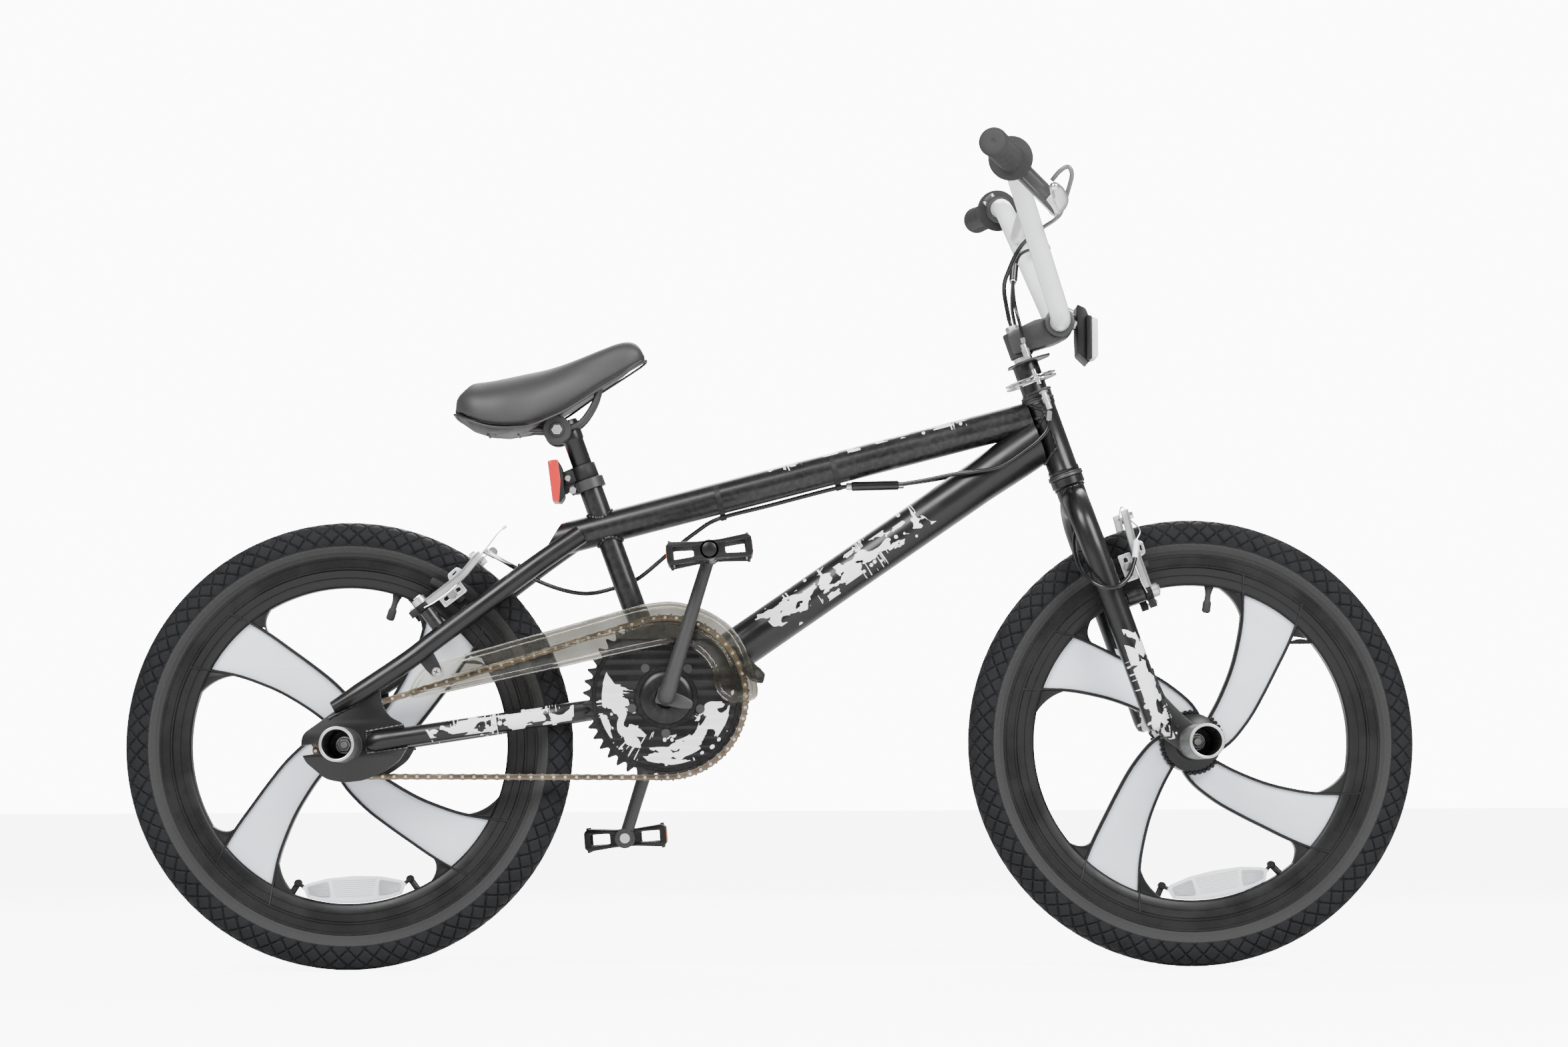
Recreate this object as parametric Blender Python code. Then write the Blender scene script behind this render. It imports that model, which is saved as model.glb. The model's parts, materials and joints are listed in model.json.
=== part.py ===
"""A freestyle bmx bike: steel frame, cable rotor, one-piece crank, moulded wheels and four pegs.

X runs from the rear wheel to the front wheel, Z is up and the chain is on the -Y side. The origin lies
on the ground below the middle of the wheelbase. All lengths are metres.
"""

import math

import bmesh
import bpy
from mathutils import Matrix, Vector

# Driving dimensions
GAP = 0.0003
TYRE_RADIUS = 0.251
HALF_WHEELBASE = 0.47315
AXLE_HEIGHT = TYRE_RADIUS
BRACKET = (-0.117, 0.0, 0.303)
SEAT_TILT = 19.8
STEER_TILT = 19.5
STEER_FOOT = (0.335, 0.0, 0.5521)
BAR_TURN = -2.0
CRANK_TURN = 17.3
CRANK_LENGTH = 0.165
CHAIN_LINE = -0.045
RING_PITCH_RADIUS = 0.0890
COG_PITCH_RADIUS = 0.03456
TOP_TUBE_TILT = 14.45
TOP_TUBE_POINT = (-0.1142, 0.0, 0.5137)
TOP_TUBE_RADIUS = 0.018
DOWN_TUBE_TILT = 34.5
DOWN_TUBE_RADIUS = 0.024
TUBE_WALL = 0.0017
SEAT_TUBE_RADIUS = 0.0134
SEAT_POST_RADIUS = 0.0114
BRACKET_SHELL_RADIUS = 0.027
HEAD_TUBE_RADIUS = 0.017
STEERER_RADIUS = 0.0127
STAY_RADIUS = 0.011
STAY_TAPER = [0.70, 0.88] + [1.0] * 9
FORK_LEG_RADIUS = 0.0143
BAR_RADIUS = 0.01125
CABLE_RADIUS = 0.0025
AXLE_RADIUS = 0.005
RIM_TRACK_RADIUS = 0.2115
PLATE_REAR = (0.0553, 0.0603)
PLATE_FRONT = (0.0503, 0.0550)
PEG_END = 0.168
SIDES = {"right": -1, "left": 1}
SLIVER_PRONE = {"chainstay_right", "chainstay_left", "down_tube", "stem", "crank"}

COLOURS = {
    "black_paint": ((0.012, 0.012, 0.013), 0.35, 0.0),
    "white_paint": ((0.80, 0.81, 0.83), 0.25, 0.0),
    "black_rubber": ((0.018, 0.018, 0.018), 0.75, 0.0),
    "tyre_rubber": ((0.020, 0.020, 0.020), 0.85, 0.0),
    "black_nylon": ((0.020, 0.020, 0.021), 0.45, 0.0),
    "silver_metal": ((0.70, 0.70, 0.72), 0.25, 1.0),
    "black_metal": ((0.03, 0.03, 0.03), 0.35, 1.0),
    "bronze_chain": ((0.25, 0.16, 0.10), 0.4, 1.0),
    "clear_guard": ((0.62, 0.58, 0.52), 0.2, 0.0),
    "cable_jacket": ((0.02, 0.02, 0.02), 0.4, 0.0),
    "saddle_vinyl": ((0.02, 0.02, 0.02), 0.5, 0.0),
    "red_lens": ((0.5, 0.02, 0.02), 0.15, 0.0),
    "clear_lens": ((0.75, 0.76, 0.78), 0.15, 0.0),
}


def clear_scene():
    for obj in list(bpy.data.objects):
        bpy.data.objects.remove(obj, do_unlink=True)


def finish(name):
    """The material of this name, made on first use."""
    found = bpy.data.materials.get(name)
    if found:
        return found
    colour, roughness, metallic = COLOURS[name]
    made = bpy.data.materials.new(name)
    made.use_nodes = True
    shader = made.node_tree.nodes["Principled BSDF"]
    shader.inputs["Base Color"].default_value = (*colour, 1.0)
    shader.inputs["Roughness"].default_value = roughness
    shader.inputs["Metallic"].default_value = metallic
    return made


def axes(name, parent=None, at=(0, 0, 0), turn=None):
    """An empty that holds a group's axes."""
    empty = bpy.data.objects.new(name, None)
    bpy.context.scene.collection.objects.link(empty)
    empty.parent = parent
    turn = turn or Matrix.Identity(4)
    empty.matrix_local = Matrix.Translation(at) @ turn
    return empty


def about(axis, degrees):
    return Matrix.Rotation(math.radians(degrees), 4, axis)


def facing(direction):
    """The rotation that turns +Z to a direction."""
    return Vector(direction).to_track_quat("Z", "Y").to_matrix().to_4x4()


def placed(name, bm, parent, look, at=None):
    """The object made from a bmesh. A look of None makes a helper that isn't a part."""
    if at is not None:
        bmesh.ops.transform(bm, matrix=at, verts=bm.verts)
    bmesh.ops.recalc_face_normals(bm, faces=bm.faces)
    mesh = bpy.data.meshes.new(name)
    bm.to_mesh(mesh)
    bm.free()
    mesh.shade_smooth()
    mesh.set_sharp_from_angle(angle=math.radians(35))
    obj = bpy.data.objects.new(name, mesh)
    bpy.context.scene.collection.objects.link(obj)
    obj.parent = parent
    if look:
        mesh.materials.append(finish(look))
    else:
        obj.hide_render = True
        obj.display_type = "WIRE"
    return obj


def turned(name, profile, parent, look=None, at=None, steps=16):
    """A profile of (radius, height) points, closed or ending on the axis, spun about Z."""
    bm = bmesh.new()
    points = [bm.verts.new((radius, 0, height)) for radius, height in profile]
    edges = []
    for start, end in zip(points, points[1:] + points[:1]):
        if max(start.co.x, end.co.x) > 0:
            edges.append(bm.edges.new((start, end)))
    bmesh.ops.spin(
        bm, geom=points + edges, cent=(0, 0, 0), axis=(0, 0, 1), angle=math.tau, steps=steps
    )
    bmesh.ops.remove_doubles(bm, verts=bm.verts, dist=1e-6)
    return placed(name, bm, parent, look, at)


def rod(name, start, end, radius, parent, look=None, steps=12):
    """A solid cylinder between two points."""
    start, end = Vector(start), Vector(end)
    profile = [(0, 0), (radius, 0), (radius, (end - start).length), (0, (end - start).length)]
    at = Matrix.Translation(start) @ facing(end - start)
    return turned(name, profile, parent, look, at, steps)


def pipe(name, start, end, outer, inner, parent, look=None, steps=16):
    """A hollow cylinder between two points, open at both ends."""
    start, end = Vector(start), Vector(end)
    length = (end - start).length
    profile = [(inner, 0), (outer, 0), (outer, length), (inner, length)]
    at = Matrix.Translation(start) @ facing(end - start)
    return turned(name, profile, parent, look, at, steps)


def prism(name, outline, low, high, parent, look=None, at=None):
    """An outline of (x, z) points, extruded along Y."""
    bm = bmesh.new()
    face = bm.faces.new([bm.verts.new((x, low, z)) for x, z in outline])
    moved = bmesh.ops.extrude_face_region(bm, geom=[face])["geom"]
    points = [item for item in moved if isinstance(item, bmesh.types.BMVert)]
    bmesh.ops.translate(bm, verts=points, vec=(0, high - low, 0))
    return placed(name, bm, parent, look, at)


def block(name, low, high, parent, look=None, at=None):
    """A box between two corners."""
    corners = [(low[0], low[2]), (high[0], low[2]), (high[0], high[2]), (low[0], high[2])]
    return prism(name, corners, low[1], high[1], parent, look, at)


def loft(name, rings, parent, look=None, closed=False, at=None):
    """Rings of points bridged one to the next, capped at both ends or closed on themselves."""
    bm = bmesh.new()
    loops = []
    for ring in rings:
        points = [bm.verts.new(point) for point in ring]
        loops.append([bm.edges.new(pair) for pair in zip(points, points[1:] + points[:1])])
    pairs = list(zip(loops, loops[1:] + loops[:1])) if closed else list(zip(loops, loops[1:]))
    for first, second in pairs:
        bmesh.ops.bridge_loops(bm, edges=first + second)
    if not closed:
        bmesh.ops.holes_fill(bm, edges=bm.edges, sides=0)
    return placed(name, bm, parent, look, at)


def smooth_path(points, steps):
    """Points read at even spacing from a Catmull-Rom curve through the given points."""
    ends = [Vector(point) for point in points]
    ends = [ends[0] * 2 - ends[1]] + ends + [ends[-1] * 2 - ends[-2]]
    fine = []
    for before, start, end, after in zip(ends, ends[1:], ends[2:], ends[3:]):
        for step in range(12):
            t = step / 12
            fine.append(
                0.5
                * (
                    2 * start
                    + (end - before) * t
                    + (2 * before - 5 * start + 4 * end - after) * t**2
                    + (3 * start - before - 3 * end + after) * t**3
                )
            )
    fine.append(ends[-2])
    run = [0.0]
    for start, end in zip(fine, fine[1:]):
        run.append(run[-1] + (end - start).length)
    spaced = []
    index = 0
    for step in range(steps + 1):
        target = run[-1] * step / steps
        while index < len(run) - 2 and run[index + 1] < target:
            index += 1
        share = (target - run[index]) / (run[index + 1] - run[index])
        spaced.append(fine[index].lerp(fine[index + 1], min(max(share, 0), 1)))
    return spaced


def filleted(points, radius, steps=4):
    """A path of straight runs whose corners are turned into arcs."""
    points = [Vector(point) for point in points]
    path = [points[0]]
    for before, corner, after in zip(points, points[1:], points[2:]):
        into = (corner - before).normalized()
        out = (after - corner).normalized()
        bend = into.angle(out)
        reach = radius * math.tan(bend / 2)
        centre = corner + (out - into).normalized() * radius / math.cos(bend / 2)
        start = (corner - into * reach - centre).normalized()
        end = (corner + out * reach - centre).normalized()
        for step in range(steps + 1):
            share = step / steps
            path.append(centre + start.slerp(end, share) * radius)
    path.append(points[-1])
    return path


def tube(name, points, radius, parent, look=None, detail=4, radii=None):
    """A round bar along a path, as a bevelled curve turned into a mesh."""
    data = bpy.data.curves.new(name, "CURVE")
    data.dimensions = "3D"
    data.bevel_depth = radius
    data.bevel_resolution = detail
    data.use_fill_caps = True
    spline = data.splines.new("POLY")
    spline.points.add(len(points) - 1)
    for index, (point, place) in enumerate(zip(spline.points, points)):
        point.co = (*place, 1.0)
        point.radius = radii[index] if radii else 1.0
    guide = bpy.data.objects.new(name + "_guide", data)
    bpy.context.scene.collection.objects.link(guide)
    bpy.context.view_layer.update()
    mesh = bpy.data.meshes.new_from_object(guide)
    bpy.data.objects.remove(guide, do_unlink=True)
    bm = bmesh.new()
    bm.from_mesh(mesh)
    bpy.data.meshes.remove(mesh)
    bmesh.ops.remove_doubles(bm, verts=bm.verts, dist=1e-6)
    return placed(name, bm, parent, look)


def change(obj, operation, *tools):
    """Adds Booleans. The objects in SLIVER_PRONE meet in near-coincident faces, which EXACT leaves open."""
    for tool in tools:
        modifier = obj.modifiers.new(operation.lower() + "_" + tool.name, "BOOLEAN")
        modifier.operation = operation
        modifier.object = tool
        modifier.solver = "MANIFOLD" if obj.name in SLIVER_PRONE else "EXACT"
    return obj


def cut(obj, *tools):
    return change(obj, "DIFFERENCE", *tools)


def join(obj, *tools):
    return change(obj, "UNION", *tools)


def on_line(point, degrees, distance):
    """The point at a distance along a line in the XZ plane."""
    angle = math.radians(degrees)
    return Vector(point) + Vector((math.cos(angle), 0, math.sin(angle))) * distance


# Groups of axes


def make_axes():
    groups = {"frame": axes("frame_axes")}
    groups["steer"] = axes("steer_axes", None, STEER_FOOT, about("Y", -STEER_TILT))
    groups["bars"] = axes("bar_axes", groups["steer"], (0, 0, 0), about("Z", BAR_TURN))
    groups["seat"] = axes("seat_axes", None, BRACKET, about("Y", -SEAT_TILT))
    groups["crank"] = axes("crank_axes", None, BRACKET, about("Y", CRANK_TURN))
    groups["front_wheel"] = axes("front_wheel_axes", None, (HALF_WHEELBASE, 0, AXLE_HEIGHT))
    groups["rear_wheel"] = axes("rear_wheel_axes", None, (-HALF_WHEELBASE, 0, AXLE_HEIGHT))
    out = Vector((-0.602, 0, 0.7985)).normalized()
    along = Vector((-out.z, 0, out.x)) * -1
    turn = Matrix((out, (0, -1, 0), along)).transposed().to_4x4()
    groups["rear_brake"] = axes("rear_brake_axes", None, (-0.3644, 0, 0.3750), turn)
    groups["front_brake"] = axes("front_brake_axes", groups["steer"], (0, 0, -0.1549))
    return groups


# Frame


def make_main_tubes(groups):
    frame, steer, seat = groups["frame"], groups["steer"], groups["seat"]
    pipe("head_tube", (0, 0, 0.004), (0, 0, 0.0895), HEAD_TUBE_RADIUS, 0.015, steer, "black_paint", 20)
    head_cutter = rod("head_cutter", (0, 0, -0.03), (0, 0, 0.12), HEAD_TUBE_RADIUS + GAP, steer, None, 20)
    head_front_cutter = block("head_front_cutter", (0, -0.05, -0.05), (0.08, 0.05, 0.15), steer)

    top_start = on_line(TOP_TUBE_POINT, TOP_TUBE_TILT, -0.16)
    top_end = on_line(TOP_TUBE_POINT, TOP_TUBE_TILT, 0.47)
    top = pipe(
        "top_tube", top_start, top_end, TOP_TUBE_RADIUS, TOP_TUBE_RADIUS - TUBE_WALL, frame, "black_paint"
    )
    rear_end = Matrix.Translation((-0.2347, 0, 0.5016)) @ about("Y", 30.5)
    rear_cutter = block("top_rear_cutter", (-0.12, -0.05, -0.12), (0, 0.05, 0.08), frame, at=rear_end)
    seat_cutter = rod("seat_cutter", (0, 0, 0), (0, 0, 0.27), SEAT_TUBE_RADIUS + GAP, seat, None, 20)
    cup_room = rod("cup_room", (0, 0, 0.0890), (0, 0, 0.13), 0.0190, steer, None, 20)
    cut(top, rear_cutter, seat_cutter, head_cutter, head_front_cutter, cup_room)

    down_start = Vector(BRACKET)
    down_end = on_line(BRACKET, DOWN_TUBE_TILT, 0.565)
    down = rod("down_tube", down_start, down_end, DOWN_TUBE_RADIUS, frame, "black_paint", 24)
    top_cutter = rod("top_cutter", top_start, top_end, TOP_TUBE_RADIUS + GAP, frame, None, 20)
    bracket_cutter = rod(
        "bracket_cutter", (BRACKET[0], -0.08, BRACKET[2]), (BRACKET[0], 0.08, BRACKET[2]),
        BRACKET_SHELL_RADIUS + GAP, frame, None, 24,
    )
    wing_cutter = block("wing_cutter", (-0.007, -0.05, -0.05), (0.08, 0.05, 0.15), steer)
    band_start = on_line(BRACKET, DOWN_TUBE_TILT, 0.070)
    band_end = on_line(BRACKET, DOWN_TUBE_TILT, 0.086)
    band = pipe("guard_band", band_start, band_end, 0.0262, 0.0235, frame, None, 20)
    lug = rod("guard_lug", (-0.0180, -0.020, 0.3290), (-0.0180, -0.0512, 0.3290), 0.0065, frame)
    lug_root = block("guard_lug_root", (-0.0400, -0.0262, 0.3225), (-0.0180, -0.0190, 0.3480), frame)
    bore_start = on_line(BRACKET, DOWN_TUBE_TILT, -0.010)
    bore_end = on_line(BRACKET, DOWN_TUBE_TILT, 0.600)
    bore = rod("down_bore", bore_start, bore_end, DOWN_TUBE_RADIUS - TUBE_WALL, frame, None, 20)
    join(down, band, lug, lug_root)
    cut(down, bore, bracket_cutter, head_cutter, wing_cutter, top_cutter, seat_cutter)

    seat_tube = rod("seat_tube", (0, 0, 0.010), (0, 0, 0.2615), SEAT_TUBE_RADIUS, seat, "black_paint", 20)
    shell = rod("bracket_shell", (0, -0.034, 0), (0, 0.034, 0), BRACKET_SHELL_RADIUS, seat, None, 20)
    shell_bore = rod("bracket_bore", (0, -0.05, 0), (0, 0.05, 0), 0.0215, seat, None, 20)
    seat_bore = rod("seat_bore", (0, 0, 0), (0, 0, 0.28), SEAT_POST_RADIUS + GAP, seat, None, 20)
    cut(join(seat_tube, shell), shell_bore, seat_bore)


def make_chainstays(groups):
    """Two lofted chainstays, each with the plate that holds the rear axle."""
    frame = groups["frame"]
    stations = [
        (-0.4480, 0.0580, 0.0070, 0.0080),
        (-0.4450, 0.0580, 0.0110, 0.0118),
        (-0.3300, 0.0545, 0.0110, 0.0110),
        (-0.2750, 0.0450, 0.0090, 0.0110),
        (-0.2350, 0.0335, 0.0075, 0.0110),
        (-0.1900, 0.0290, 0.0090, 0.0110),
        (-0.1250, 0.0235, 0.0095, 0.0110),
    ]
    outline = [
        (-0.5048, 0.2750), (-0.5205, 0.2639), (-0.5227, 0.2513), (-0.5206, 0.2394),
        (-0.5169, 0.2319), (-0.4946, 0.2132), (-0.4760, 0.2094), (-0.4537, 0.2116),
        (-0.4313, 0.2204), (-0.4127, 0.2338), (-0.4029, 0.2508), (-0.4080, 0.2747),
        (-0.4236, 0.2822), (-0.4333, 0.2971), (-0.4347, 0.3160), (-0.4587, 0.3050),
        (-0.4870, 0.2880),
    ]
    shell = rod(
        "stay_shell_cutter", (BRACKET[0], -0.08, BRACKET[2]), (BRACKET[0], 0.08, BRACKET[2]),
        BRACKET_SHELL_RADIUS + GAP, frame, None, 24,
    )
    for side, sign in SIDES.items():
        rings = []
        for x, y, wide, tall in stations:
            z = 0.2591 + (x + 0.4127) * 0.1474
            ring = []
            for step in range(12):
                angle = math.tau * step / 12
                ring.append((x, sign * (y + wide * math.cos(angle)), z + tall * math.sin(angle)))
            rings.append(ring)
        stay = loft("chainstay_" + side, rings, frame, "black_paint")
        low, high = sorted((sign * PLATE_REAR[0], sign * PLATE_REAR[1]))
        plate = prism("rear_plate_" + side, outline, low, high, frame)
        slot = Matrix.Translation((-HALF_WHEELBASE, 0, AXLE_HEIGHT)) @ about("Y", -7.0)
        slot_end = rod(
            "slot_end_" + side, (-HALF_WHEELBASE, sign * 0.045, AXLE_HEIGHT),
            (-HALF_WHEELBASE, sign * 0.075, AXLE_HEIGHT), AXLE_RADIUS + GAP, frame,
        )
        low, high = sorted((sign * 0.045, sign * 0.075))
        slot_cutter = block(
            "slot_" + side, (-0.07, low, -AXLE_RADIUS - GAP), (0, high, AXLE_RADIUS + GAP),
            frame, at=slot,
        )
        path = seatstay_path(sign)
        room = tube("stay_room_" + side, path, STAY_RADIUS + GAP, frame, None, 4, STAY_TAPER)
        cut(join(stay, plate), slot_end, slot_cutter, shell, room)


def seatstay_path(sign):
    places = [
        (-0.4870, 0.0580, 0.2921), (-0.4587, 0.0580, 0.3084), (-0.4062, 0.0565, 0.3432),
        (-0.3778, 0.0535, 0.3649), (-0.3300, 0.0450, 0.4013), (-0.2635, 0.0350, 0.4513),
        (-0.2129, 0.0295, 0.4868),
    ]
    return smooth_path([(x, sign * y, z) for x, y, z in places], 10)


def make_seatstays(groups):
    """Two curved seat stays that end on the top tube's sides, with the rear brake's studs."""
    frame, brake = groups["frame"], groups["rear_brake"]
    top_start = on_line(TOP_TUBE_POINT, TOP_TUBE_TILT, -0.18)
    top_end = on_line(TOP_TUBE_POINT, TOP_TUBE_TILT, 0.1)
    for side, sign in SIDES.items():
        path = seatstay_path(sign)
        stay = tube("seatstay_" + side, path, STAY_RADIUS, frame, "black_paint", 4, STAY_TAPER)
        room = rod("top_room_" + side, top_start, top_end, TOP_TUBE_RADIUS + GAP, frame, None, 20)
        cut(stay, room)
        boss, stub = brake_stud(side, -sign, brake, "rear", -0.004)
        join(stay, boss, stub)
        if side == "right":
            tab = prism(
                "guard_tab",
                [(-0.3778, 0.3600), (-0.3960, 0.3500), (-0.3850, 0.3360), (-0.3740, 0.3250),
                 (-0.3660, 0.3350), (-0.3720, 0.3450)],
                -0.0568, -0.0538, frame,
            )
            join(stay, tab)


def make_seat(groups):
    frame, seat = groups["frame"], groups["seat"]
    clamp = pipe("seat_clamp", (0, 0, 0.2505), (0, 0, 0.2625), 0.0178, SEAT_TUBE_RADIUS + GAP, seat, "black_metal")
    ear = block("clamp_ear", (-0.0225, -0.0065, 0.2512), (-0.0150, 0.0065, 0.2618), seat)
    bolt = rod("clamp_bolt", (-0.0195, -0.0120, 0.2565), (-0.0195, 0.0120, 0.2565), 0.0032, seat, None, 10)
    join(clamp, ear, bolt)

    post = rod("seatpost", (0, 0, 0.130), (0, 0, 0.332), SEAT_POST_RADIUS, seat, "black_paint", 20)
    pivot = (-0.013, 0.3255)
    lug = rod("post_lug", (pivot[0], -0.0115, pivot[1]), (pivot[0], 0.0115, pivot[1]), 0.0130, seat, None, 20)
    lug_bore = rod("lug_bore", (pivot[0], -0.02, pivot[1]), (pivot[0], 0.02, pivot[1]), 0.0043, seat, None, 12)
    cut(join(post, lug), lug_bore)

    band = pipe("rear_reflector", (0, 0, 0.2630), (0, 0, 0.2795), 0.0143, SEAT_POST_RADIUS + GAP, seat, "red_lens")
    arm = block("reflector_arm", (-0.0290, -0.0080, 0.2640), (-0.0130, 0.0080, 0.2780), seat)
    lens = prism(
        "reflector_lens",
        [(-0.2504, 0.5702), (-0.2399, 0.5724), (-0.2339, 0.5634), (-0.2295, 0.5296),
         (-0.2356, 0.5229), (-0.2446, 0.5237)],
        -0.0220, 0.0220, frame,
    )
    room = rod("band_room", (0, 0, 0.240), (0, 0, 0.300), SEAT_POST_RADIUS + GAP, seat, None, 20)
    clamp_room = rod("clamp_room", (0, 0, 0.220), (0, 0, 0.2628), 0.0182, seat, None, 20)
    cut(join(band, arm, lens), room, clamp_room)


def make_saddle(groups):
    frame, seat = groups["frame"], groups["seat"]
    sections = [
        (-0.3547, 0.030, 0.6265, 0.6360), (-0.3480, 0.055, 0.6230, 0.6500),
        (-0.3300, 0.067, 0.6165, 0.6600), (-0.3000, 0.070, 0.6100, 0.6645),
        (-0.2650, 0.064, 0.6100, 0.6710), (-0.2350, 0.048, 0.6250, 0.6800),
        (-0.2040, 0.034, 0.6461, 0.6913), (-0.1740, 0.026, 0.6630, 0.7032),
        (-0.1512, 0.020, 0.6765, 0.7058), (-0.1380, 0.010, 0.6870, 0.6980),
    ]
    rings = []
    for x, half, low, high in sections:
        ring = []
        middle, tall = (low + high) / 2, (high - low) / 2
        for step in range(16):
            angle = math.tau * step / 16
            y = half * math.copysign(abs(math.cos(angle)) ** 0.75, math.cos(angle))
            z = tall * math.copysign(abs(math.sin(angle)) ** 0.75, math.sin(angle))
            ring.append((x, y, middle + z))
        rings.append(ring)
    saddle = loft("saddle", rings, frame, "saddle_vinyl")

    pivot = (-0.013, 0.3255)
    plates = []
    for side, sign in SIDES.items():
        start = (pivot[0], sign * 0.0118, pivot[1])
        end = (pivot[0], sign * 0.0260, pivot[1])
        plates.append(rod("clamp_plate_" + side, start, end, 0.0155, seat, None, 20))
    clamp = rod(
        "saddle_clamp", (pivot[0], -0.0290, pivot[1]), (pivot[0], 0.0290, pivot[1]), 0.0040, seat,
        "black_metal", 12,
    )
    join(clamp, *plates)
    for side, sign in SIDES.items():
        places = [
            (-0.3330, 0.0360, 0.6260), (-0.3180, 0.0330, 0.6150), (-0.2950, 0.0260, 0.6085),
            (-0.2700, 0.0190, 0.6060), (-0.2398, 0.0180, 0.6060), (-0.2150, 0.0165, 0.6120),
            (-0.1980, 0.0140, 0.6350), (-0.1900, 0.0120, 0.6620),
        ]
        path = smooth_path([(x, sign * y, z) for x, y, z in places], 10)
        join(clamp, tube("rail_" + side, path, 0.0035, frame, None, 1))
        cut(saddle, tube("rail_room_" + side, path, 0.0035 + GAP, frame, None, 1))


def make_guard(groups):
    outline = [
        (-0.4047, 0.3031), (-0.3979, 0.3217), (-0.3889, 0.3336), (-0.3784, 0.3417),
        (-0.3680, 0.3432), (-0.2546, 0.3748), (-0.1412, 0.4064), (-0.1084, 0.4100),
        (-0.0719, 0.4002), (-0.0414, 0.3799), (-0.0236, 0.3463), (-0.0156, 0.3150),
        (-0.0156, 0.3023), (-0.0313, 0.2972), (-0.0469, 0.2972), (-0.0596, 0.3077),
        (-0.0633, 0.3182), (-0.0632, 0.3308), (-0.0721, 0.3465), (-0.0877, 0.3592),
        (-0.1056, 0.3645), (-0.1339, 0.3594), (-0.1906, 0.3477), (-0.2391, 0.3367),
        (-0.3681, 0.3089),
    ]
    prism("chain_guard", outline, -0.0535, -0.0515, groups["frame"], "clear_guard")


# Drivetrain


def make_chain(groups):
    """The chain as a channel that is open towards the sprockets, along its pitch line."""
    ring = Vector((BRACKET[0], BRACKET[2]))
    cog = Vector((-HALF_WHEELBASE, AXLE_HEIGHT))
    line = math.atan2(ring.y - cog.y, ring.x - cog.x)
    spread = math.asin((RING_PITCH_RADIUS - COG_PITCH_RADIUS) / (ring - cog).length)
    upper = line + spread + math.pi / 2
    lower = line - spread - math.pi / 2
    stations = []
    for centre, radius, start, end, steps in (
        (ring, RING_PITCH_RADIUS, upper, lower, 22),
        (cog, COG_PITCH_RADIUS, lower + math.tau, upper, 12),
    ):
        for step in range(steps + 1):
            angle = start + (end - start) * step / steps
            out = Vector((math.cos(angle), math.sin(angle)))
            stations.append((centre + out * radius, out))
    section = [
        (0.00425, 0.0040), (0.00425, -0.0040), (-0.00425, -0.0040), (-0.00425, -0.0021),
        (0.00325, -0.0021), (0.00325, 0.0021), (-0.00425, 0.0021), (-0.00425, 0.0040),
    ]
    rings = []
    for place, out in stations:
        ring_points = []
        for height, across in section:
            spot = place + out * height
            ring_points.append((spot.x, CHAIN_LINE + across, spot.y))
        rings.append(ring_points)
    loft("chain", rings, groups["frame"], "bronze_chain", closed=True)


def make_crank(groups):
    crank = groups["crank"]
    half = [
        (0, 0.0, 0), (0, 0.0500, 0), (0, 0.0590, 0.0030), (0, 0.0645, 0.0110), (0, 0.0670, 0.0230),
        (0, 0.0685, 0.0450), (0, 0.0720, 0.1100), (0, 0.0740, CRANK_LENGTH),
    ]
    thick = [1.6, 1.6, 1.3, 1.1, 1.02, 1.0, 1.0, 1.0]
    left = [(x, y, -z) for x, y, z in half[1:]]
    right = [(x, -y, z) for x, y, z in reversed(half[1:])]
    path = right + left
    radii = list(reversed(thick[1:])) + thick[1:]
    arms = tube("crank", path, 0.0072, crank, "black_metal", 4, radii)
    for side, sign in SIDES.items():
        up = -sign * CRANK_LENGTH
        eye = rod("crank_eye_" + side, (0, sign * 0.0665, up), (0, sign * 0.0810, up), 0.0115, crank)
        pin = rod("pedal_pin_" + side, (0, sign * 0.0700, up), (0, sign * 0.1810, up), 0.0063, crank, None, 12)
        join(arms, eye, pin)
    low, high = CHAIN_LINE - 0.0016, CHAIN_LINE + 0.0016
    pipe("chainring", (0, low, 0), (0, high, 0), RING_PITCH_RADIUS + 0.0024, 0.0123, crank, "black_paint", 36)
    bearings = [
        (0.0118, -0.0375), (0.0212, -0.0375), (0.0212, -0.0250), (0.0155, -0.0250), (0.0155, 0.0250),
        (0.0212, 0.0250), (0.0212, 0.0375), (0.0118, 0.0375),
    ]
    turned("bb_bearings", bearings, groups["seat"], "black_metal", about("X", -90), 24)


def make_pedals(groups):
    """Platform pedals, each with its origin on its own spindle."""
    outline = [
        (-0.047, -0.0090), (-0.043, -0.0130), (-0.012, -0.0100), (0.012, -0.0100), (0.043, -0.0130),
        (0.047, -0.0090), (0.047, 0.0090), (0.043, 0.0130), (0.012, 0.0100), (-0.012, 0.0100),
        (-0.043, 0.0130), (-0.047, 0.0090),
    ]
    turn = math.radians(CRANK_TURN)
    arm = Vector((math.sin(turn), 0, math.cos(turn))) * CRANK_LENGTH
    for side, sign in SIDES.items():
        centre = Vector(BRACKET) - arm * sign
        tilt = {"right": -6.4, "left": -4.0}[side]
        holder = axes("pedal_axes_" + side, None, centre, about("Y", tilt))
        low, high = sorted((sign * 0.0880, sign * 0.1830))
        body = prism("pedal_" + side, outline, low, high, holder, "black_nylon")
        bore = rod("pedal_bore_" + side, (0, sign * 0.06, 0), (0, sign * 0.20, 0), 0.0068, holder, None, 12)
        cut(body, bore)


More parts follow.
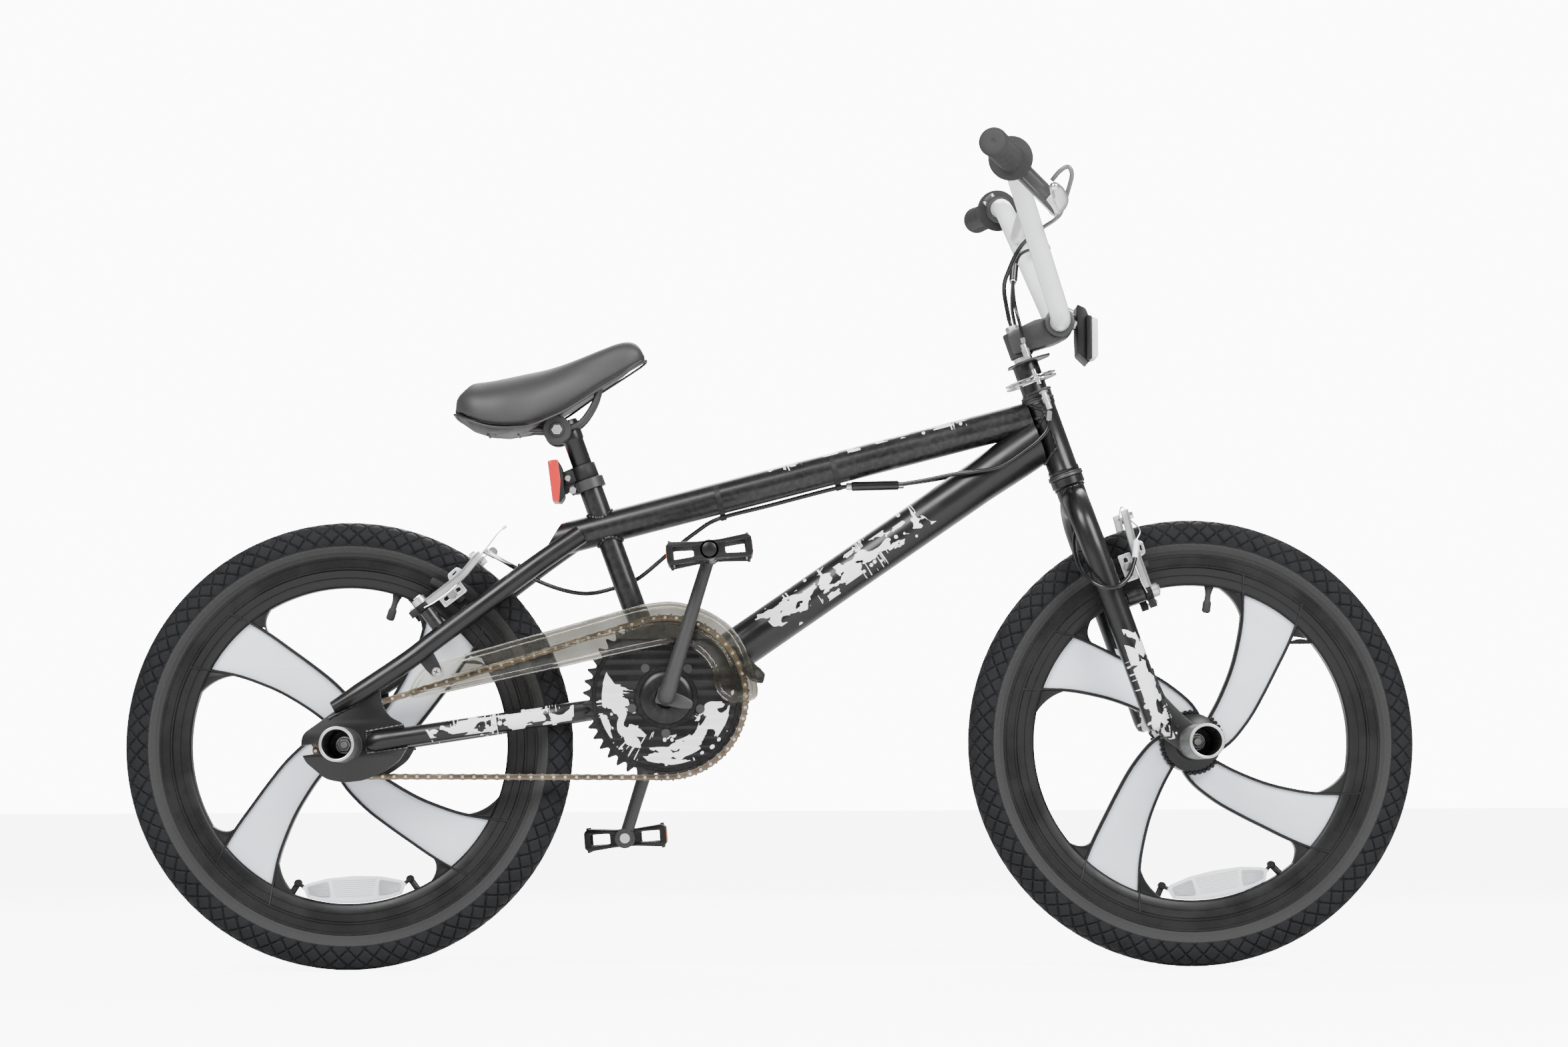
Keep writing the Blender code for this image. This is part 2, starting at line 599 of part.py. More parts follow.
def make_freewheel(groups):
    teeth = COG_PITCH_RADIUS + 0.0022
    profile = [
        (0.0176, 0.0300), (0.0275, 0.0300), (0.0275, 0.0434), (teeth, 0.0434), (teeth, 0.0466),
        (0.0215, 0.0466), (0.0215, 0.0490), (0.0176, 0.0490),
    ]
    turned("freewheel", profile, groups["rear_wheel"], "black_metal", about("X", 90), 28)


# Wheels


def spoke_outline(phase):
    """One curved spoke as (x, z) points: a nearly straight leading rib and a sweeping trailing rib."""
    leading = [(0.018, -14.0), (0.035, -8.3), (0.095, -0.4), (0.150, 6.0), (0.182, 10.0)]
    trailing = [
        (0.182, -13.0), (0.150, -17.0), (0.127, -20.5), (0.100, -27.0), (0.074, -37.5),
        (0.050, -54.0), (0.033, -76.0), (0.018, -95.0),
    ]
    points = []
    for radius, degrees in leading + trailing:
        angle = math.radians(phase + degrees)
        points.append((radius * math.cos(angle), radius * math.sin(angle)))
    return points


def make_wheel(name, group, phase, bearing, thread):
    """A moulded wheel, its tyre, its bearings and its reflector."""
    to_left = about("X", -90)
    rim = [
        (0.1770, -0.0110), (0.1980, -0.0160), (RIM_TRACK_RADIUS, -0.0160), (RIM_TRACK_RADIUS, -0.0135),
        (0.2040, -0.0130), (0.2040, 0.0130), (RIM_TRACK_RADIUS, 0.0135), (RIM_TRACK_RADIUS, 0.0160),
        (0.1980, 0.0160), (0.1770, 0.0110),
    ]
    wheel = turned(name, rim, group, "black_nylon", to_left, 40)
    right_end = -0.0296 if thread else -0.0400
    hub = [
        (0, right_end), (0.0190, right_end), (0.0200, -0.0240), (0.0330, -0.0200), (0.0330, 0.0200),
        (0.0200, 0.0240), (0.0190, 0.0400), (0, 0.0400),
    ]
    tools = [turned(name + "_hub", hub, group, None, to_left, 20)]
    for index in range(4):
        outline = spoke_outline(phase + 90 * index)
        tools.append(prism(f"{name}_spoke_{index}", outline, -0.0090, 0.0090, group))
    if thread:
        tools.append(rod(name + "_thread", (0, -0.0150, 0), (0, -0.0480, 0), 0.0173, group, None, 20))
    join(wheel, *tools)
    bore = rod(name + "_bore", (0, -0.08, 0), (0, 0.08, 0), 0.0145, group, None, 20)
    cut(wheel, bore)

    tyre_side = [
        (0.2043, 0.0126), (0.2120, 0.0129), (0.2200, 0.0210), (0.2320, 0.0245), (0.2425, 0.0215),
        (TYRE_RADIUS, 0.0060),
    ]
    lining = [(0.2420, 0.0120), (0.2043, 0.0090)]
    outer = [(r, -y) for r, y in tyre_side] + list(reversed(tyre_side))
    inner = list(reversed(lining)) + [(r, -y) for r, y in lining]
    turned(name.replace("wheel", "tyre"), outer + inner, group, "tyre_rubber", to_left, 40)

    profile = [
        (0.0055, -bearing), (0.0142, -bearing), (0.0142, 0.0130 - bearing), (0.0078, 0.0140 - bearing),
        (0.0078, bearing - 0.0140), (0.0142, bearing - 0.0130), (0.0142, bearing), (0.0055, bearing),
    ]
    turned(name.replace("wheel", "hub_bearings"), profile, group, "silver_metal", to_left, 16)


def make_wheel_reflector(name, group, turn):
    """A crescent lens that sits against the inside of the rim, at the bottom of the wheel at rest."""
    outline = []
    for step in range(9):
        angle = math.radians(-90 + 16 * (step - 4) / 4)
        outline.append((0.1764 * math.cos(angle), 0.1764 * math.sin(angle)))
    outline += [(0.0600, -0.1620), (0.0560, -0.1540), (0.0300, -0.1470), (0.0, -0.1450)]
    outline += [(-0.0300, -0.1470), (-0.0560, -0.1540), (-0.0600, -0.1620)]
    prism(name, outline, -0.0060, 0.0060, group, "clear_lens", about("Y", turn))


def make_axle(name, group, nut):
    axle = rod(name, (0, -0.0780, 0), (0, 0.0780, 0), AXLE_RADIUS, group, "silver_metal", 12)
    for side, sign in SIDES.items():
        start, end = (0, sign * nut, 0), (0, sign * (nut + 0.008), 0)
        join(axle, rod(f"{name}_nut_{side}", start, end, 0.0085, group, None, 6))


def make_pegs(name, group, start):
    """Two foot pegs, each a cup whose floor is clamped under the axle nut."""
    for side, sign in SIDES.items():
        profile = [
            (AXLE_RADIUS + GAP, start), (0.0195, start), (0.0195, PEG_END), (0.0160, PEG_END),
            (0.0160, start + 0.005), (AXLE_RADIUS + GAP, start + 0.005),
        ]
        at = about("X", -90 * sign)
        turned(f"{name}_{side}", profile, group, "black_metal", at, 24)


# Fork and brakes


def brake_stud(side, local_sign, group, name, root):
    """The boss and the stub that one brake arm turns on, in the brake's own axes."""
    y = local_sign * 0.046
    boss = rod(f"{name}_boss_{side}", (root, y, 0), (0.0347, y, 0), 0.0055, group, None, 12)
    stub = rod(f"{name}_stub_{side}", (0.0300, y, 0), (0.0430, y, 0), 0.0030, group, None, 12)
    return boss, stub


def make_brake_arm(name, group, sign, axle, pad_angle, top):
    """One brake arm with its pad. The group's X points out from the wheel and its Z along the arm."""
    pivot = sign * 0.046
    body = [
        (0.0350, -0.004, 0.0065), (0.0350, 0.004, 0.0070), (0.0355, 0.050, 0.0060),
        (top[0] - 0.0040, top[1], 0.0050),
    ]
    rings = []
    for out, along, half in body:
        lean = pivot + sign * 0.002 * (along > 0.02)
        rings.append(
            [(out, lean - half, along), (out, lean + half, along), (out + 0.009, lean + half, along),
             (out + 0.009, lean - half, along)]
        )
    arm = loft(name, rings, group, "silver_metal")
    eye = rod(name + "_eye", (0.0350, pivot, 0), (0.0500, pivot, 0), 0.0080, group, None, 16)
    band = []
    for radius, span in ((0.2015, (-7, -3.5, 0, 3.5, 7)), (0.2110, (7, 3.5, 0, -3.5, -7))):
        for degrees in span:
            angle = math.radians(pad_angle + degrees)
            band.append((axle[0] + radius * math.sin(angle), axle[1] + radius * math.cos(angle)))
    low, high = sorted((sign * 0.0185, sign * 0.0300))
    pad = prism(name + "_pad", band, low, high, group)
    stud = rod(name + "_pad_stud", (0.0390, sign * 0.0260, 0.032), (0.0390, sign * 0.0560, 0.032), 0.0035, group)
    holder = block(
        name + "_pad_holder", (0.0300, min(low, high) + 0.0055 * (sign > 0), 0.028),
        (0.0430, max(low, high) - 0.0055 * (sign < 0), 0.036), group,
    )
    bore = rod(name + "_bore", (0.02, pivot, 0), (0.0440, pivot, 0), 0.0033, group, None, 12)
    cut(join(arm, eye, pad, stud, holder), bore)


def make_fork(groups):
    steer, brake = groups["steer"], groups["front_brake"]
    profile = [
        (0.0112, -0.0450), (0.0150, -0.0450), (0.0165, -0.0400), (0.0165, -0.0130), (0.0190, -0.0100),
        (0.0190, -0.0018), (STEERER_RADIUS, -0.0018), (STEERER_RADIUS, 0.0953), (0.0150, 0.0953),
        (0.0150, 0.1352), (0.0112, 0.1352),
    ]
    turned("fork_steerer", profile, steer, "black_paint", None, 20)
    room = rod("steerer_room", (0, 0, -0.06), (0, 0, -0.002), 0.0165 + GAP, steer, None, 20)
    race_room = rod("race_room", (0, 0, -0.0130), (0, 0, 0.02), 0.0200, steer, None, 20)
    for side, sign in SIDES.items():
        places = [
            (0, 0.006, -0.0285), (-0.001, 0.024, -0.0305), (-0.002, 0.041, -0.0400),
            (-0.003, 0.0535, -0.0580), (-0.003, 0.0575, -0.0800), (-0.003, 0.0585, -0.1100),
            (-0.003, 0.0585, -0.2300), (-0.003, 0.0585, -0.3040),
        ]
        path = smooth_path([(x, sign * y, z) for x, y, z in places], 14)
        path.append(path[-1] + Vector((0, 0, -0.0040)))
        path.append(path[-1] + Vector((0, 0, -0.0025)))
        radii = [1.0] * (len(path) - 2) + [0.9, 0.6]
        leg = tube("fork_leg_" + side, path, FORK_LEG_RADIUS, steer, "black_paint", 3, radii)
        low, high = sorted((sign * PLATE_FRONT[0], sign * PLATE_FRONT[1]))
        axle_at = (0.0297, -0.3299)
        outline = [(-0.006, -0.2350), (-0.006, -0.3080), (0.0120, -0.3350), (0.0180, -0.3460)]
        for degrees in (-75, -45, -15, 15, 45, 75):
            angle = math.radians(degrees)
            outline.append((axle_at[0] + 0.0195 * math.cos(angle), axle_at[1] + 0.0195 * math.sin(angle)))
        outline += [(0.0280, -0.2990), (0.0150, -0.2700), (0.0125, -0.2350)]
        plate = prism("front_plate_" + side, outline, low, high, steer)
        start, end = (axle_at[0], sign * 0.04, axle_at[1]), (axle_at[0], sign * 0.07, axle_at[1])
        hole = rod("front_hole_" + side, start, end, AXLE_RADIUS + GAP, steer)
        boss, stub = brake_stud(side, sign, brake, "front", -0.006)
        cut(join(leg, plate, boss, stub), hole, room, race_room)


def make_headset(groups):
    steer = groups["steer"]
    lower = [
        (0.0131, -0.0015), (0.0202, -0.0015), (0.0202, 0.0037), (0.0147, 0.0037), (0.0147, 0.0120),
        (0.0131, 0.0120),
    ]
    turned("headset_lower_cup", lower, steer, "silver_metal", None, 20)
    upper = [
        (0.0131, 0.0810), (0.0147, 0.0810), (0.0147, 0.0898), (0.0185, 0.0898), (0.0185, 0.0949),
        (0.0131, 0.0949),
    ]
    turned("headset_upper_cup", upper, steer, "silver_metal", None, 20)


def make_rotor(groups):
    """The two plates and the two sliding discs that let the rear brake cable turn with the bars."""
    steer, bars = groups["steer"], groups["bars"]
    half = [(-0.012, 0.0180), (0.000, 0.0350), (0.012, 0.0350), (0.0175, 0.0180)]
    low_outline = half + [(f, -y) for f, y in reversed(half)]
    bottom = flat_plate("gyro_bottom_plate", low_outline, 0.0990, 0.1015, steer, "black_metal")
    hub = rod("gyro_hub", (0, 0, 0.0953), (0, 0, 0.1015), 0.0180, steer, None, 20)
    tools = [hub]
    for sign in (-1, 1):
        start, end = (0.006, sign * 0.030, 0.0765), (0.006, sign * 0.030, 0.1000)
        tools.append(rod(f"gyro_low_barrel_{sign}", start, end, 0.0042, steer, None, 12))
    cut(join(bottom, *tools), rod("gyro_hub_bore", (0, 0, 0.09), (0, 0, 0.11), 0.0154, steer, None, 20))

    pipe("gyro_lower_disc", (0, 0, 0.1125), (0, 0, 0.1145), 0.0300, 0.0158, steer, "silver_metal", 24)
    pipe("gyro_upper_disc", (0, 0, 0.1165), (0, 0, 0.1185), 0.0300, 0.0158, bars, "silver_metal", 24)

    half = [(-0.020, 0.0140), (-0.006, 0.0330), (0.012, 0.0340), (0.030, 0.0150)]
    top_outline = half + [(f, -y) for f, y in reversed(half)]
    top = flat_plate("gyro_top_plate", top_outline, 0.1355, 0.1378, bars, "black_metal")
    tools = []
    for sign in (-1, 1):
        start, end = (0.004, sign * 0.028, 0.1365), (0.004, sign * 0.028, 0.1560)
        tools.append(rod(f"gyro_top_barrel_{sign}", start, end, 0.0042, bars, None, 12))
    cut(join(top, *tools), rod("gyro_top_bore", (0, 0, 0.12), (0, 0, 0.15), 0.0112, bars, None, 20))


def flat_plate(name, outline, low, high, parent, look):
    """An outline of (forward, side) points, extruded along the steering axis."""
    return prism(name, outline, -high, -low, parent, look, about("X", -90))


# Bars, stem and controls

BAR_CENTRE = (0.052, 0.0, 0.166)
BAR_BEND = (0.0505, 0.178, 0.3325)
GRIP_START = (0.047, 0.222, 0.3350)
GRIP_END = (0.026, 0.336, 0.3450)


def bar_half(sign):
    low_corner = (0.052, 0.058, 0.166)
    ends = [BAR_CENTRE, low_corner, BAR_BEND, GRIP_START]
    path = filleted([(x, sign * y, z) for x, y, z in ends], 0.042, 5)
    tip = Vector(GRIP_START).lerp(Vector(GRIP_END), 0.965)
    path.append(Vector((tip.x, sign * tip.y, tip.z)))
    return path


def make_bars(groups):
    bars = groups["bars"]
    path = list(reversed(bar_half(-1)))[:-1] + bar_half(1)
    bar = tube("handlebar", path, BAR_RADIUS, bars, "white_paint", 4)
    cross_start, cross_end = (0.0510, -0.151, 0.288), (0.0510, 0.151, 0.288)
    join(bar, rod("crossbar", cross_start, cross_end, 0.0085, bars, None, 12))

    outline = [
        (-0.0090, 0.1480), (0.0155, 0.1466), (0.0560, 0.1452), (0.0640, 0.1530), (0.0680, 0.1660),
        (0.0640, 0.1775), (0.0520, 0.1820), (0.0400, 0.1760), (0.0270, 0.1787), (-0.0090, 0.1742),
    ]
    stem = prism("stem", outline, -0.0200, 0.0200, bars, "black_metal")
    column = rod("stem_column", (0, 0, 0.1470), (0, 0, 0.1690), 0.0135, bars, None, 20)
    clamp = rod("stem_clamp", (0.052, -0.0240, 0.166), (0.052, 0.0240, 0.166), 0.0168, bars, None, 20)
    quill = rod("stem_quill", (0, 0, 0.080), (0, 0, 0.1550), 0.0108, bars, None, 20)
    bolt = rod("stem_bolt", (0, 0, 0.160), (0, 0, 0.1830), 0.0075, bars, None, 12)
    join(stem, column, clamp, quill, bolt)
    bar_bore = rod("bar_bore", (0.052, -0.05, 0.166), (0.052, 0.05, 0.166), BAR_RADIUS + GAP, bars, None, 20)
    bolt_bore = rod("bolt_bore", (0, 0, 0.06), (0, 0, 0.20), 0.0036, bars, None, 12)
    cut(stem, bar_bore, bolt_bore)

    bracket = [(0.3480, 0.7463), (0.3574, 0.7418), (0.3609, 0.6793), (0.3490, 0.6906), (0.3480, 0.7100)]
    reflector = prism("front_reflector", bracket, -0.0200, 0.0360, groups["frame"], "clear_lens")
    lens = [(0.3590, 0.7320), (0.3709, 0.7300), (0.3709, 0.6850), (0.3596, 0.6830)]
    front = prism("front_lens", lens, -0.0260, 0.0260, groups["frame"])
    ring_start, ring_end = (0.052, 0.0262, 0.166), (0.052, 0.0352, 0.166)
    ring = rod("reflector_ring", ring_start, ring_end, 0.0150, bars, None, 16)
    ring_arm = block("reflector_ring_arm", (0.0560, 0.0262, 0.158), (0.0760, 0.0352, 0.172), bars)
    ring_bore = rod("reflector_bore", (0.052, 0.02, 0.166), (0.052, 0.045, 0.166), BAR_RADIUS + GAP, bars)
    stem_room = rod("stem_room", (0.052, -0.03, 0.166), (0.052, 0.0250, 0.166), 0.0172, bars, None, 20)
    cut(join(reflector, front, ring, ring_arm), ring_bore, stem_room)


def make_grips_and_levers(groups):
    bars = groups["bars"]
    for side, sign in SIDES.items():
        start = Vector((GRIP_START[0], sign * GRIP_START[1], GRIP_START[2]))
        end = Vector((GRIP_END[0], sign * GRIP_END[1], GRIP_END[2]))
        length = (end - start).length
        hole = BAR_RADIUS + GAP
        profile = [
            (hole, 0), (0.0245, 0), (0.0245, 0.0040), (0.0155, 0.0060), (0.0155, length - 0.0060),
            (0.01375, length), (0, length), (0, length - 0.0030), (hole, length - 0.0030),
        ]
        at = Matrix.Translation(start) @ facing(end - start)
        turned("grip_" + side, profile, bars, "black_rubber", at, 20)

        bend = Vector((BAR_BEND[0], sign * BAR_BEND[1], BAR_BEND[2]))
        direction = (start - bend).normalized()
        perch = bend.lerp(start, 0.72)
        holder = axes("lever_axes_" + side, bars, perch, about("Y", 45 + STEER_TILT))
        ring_start = perch - direction * 0.0080
        ring_end = perch + direction * 0.0080
        mount = rod("lever_mount_" + side, ring_start, ring_end, 0.0160, bars, "black_metal", 20)
        inward = -sign * 0.011
        body = [
            (0.0100, -sign * 0.0100), (0.0740, inward - sign * 0.0060), (0.0780, inward),
            (0.0740, inward + sign * 0.0070), (0.0450, sign * 0.0060), (0.0100, sign * 0.0100),
        ]
        flat = about("X", -90)
        shell = prism("perch_body_" + side, body, -0.0095, 0.0095, holder, None, flat)
        pivot = (0.0707, inward)
        slot = block("perch_slot_" + side, (0.0560, -0.0053, -0.04), (0.09, 0.0053, 0.04), holder, None, flat)
        pin = rod("perch_pin_" + side, (pivot[0], pivot[1], -0.0105), (pivot[0], pivot[1], 0.0105), 0.0022,
                  holder, None, 10)
        hole_tool = rod("perch_hole_" + side, perch - direction * 0.02, perch + direction * 0.02, hole, bars)
        adjuster_start = (0.0600, sign * -0.008, 0)
        adjuster_end = (0.0640, sign * -0.030, 0)
        adjuster = rod("adjuster_" + side, adjuster_start, adjuster_end, 0.0045, holder, None, 12)
        join(cut(join(mount, shell, adjuster), slot, hole_tool), pin)

        inner, outer = [], []
        for x, y in ((0.0700, -0.0080), (0.0765, 0.0100), (0.0745, 0.0450), (0.0650, 0.0780), (0.0566, 0.0990)):
            inner.append((x - 0.0030, sign * y))
            outer.insert(0, (x + 0.0030, sign * y))
        lever = prism("brake_lever_" + side, inner + outer, -0.0050, 0.0050, holder, "silver_metal", flat)
        knuckle = rod("lever_knuckle_" + side, (pivot[0], pivot[1], -0.0050), (pivot[0], pivot[1], 0.0050),
                      0.0068, holder, None, 16)
        wide = prism("lever_wide_" + side, inner[2:] + outer[:-2], -0.0085, 0.0085, holder, None, flat)
        pin_room = rod("lever_bore_" + side, (pivot[0], pivot[1], -0.02), (pivot[0], pivot[1], 0.02), 0.0026,
                       holder, None, 10)
        cut(join(lever, knuckle, wide), pin_room)


# Cables


def make_cables(groups):
    frame = groups["frame"]
    places = [
        (0.1457, 0.0, 0.5430), (0.0923, 0.0, 0.5417), (0.0727, 0.0, under_top_tube(0.0727)),
        (0.0000, 0.0, under_top_tube(0.0)), (-0.0578, 0.0, under_top_tube(-0.0578)),
        (-0.0842, 0.010, 0.4905), (-0.1144, 0.024, 0.4680), (-0.1499, 0.030, 0.4395),
        (-0.1768, 0.030, 0.4289), (-0.2132, 0.030, 0.4230), (-0.2586, 0.024, 0.4353),
        (-0.3102, 0.004, 0.4640), (-0.3215, 0.0, 0.4700),
    ]
    rear = tube("rear_brake_cable", smooth_path(places, 30), CABLE_RADIUS, frame, "cable_jacket", 1)
    splitter = rod("splitter", places[1], places[0], 0.0055, frame, None, 10)
    tools = [splitter]
    for sign in (-1, 1):
        branch = [
            (0.3148, sign * 0.0300, 0.6242), (0.3130, sign * 0.0300, 0.6055),
            (0.3055, sign * 0.0300, 0.5943), (0.2905, sign * 0.0300, 0.5816),
            (0.2601, sign * 0.0295, 0.5620), (0.2300, sign * 0.0260, 0.5560),
            (0.2080, sign * 0.0200, 0.5540), (0.1750, sign * 0.0090, 0.5480), (0.1440, 0.0, 0.5430),
        ]
        tools.append(tube(f"lower_cable_{sign}", smooth_path(branch, 10), 0.0023, frame, None, 1))
    join(rear, *tools)

    left_start = [(0.3300, 0.168, 0.8320), (0.3240, 0.140, 0.8290), (0.3120, 0.100, 0.8240),
                  (0.2980, 0.060, 0.8180), (0.2860, 0.032, 0.8080), (0.2800, 0.018, 0.7930)]
    upper = tube("gyro_upper_cable", smooth_path(left_start, 12), CABLE_RADIUS, frame, "cable_jacket", 1)
    joint = rod("upper_splitter", (0.2800, 0.018, 0.7960), (0.2778, 0.012, 0.7760), 0.0050, frame, None, 10)
    tools = [joint]
    for sign in (-1, 1):
        branch = [(0.2778, 0.012, 0.7780), (0.2768, 0.004 + sign * 0.010, 0.7620),
                  (0.2776, sign * 0.024, 0.7430), (0.2822, sign * 0.0290, 0.7220), (0.2866, sign * 0.0280, 0.7008)]
        tools.append(tube(f"upper_branch_{sign}", smooth_path(branch, 6), 0.0020, frame, None, 1))
    join(upper, *tools)

    axis_top = Vector(STEER_FOOT) + steer_up() * 0.188
    axis_low = Vector(STEER_FOOT) + steer_up() * -0.050
    head = [(0.3160, -0.168, 0.8260), (0.3120, -0.140, 0.8245), (0.3030, -0.100, 0.8220),
            (0.2920, -0.062, 0.8170), (0.2810, -0.034, 0.8060), (0.2720, -0.014, 0.7870),
            (0.2665, -0.003, 0.7660), axis_top]
    tail = [axis_low, (0.3465, -0.004, 0.4935), (0.3425, -0.018, 0.4760), (0.3430, -0.038, 0.4590),
            (0.3470, -0.058, 0.4430), (0.3560, -0.075, 0.4310), (0.3677, -0.0825, 0.4235),
            (0.3835, -0.085, 0.4230), (0.3974, -0.080, 0.4343), (0.4060, -0.069, 0.4560),
            (0.4085, -0.062, 0.4760)]
    path = smooth_path(head, 14) + smooth_path([axis_top, axis_low], 2)[1:-1] + smooth_path(tail, 16)
    tube("front_brake_cable", path, CABLE_RADIUS, frame, "cable_jacket", 1)


def steer_up():
    tilt = math.radians(STEER_TILT)
    return Vector((-math.sin(tilt), 0, math.cos(tilt)))


def under_top_tube(x):
    """The height of a cable that lies along the underside of the top tube."""
    tilt = math.radians(TOP_TUBE_TILT)
    axis = TOP_TUBE_POINT[2] + (x - TOP_TUBE_POINT[0]) * math.tan(tilt)
    return axis - (TOP_TUBE_RADIUS + CABLE_RADIUS + 0.0015) / math.cos(tilt)


def main():
    clear_scene()
    groups = make_axes()
    make_main_tubes(groups)
    make_chainstays(groups)
    make_seatstays(groups)
    make_seat(groups)
    make_saddle(groups)
    make_guard(groups)
    make_chain(groups)
    make_crank(groups)
    make_pedals(groups)
    make_freewheel(groups)
    make_wheel("front_wheel", groups["front_wheel"], 331.5, 0.0495, False)
    make_wheel("rear_wheel", groups["rear_wheel"], 323.0, 0.0548, True)
    make_wheel_reflector("front_wheel_reflector", groups["front_wheel"], -10.6)
    make_wheel_reflector("rear_wheel_reflector", groups["rear_wheel"], -2.0)
    make_axle("front_axle", groups["front_wheel"], 0.0608)
    make_axle("rear_axle", groups["rear_wheel"], 0.0662)
    make_pegs("front_peg", groups["front_wheel"], 0.0553)
    make_pegs("rear_peg", groups["rear_wheel"], 0.0608)
    make_fork(groups)
    make_headset(groups)
    make_rotor(groups)
    make_bars(groups)
    make_grips_and_levers(groups)
    for side, sign in SIDES.items():
        make_brake_arm("front_brake_arm_" + side, groups["front_brake"], sign, (0.0297, -0.1750), 0.0,
                       (0.0434, 0.0955))
        make_brake_arm("rear_brake_arm_" + side, groups["rear_brake"], -sign, (-0.0336, -0.1615), 20.4,
                       (0.0458, 0.0861))
    make_cables(groups)


main()
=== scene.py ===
"""Looks for a freestyle bmx bike: detailed pieces and procedural materials around its fixed frame.

The file is laid out as a Blender add-on and is run as a script. X runs forwards from the rear wheel to the
front wheel, Z is up and the chain is on the -Y side. Lengths are metres.
"""

import json
import math

import bmesh
import bpy
import numpy as np
from mathutils import Matrix, Vector


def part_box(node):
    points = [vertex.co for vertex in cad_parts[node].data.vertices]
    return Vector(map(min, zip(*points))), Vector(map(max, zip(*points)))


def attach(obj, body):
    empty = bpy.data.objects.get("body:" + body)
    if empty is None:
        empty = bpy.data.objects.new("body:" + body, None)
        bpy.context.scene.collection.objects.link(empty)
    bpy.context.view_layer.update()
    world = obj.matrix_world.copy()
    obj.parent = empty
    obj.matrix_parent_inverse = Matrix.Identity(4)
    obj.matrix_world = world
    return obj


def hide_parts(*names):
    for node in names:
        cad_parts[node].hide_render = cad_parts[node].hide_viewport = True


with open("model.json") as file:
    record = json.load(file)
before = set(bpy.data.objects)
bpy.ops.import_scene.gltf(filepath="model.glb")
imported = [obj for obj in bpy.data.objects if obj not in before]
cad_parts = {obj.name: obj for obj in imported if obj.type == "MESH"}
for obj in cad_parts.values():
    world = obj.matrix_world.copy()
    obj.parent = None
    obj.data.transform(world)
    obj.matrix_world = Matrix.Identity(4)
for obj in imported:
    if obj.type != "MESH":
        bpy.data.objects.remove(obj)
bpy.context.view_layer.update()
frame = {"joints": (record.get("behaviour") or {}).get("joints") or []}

bl_info = {
    "name": "BMX Bike Builder",
    "version": (1, 0, 0),
    "blender": (4, 5, 0),
    "location": "3D View > Sidebar > BMX",
    "description": "Builds the tubes, wheels, drivetrain, brakes and controls of a freestyle bike",
    "category": "Object",
}

JOINTS = {joint["name"]: joint for joint in frame["joints"]}
SIDES = {"right": -1, "left": 1}


def pivot(joint):
    return Vector(JOINTS[joint]["pos_m"])


def direction(joint):
    return Vector(JOINTS[joint]["axis"]).normalized()


def about(axis, degrees):
    return Matrix.Rotation(math.radians(degrees), 4, axis)


def at(*place):
    """The move to a place, given as a vector or as three numbers."""
    return Matrix.Translation(Vector(place[0]) if len(place) == 1 else Vector(place))


def facing(aim):
    """The rotation that turns +Z to an aim."""
    return Vector(aim).to_track_quat("Z", "Y").to_matrix().to_4x4()


BRACKET = pivot("crank_spin")
REAR_AXLE = pivot("rear_wheel_spin")
FRONT_AXLE = pivot("front_wheel_spin")
STEER_UP = direction("steering_turn")
STEER_TILT = math.degrees(math.atan2(-STEER_UP.x, STEER_UP.z))
STEER = at(pivot("steering_turn")) @ about("Y", -STEER_TILT)
BARS = STEER @ about("Z", -2.0)
SEAT_UP = direction("seatpost_slide")
SEAT_TILT = math.degrees(math.atan2(-SEAT_UP.x, SEAT_UP.z))
SEAT = at(BRACKET) @ about("Y", -SEAT_TILT)
SADDLE_PIVOT = pivot("saddle_tilt")
CRANK_ARM = pivot("pedal_right_spin") - Vector((BRACKET.x, pivot("pedal_right_spin").y, BRACKET.z))
CRANK_TURN = math.degrees(math.atan2(CRANK_ARM.x, CRANK_ARM.z))
CRANK = at(BRACKET) @ about("Y", CRANK_TURN)
REAR_OUT = -direction("rear_brake_arm_left_close")
REAR_OUT = REAR_OUT if REAR_OUT.x < 0 else -REAR_OUT
REAR_BRAKE_FOOT = pivot("rear_brake_arm_left_close") * Vector((1, 0, 1)) - REAR_OUT * 0.0395
REAR_BRAKE = at(REAR_BRAKE_FOOT) @ Matrix(
    (REAR_OUT, (0, -1, 0), Vector((REAR_OUT.z, 0, -REAR_OUT.x)))
).transposed().to_4x4()
FRONT_BRAKE = STEER @ at(0, 0, -0.1549)
CHAIN_LINE = -0.045
RING_RADIUS, RING_TEETH = 0.0890, 44
COG_RADIUS, COG_TEETH = 0.03456, 17
TUBE_RISE = math.tan(math.radians(14.45))


# Mesh building


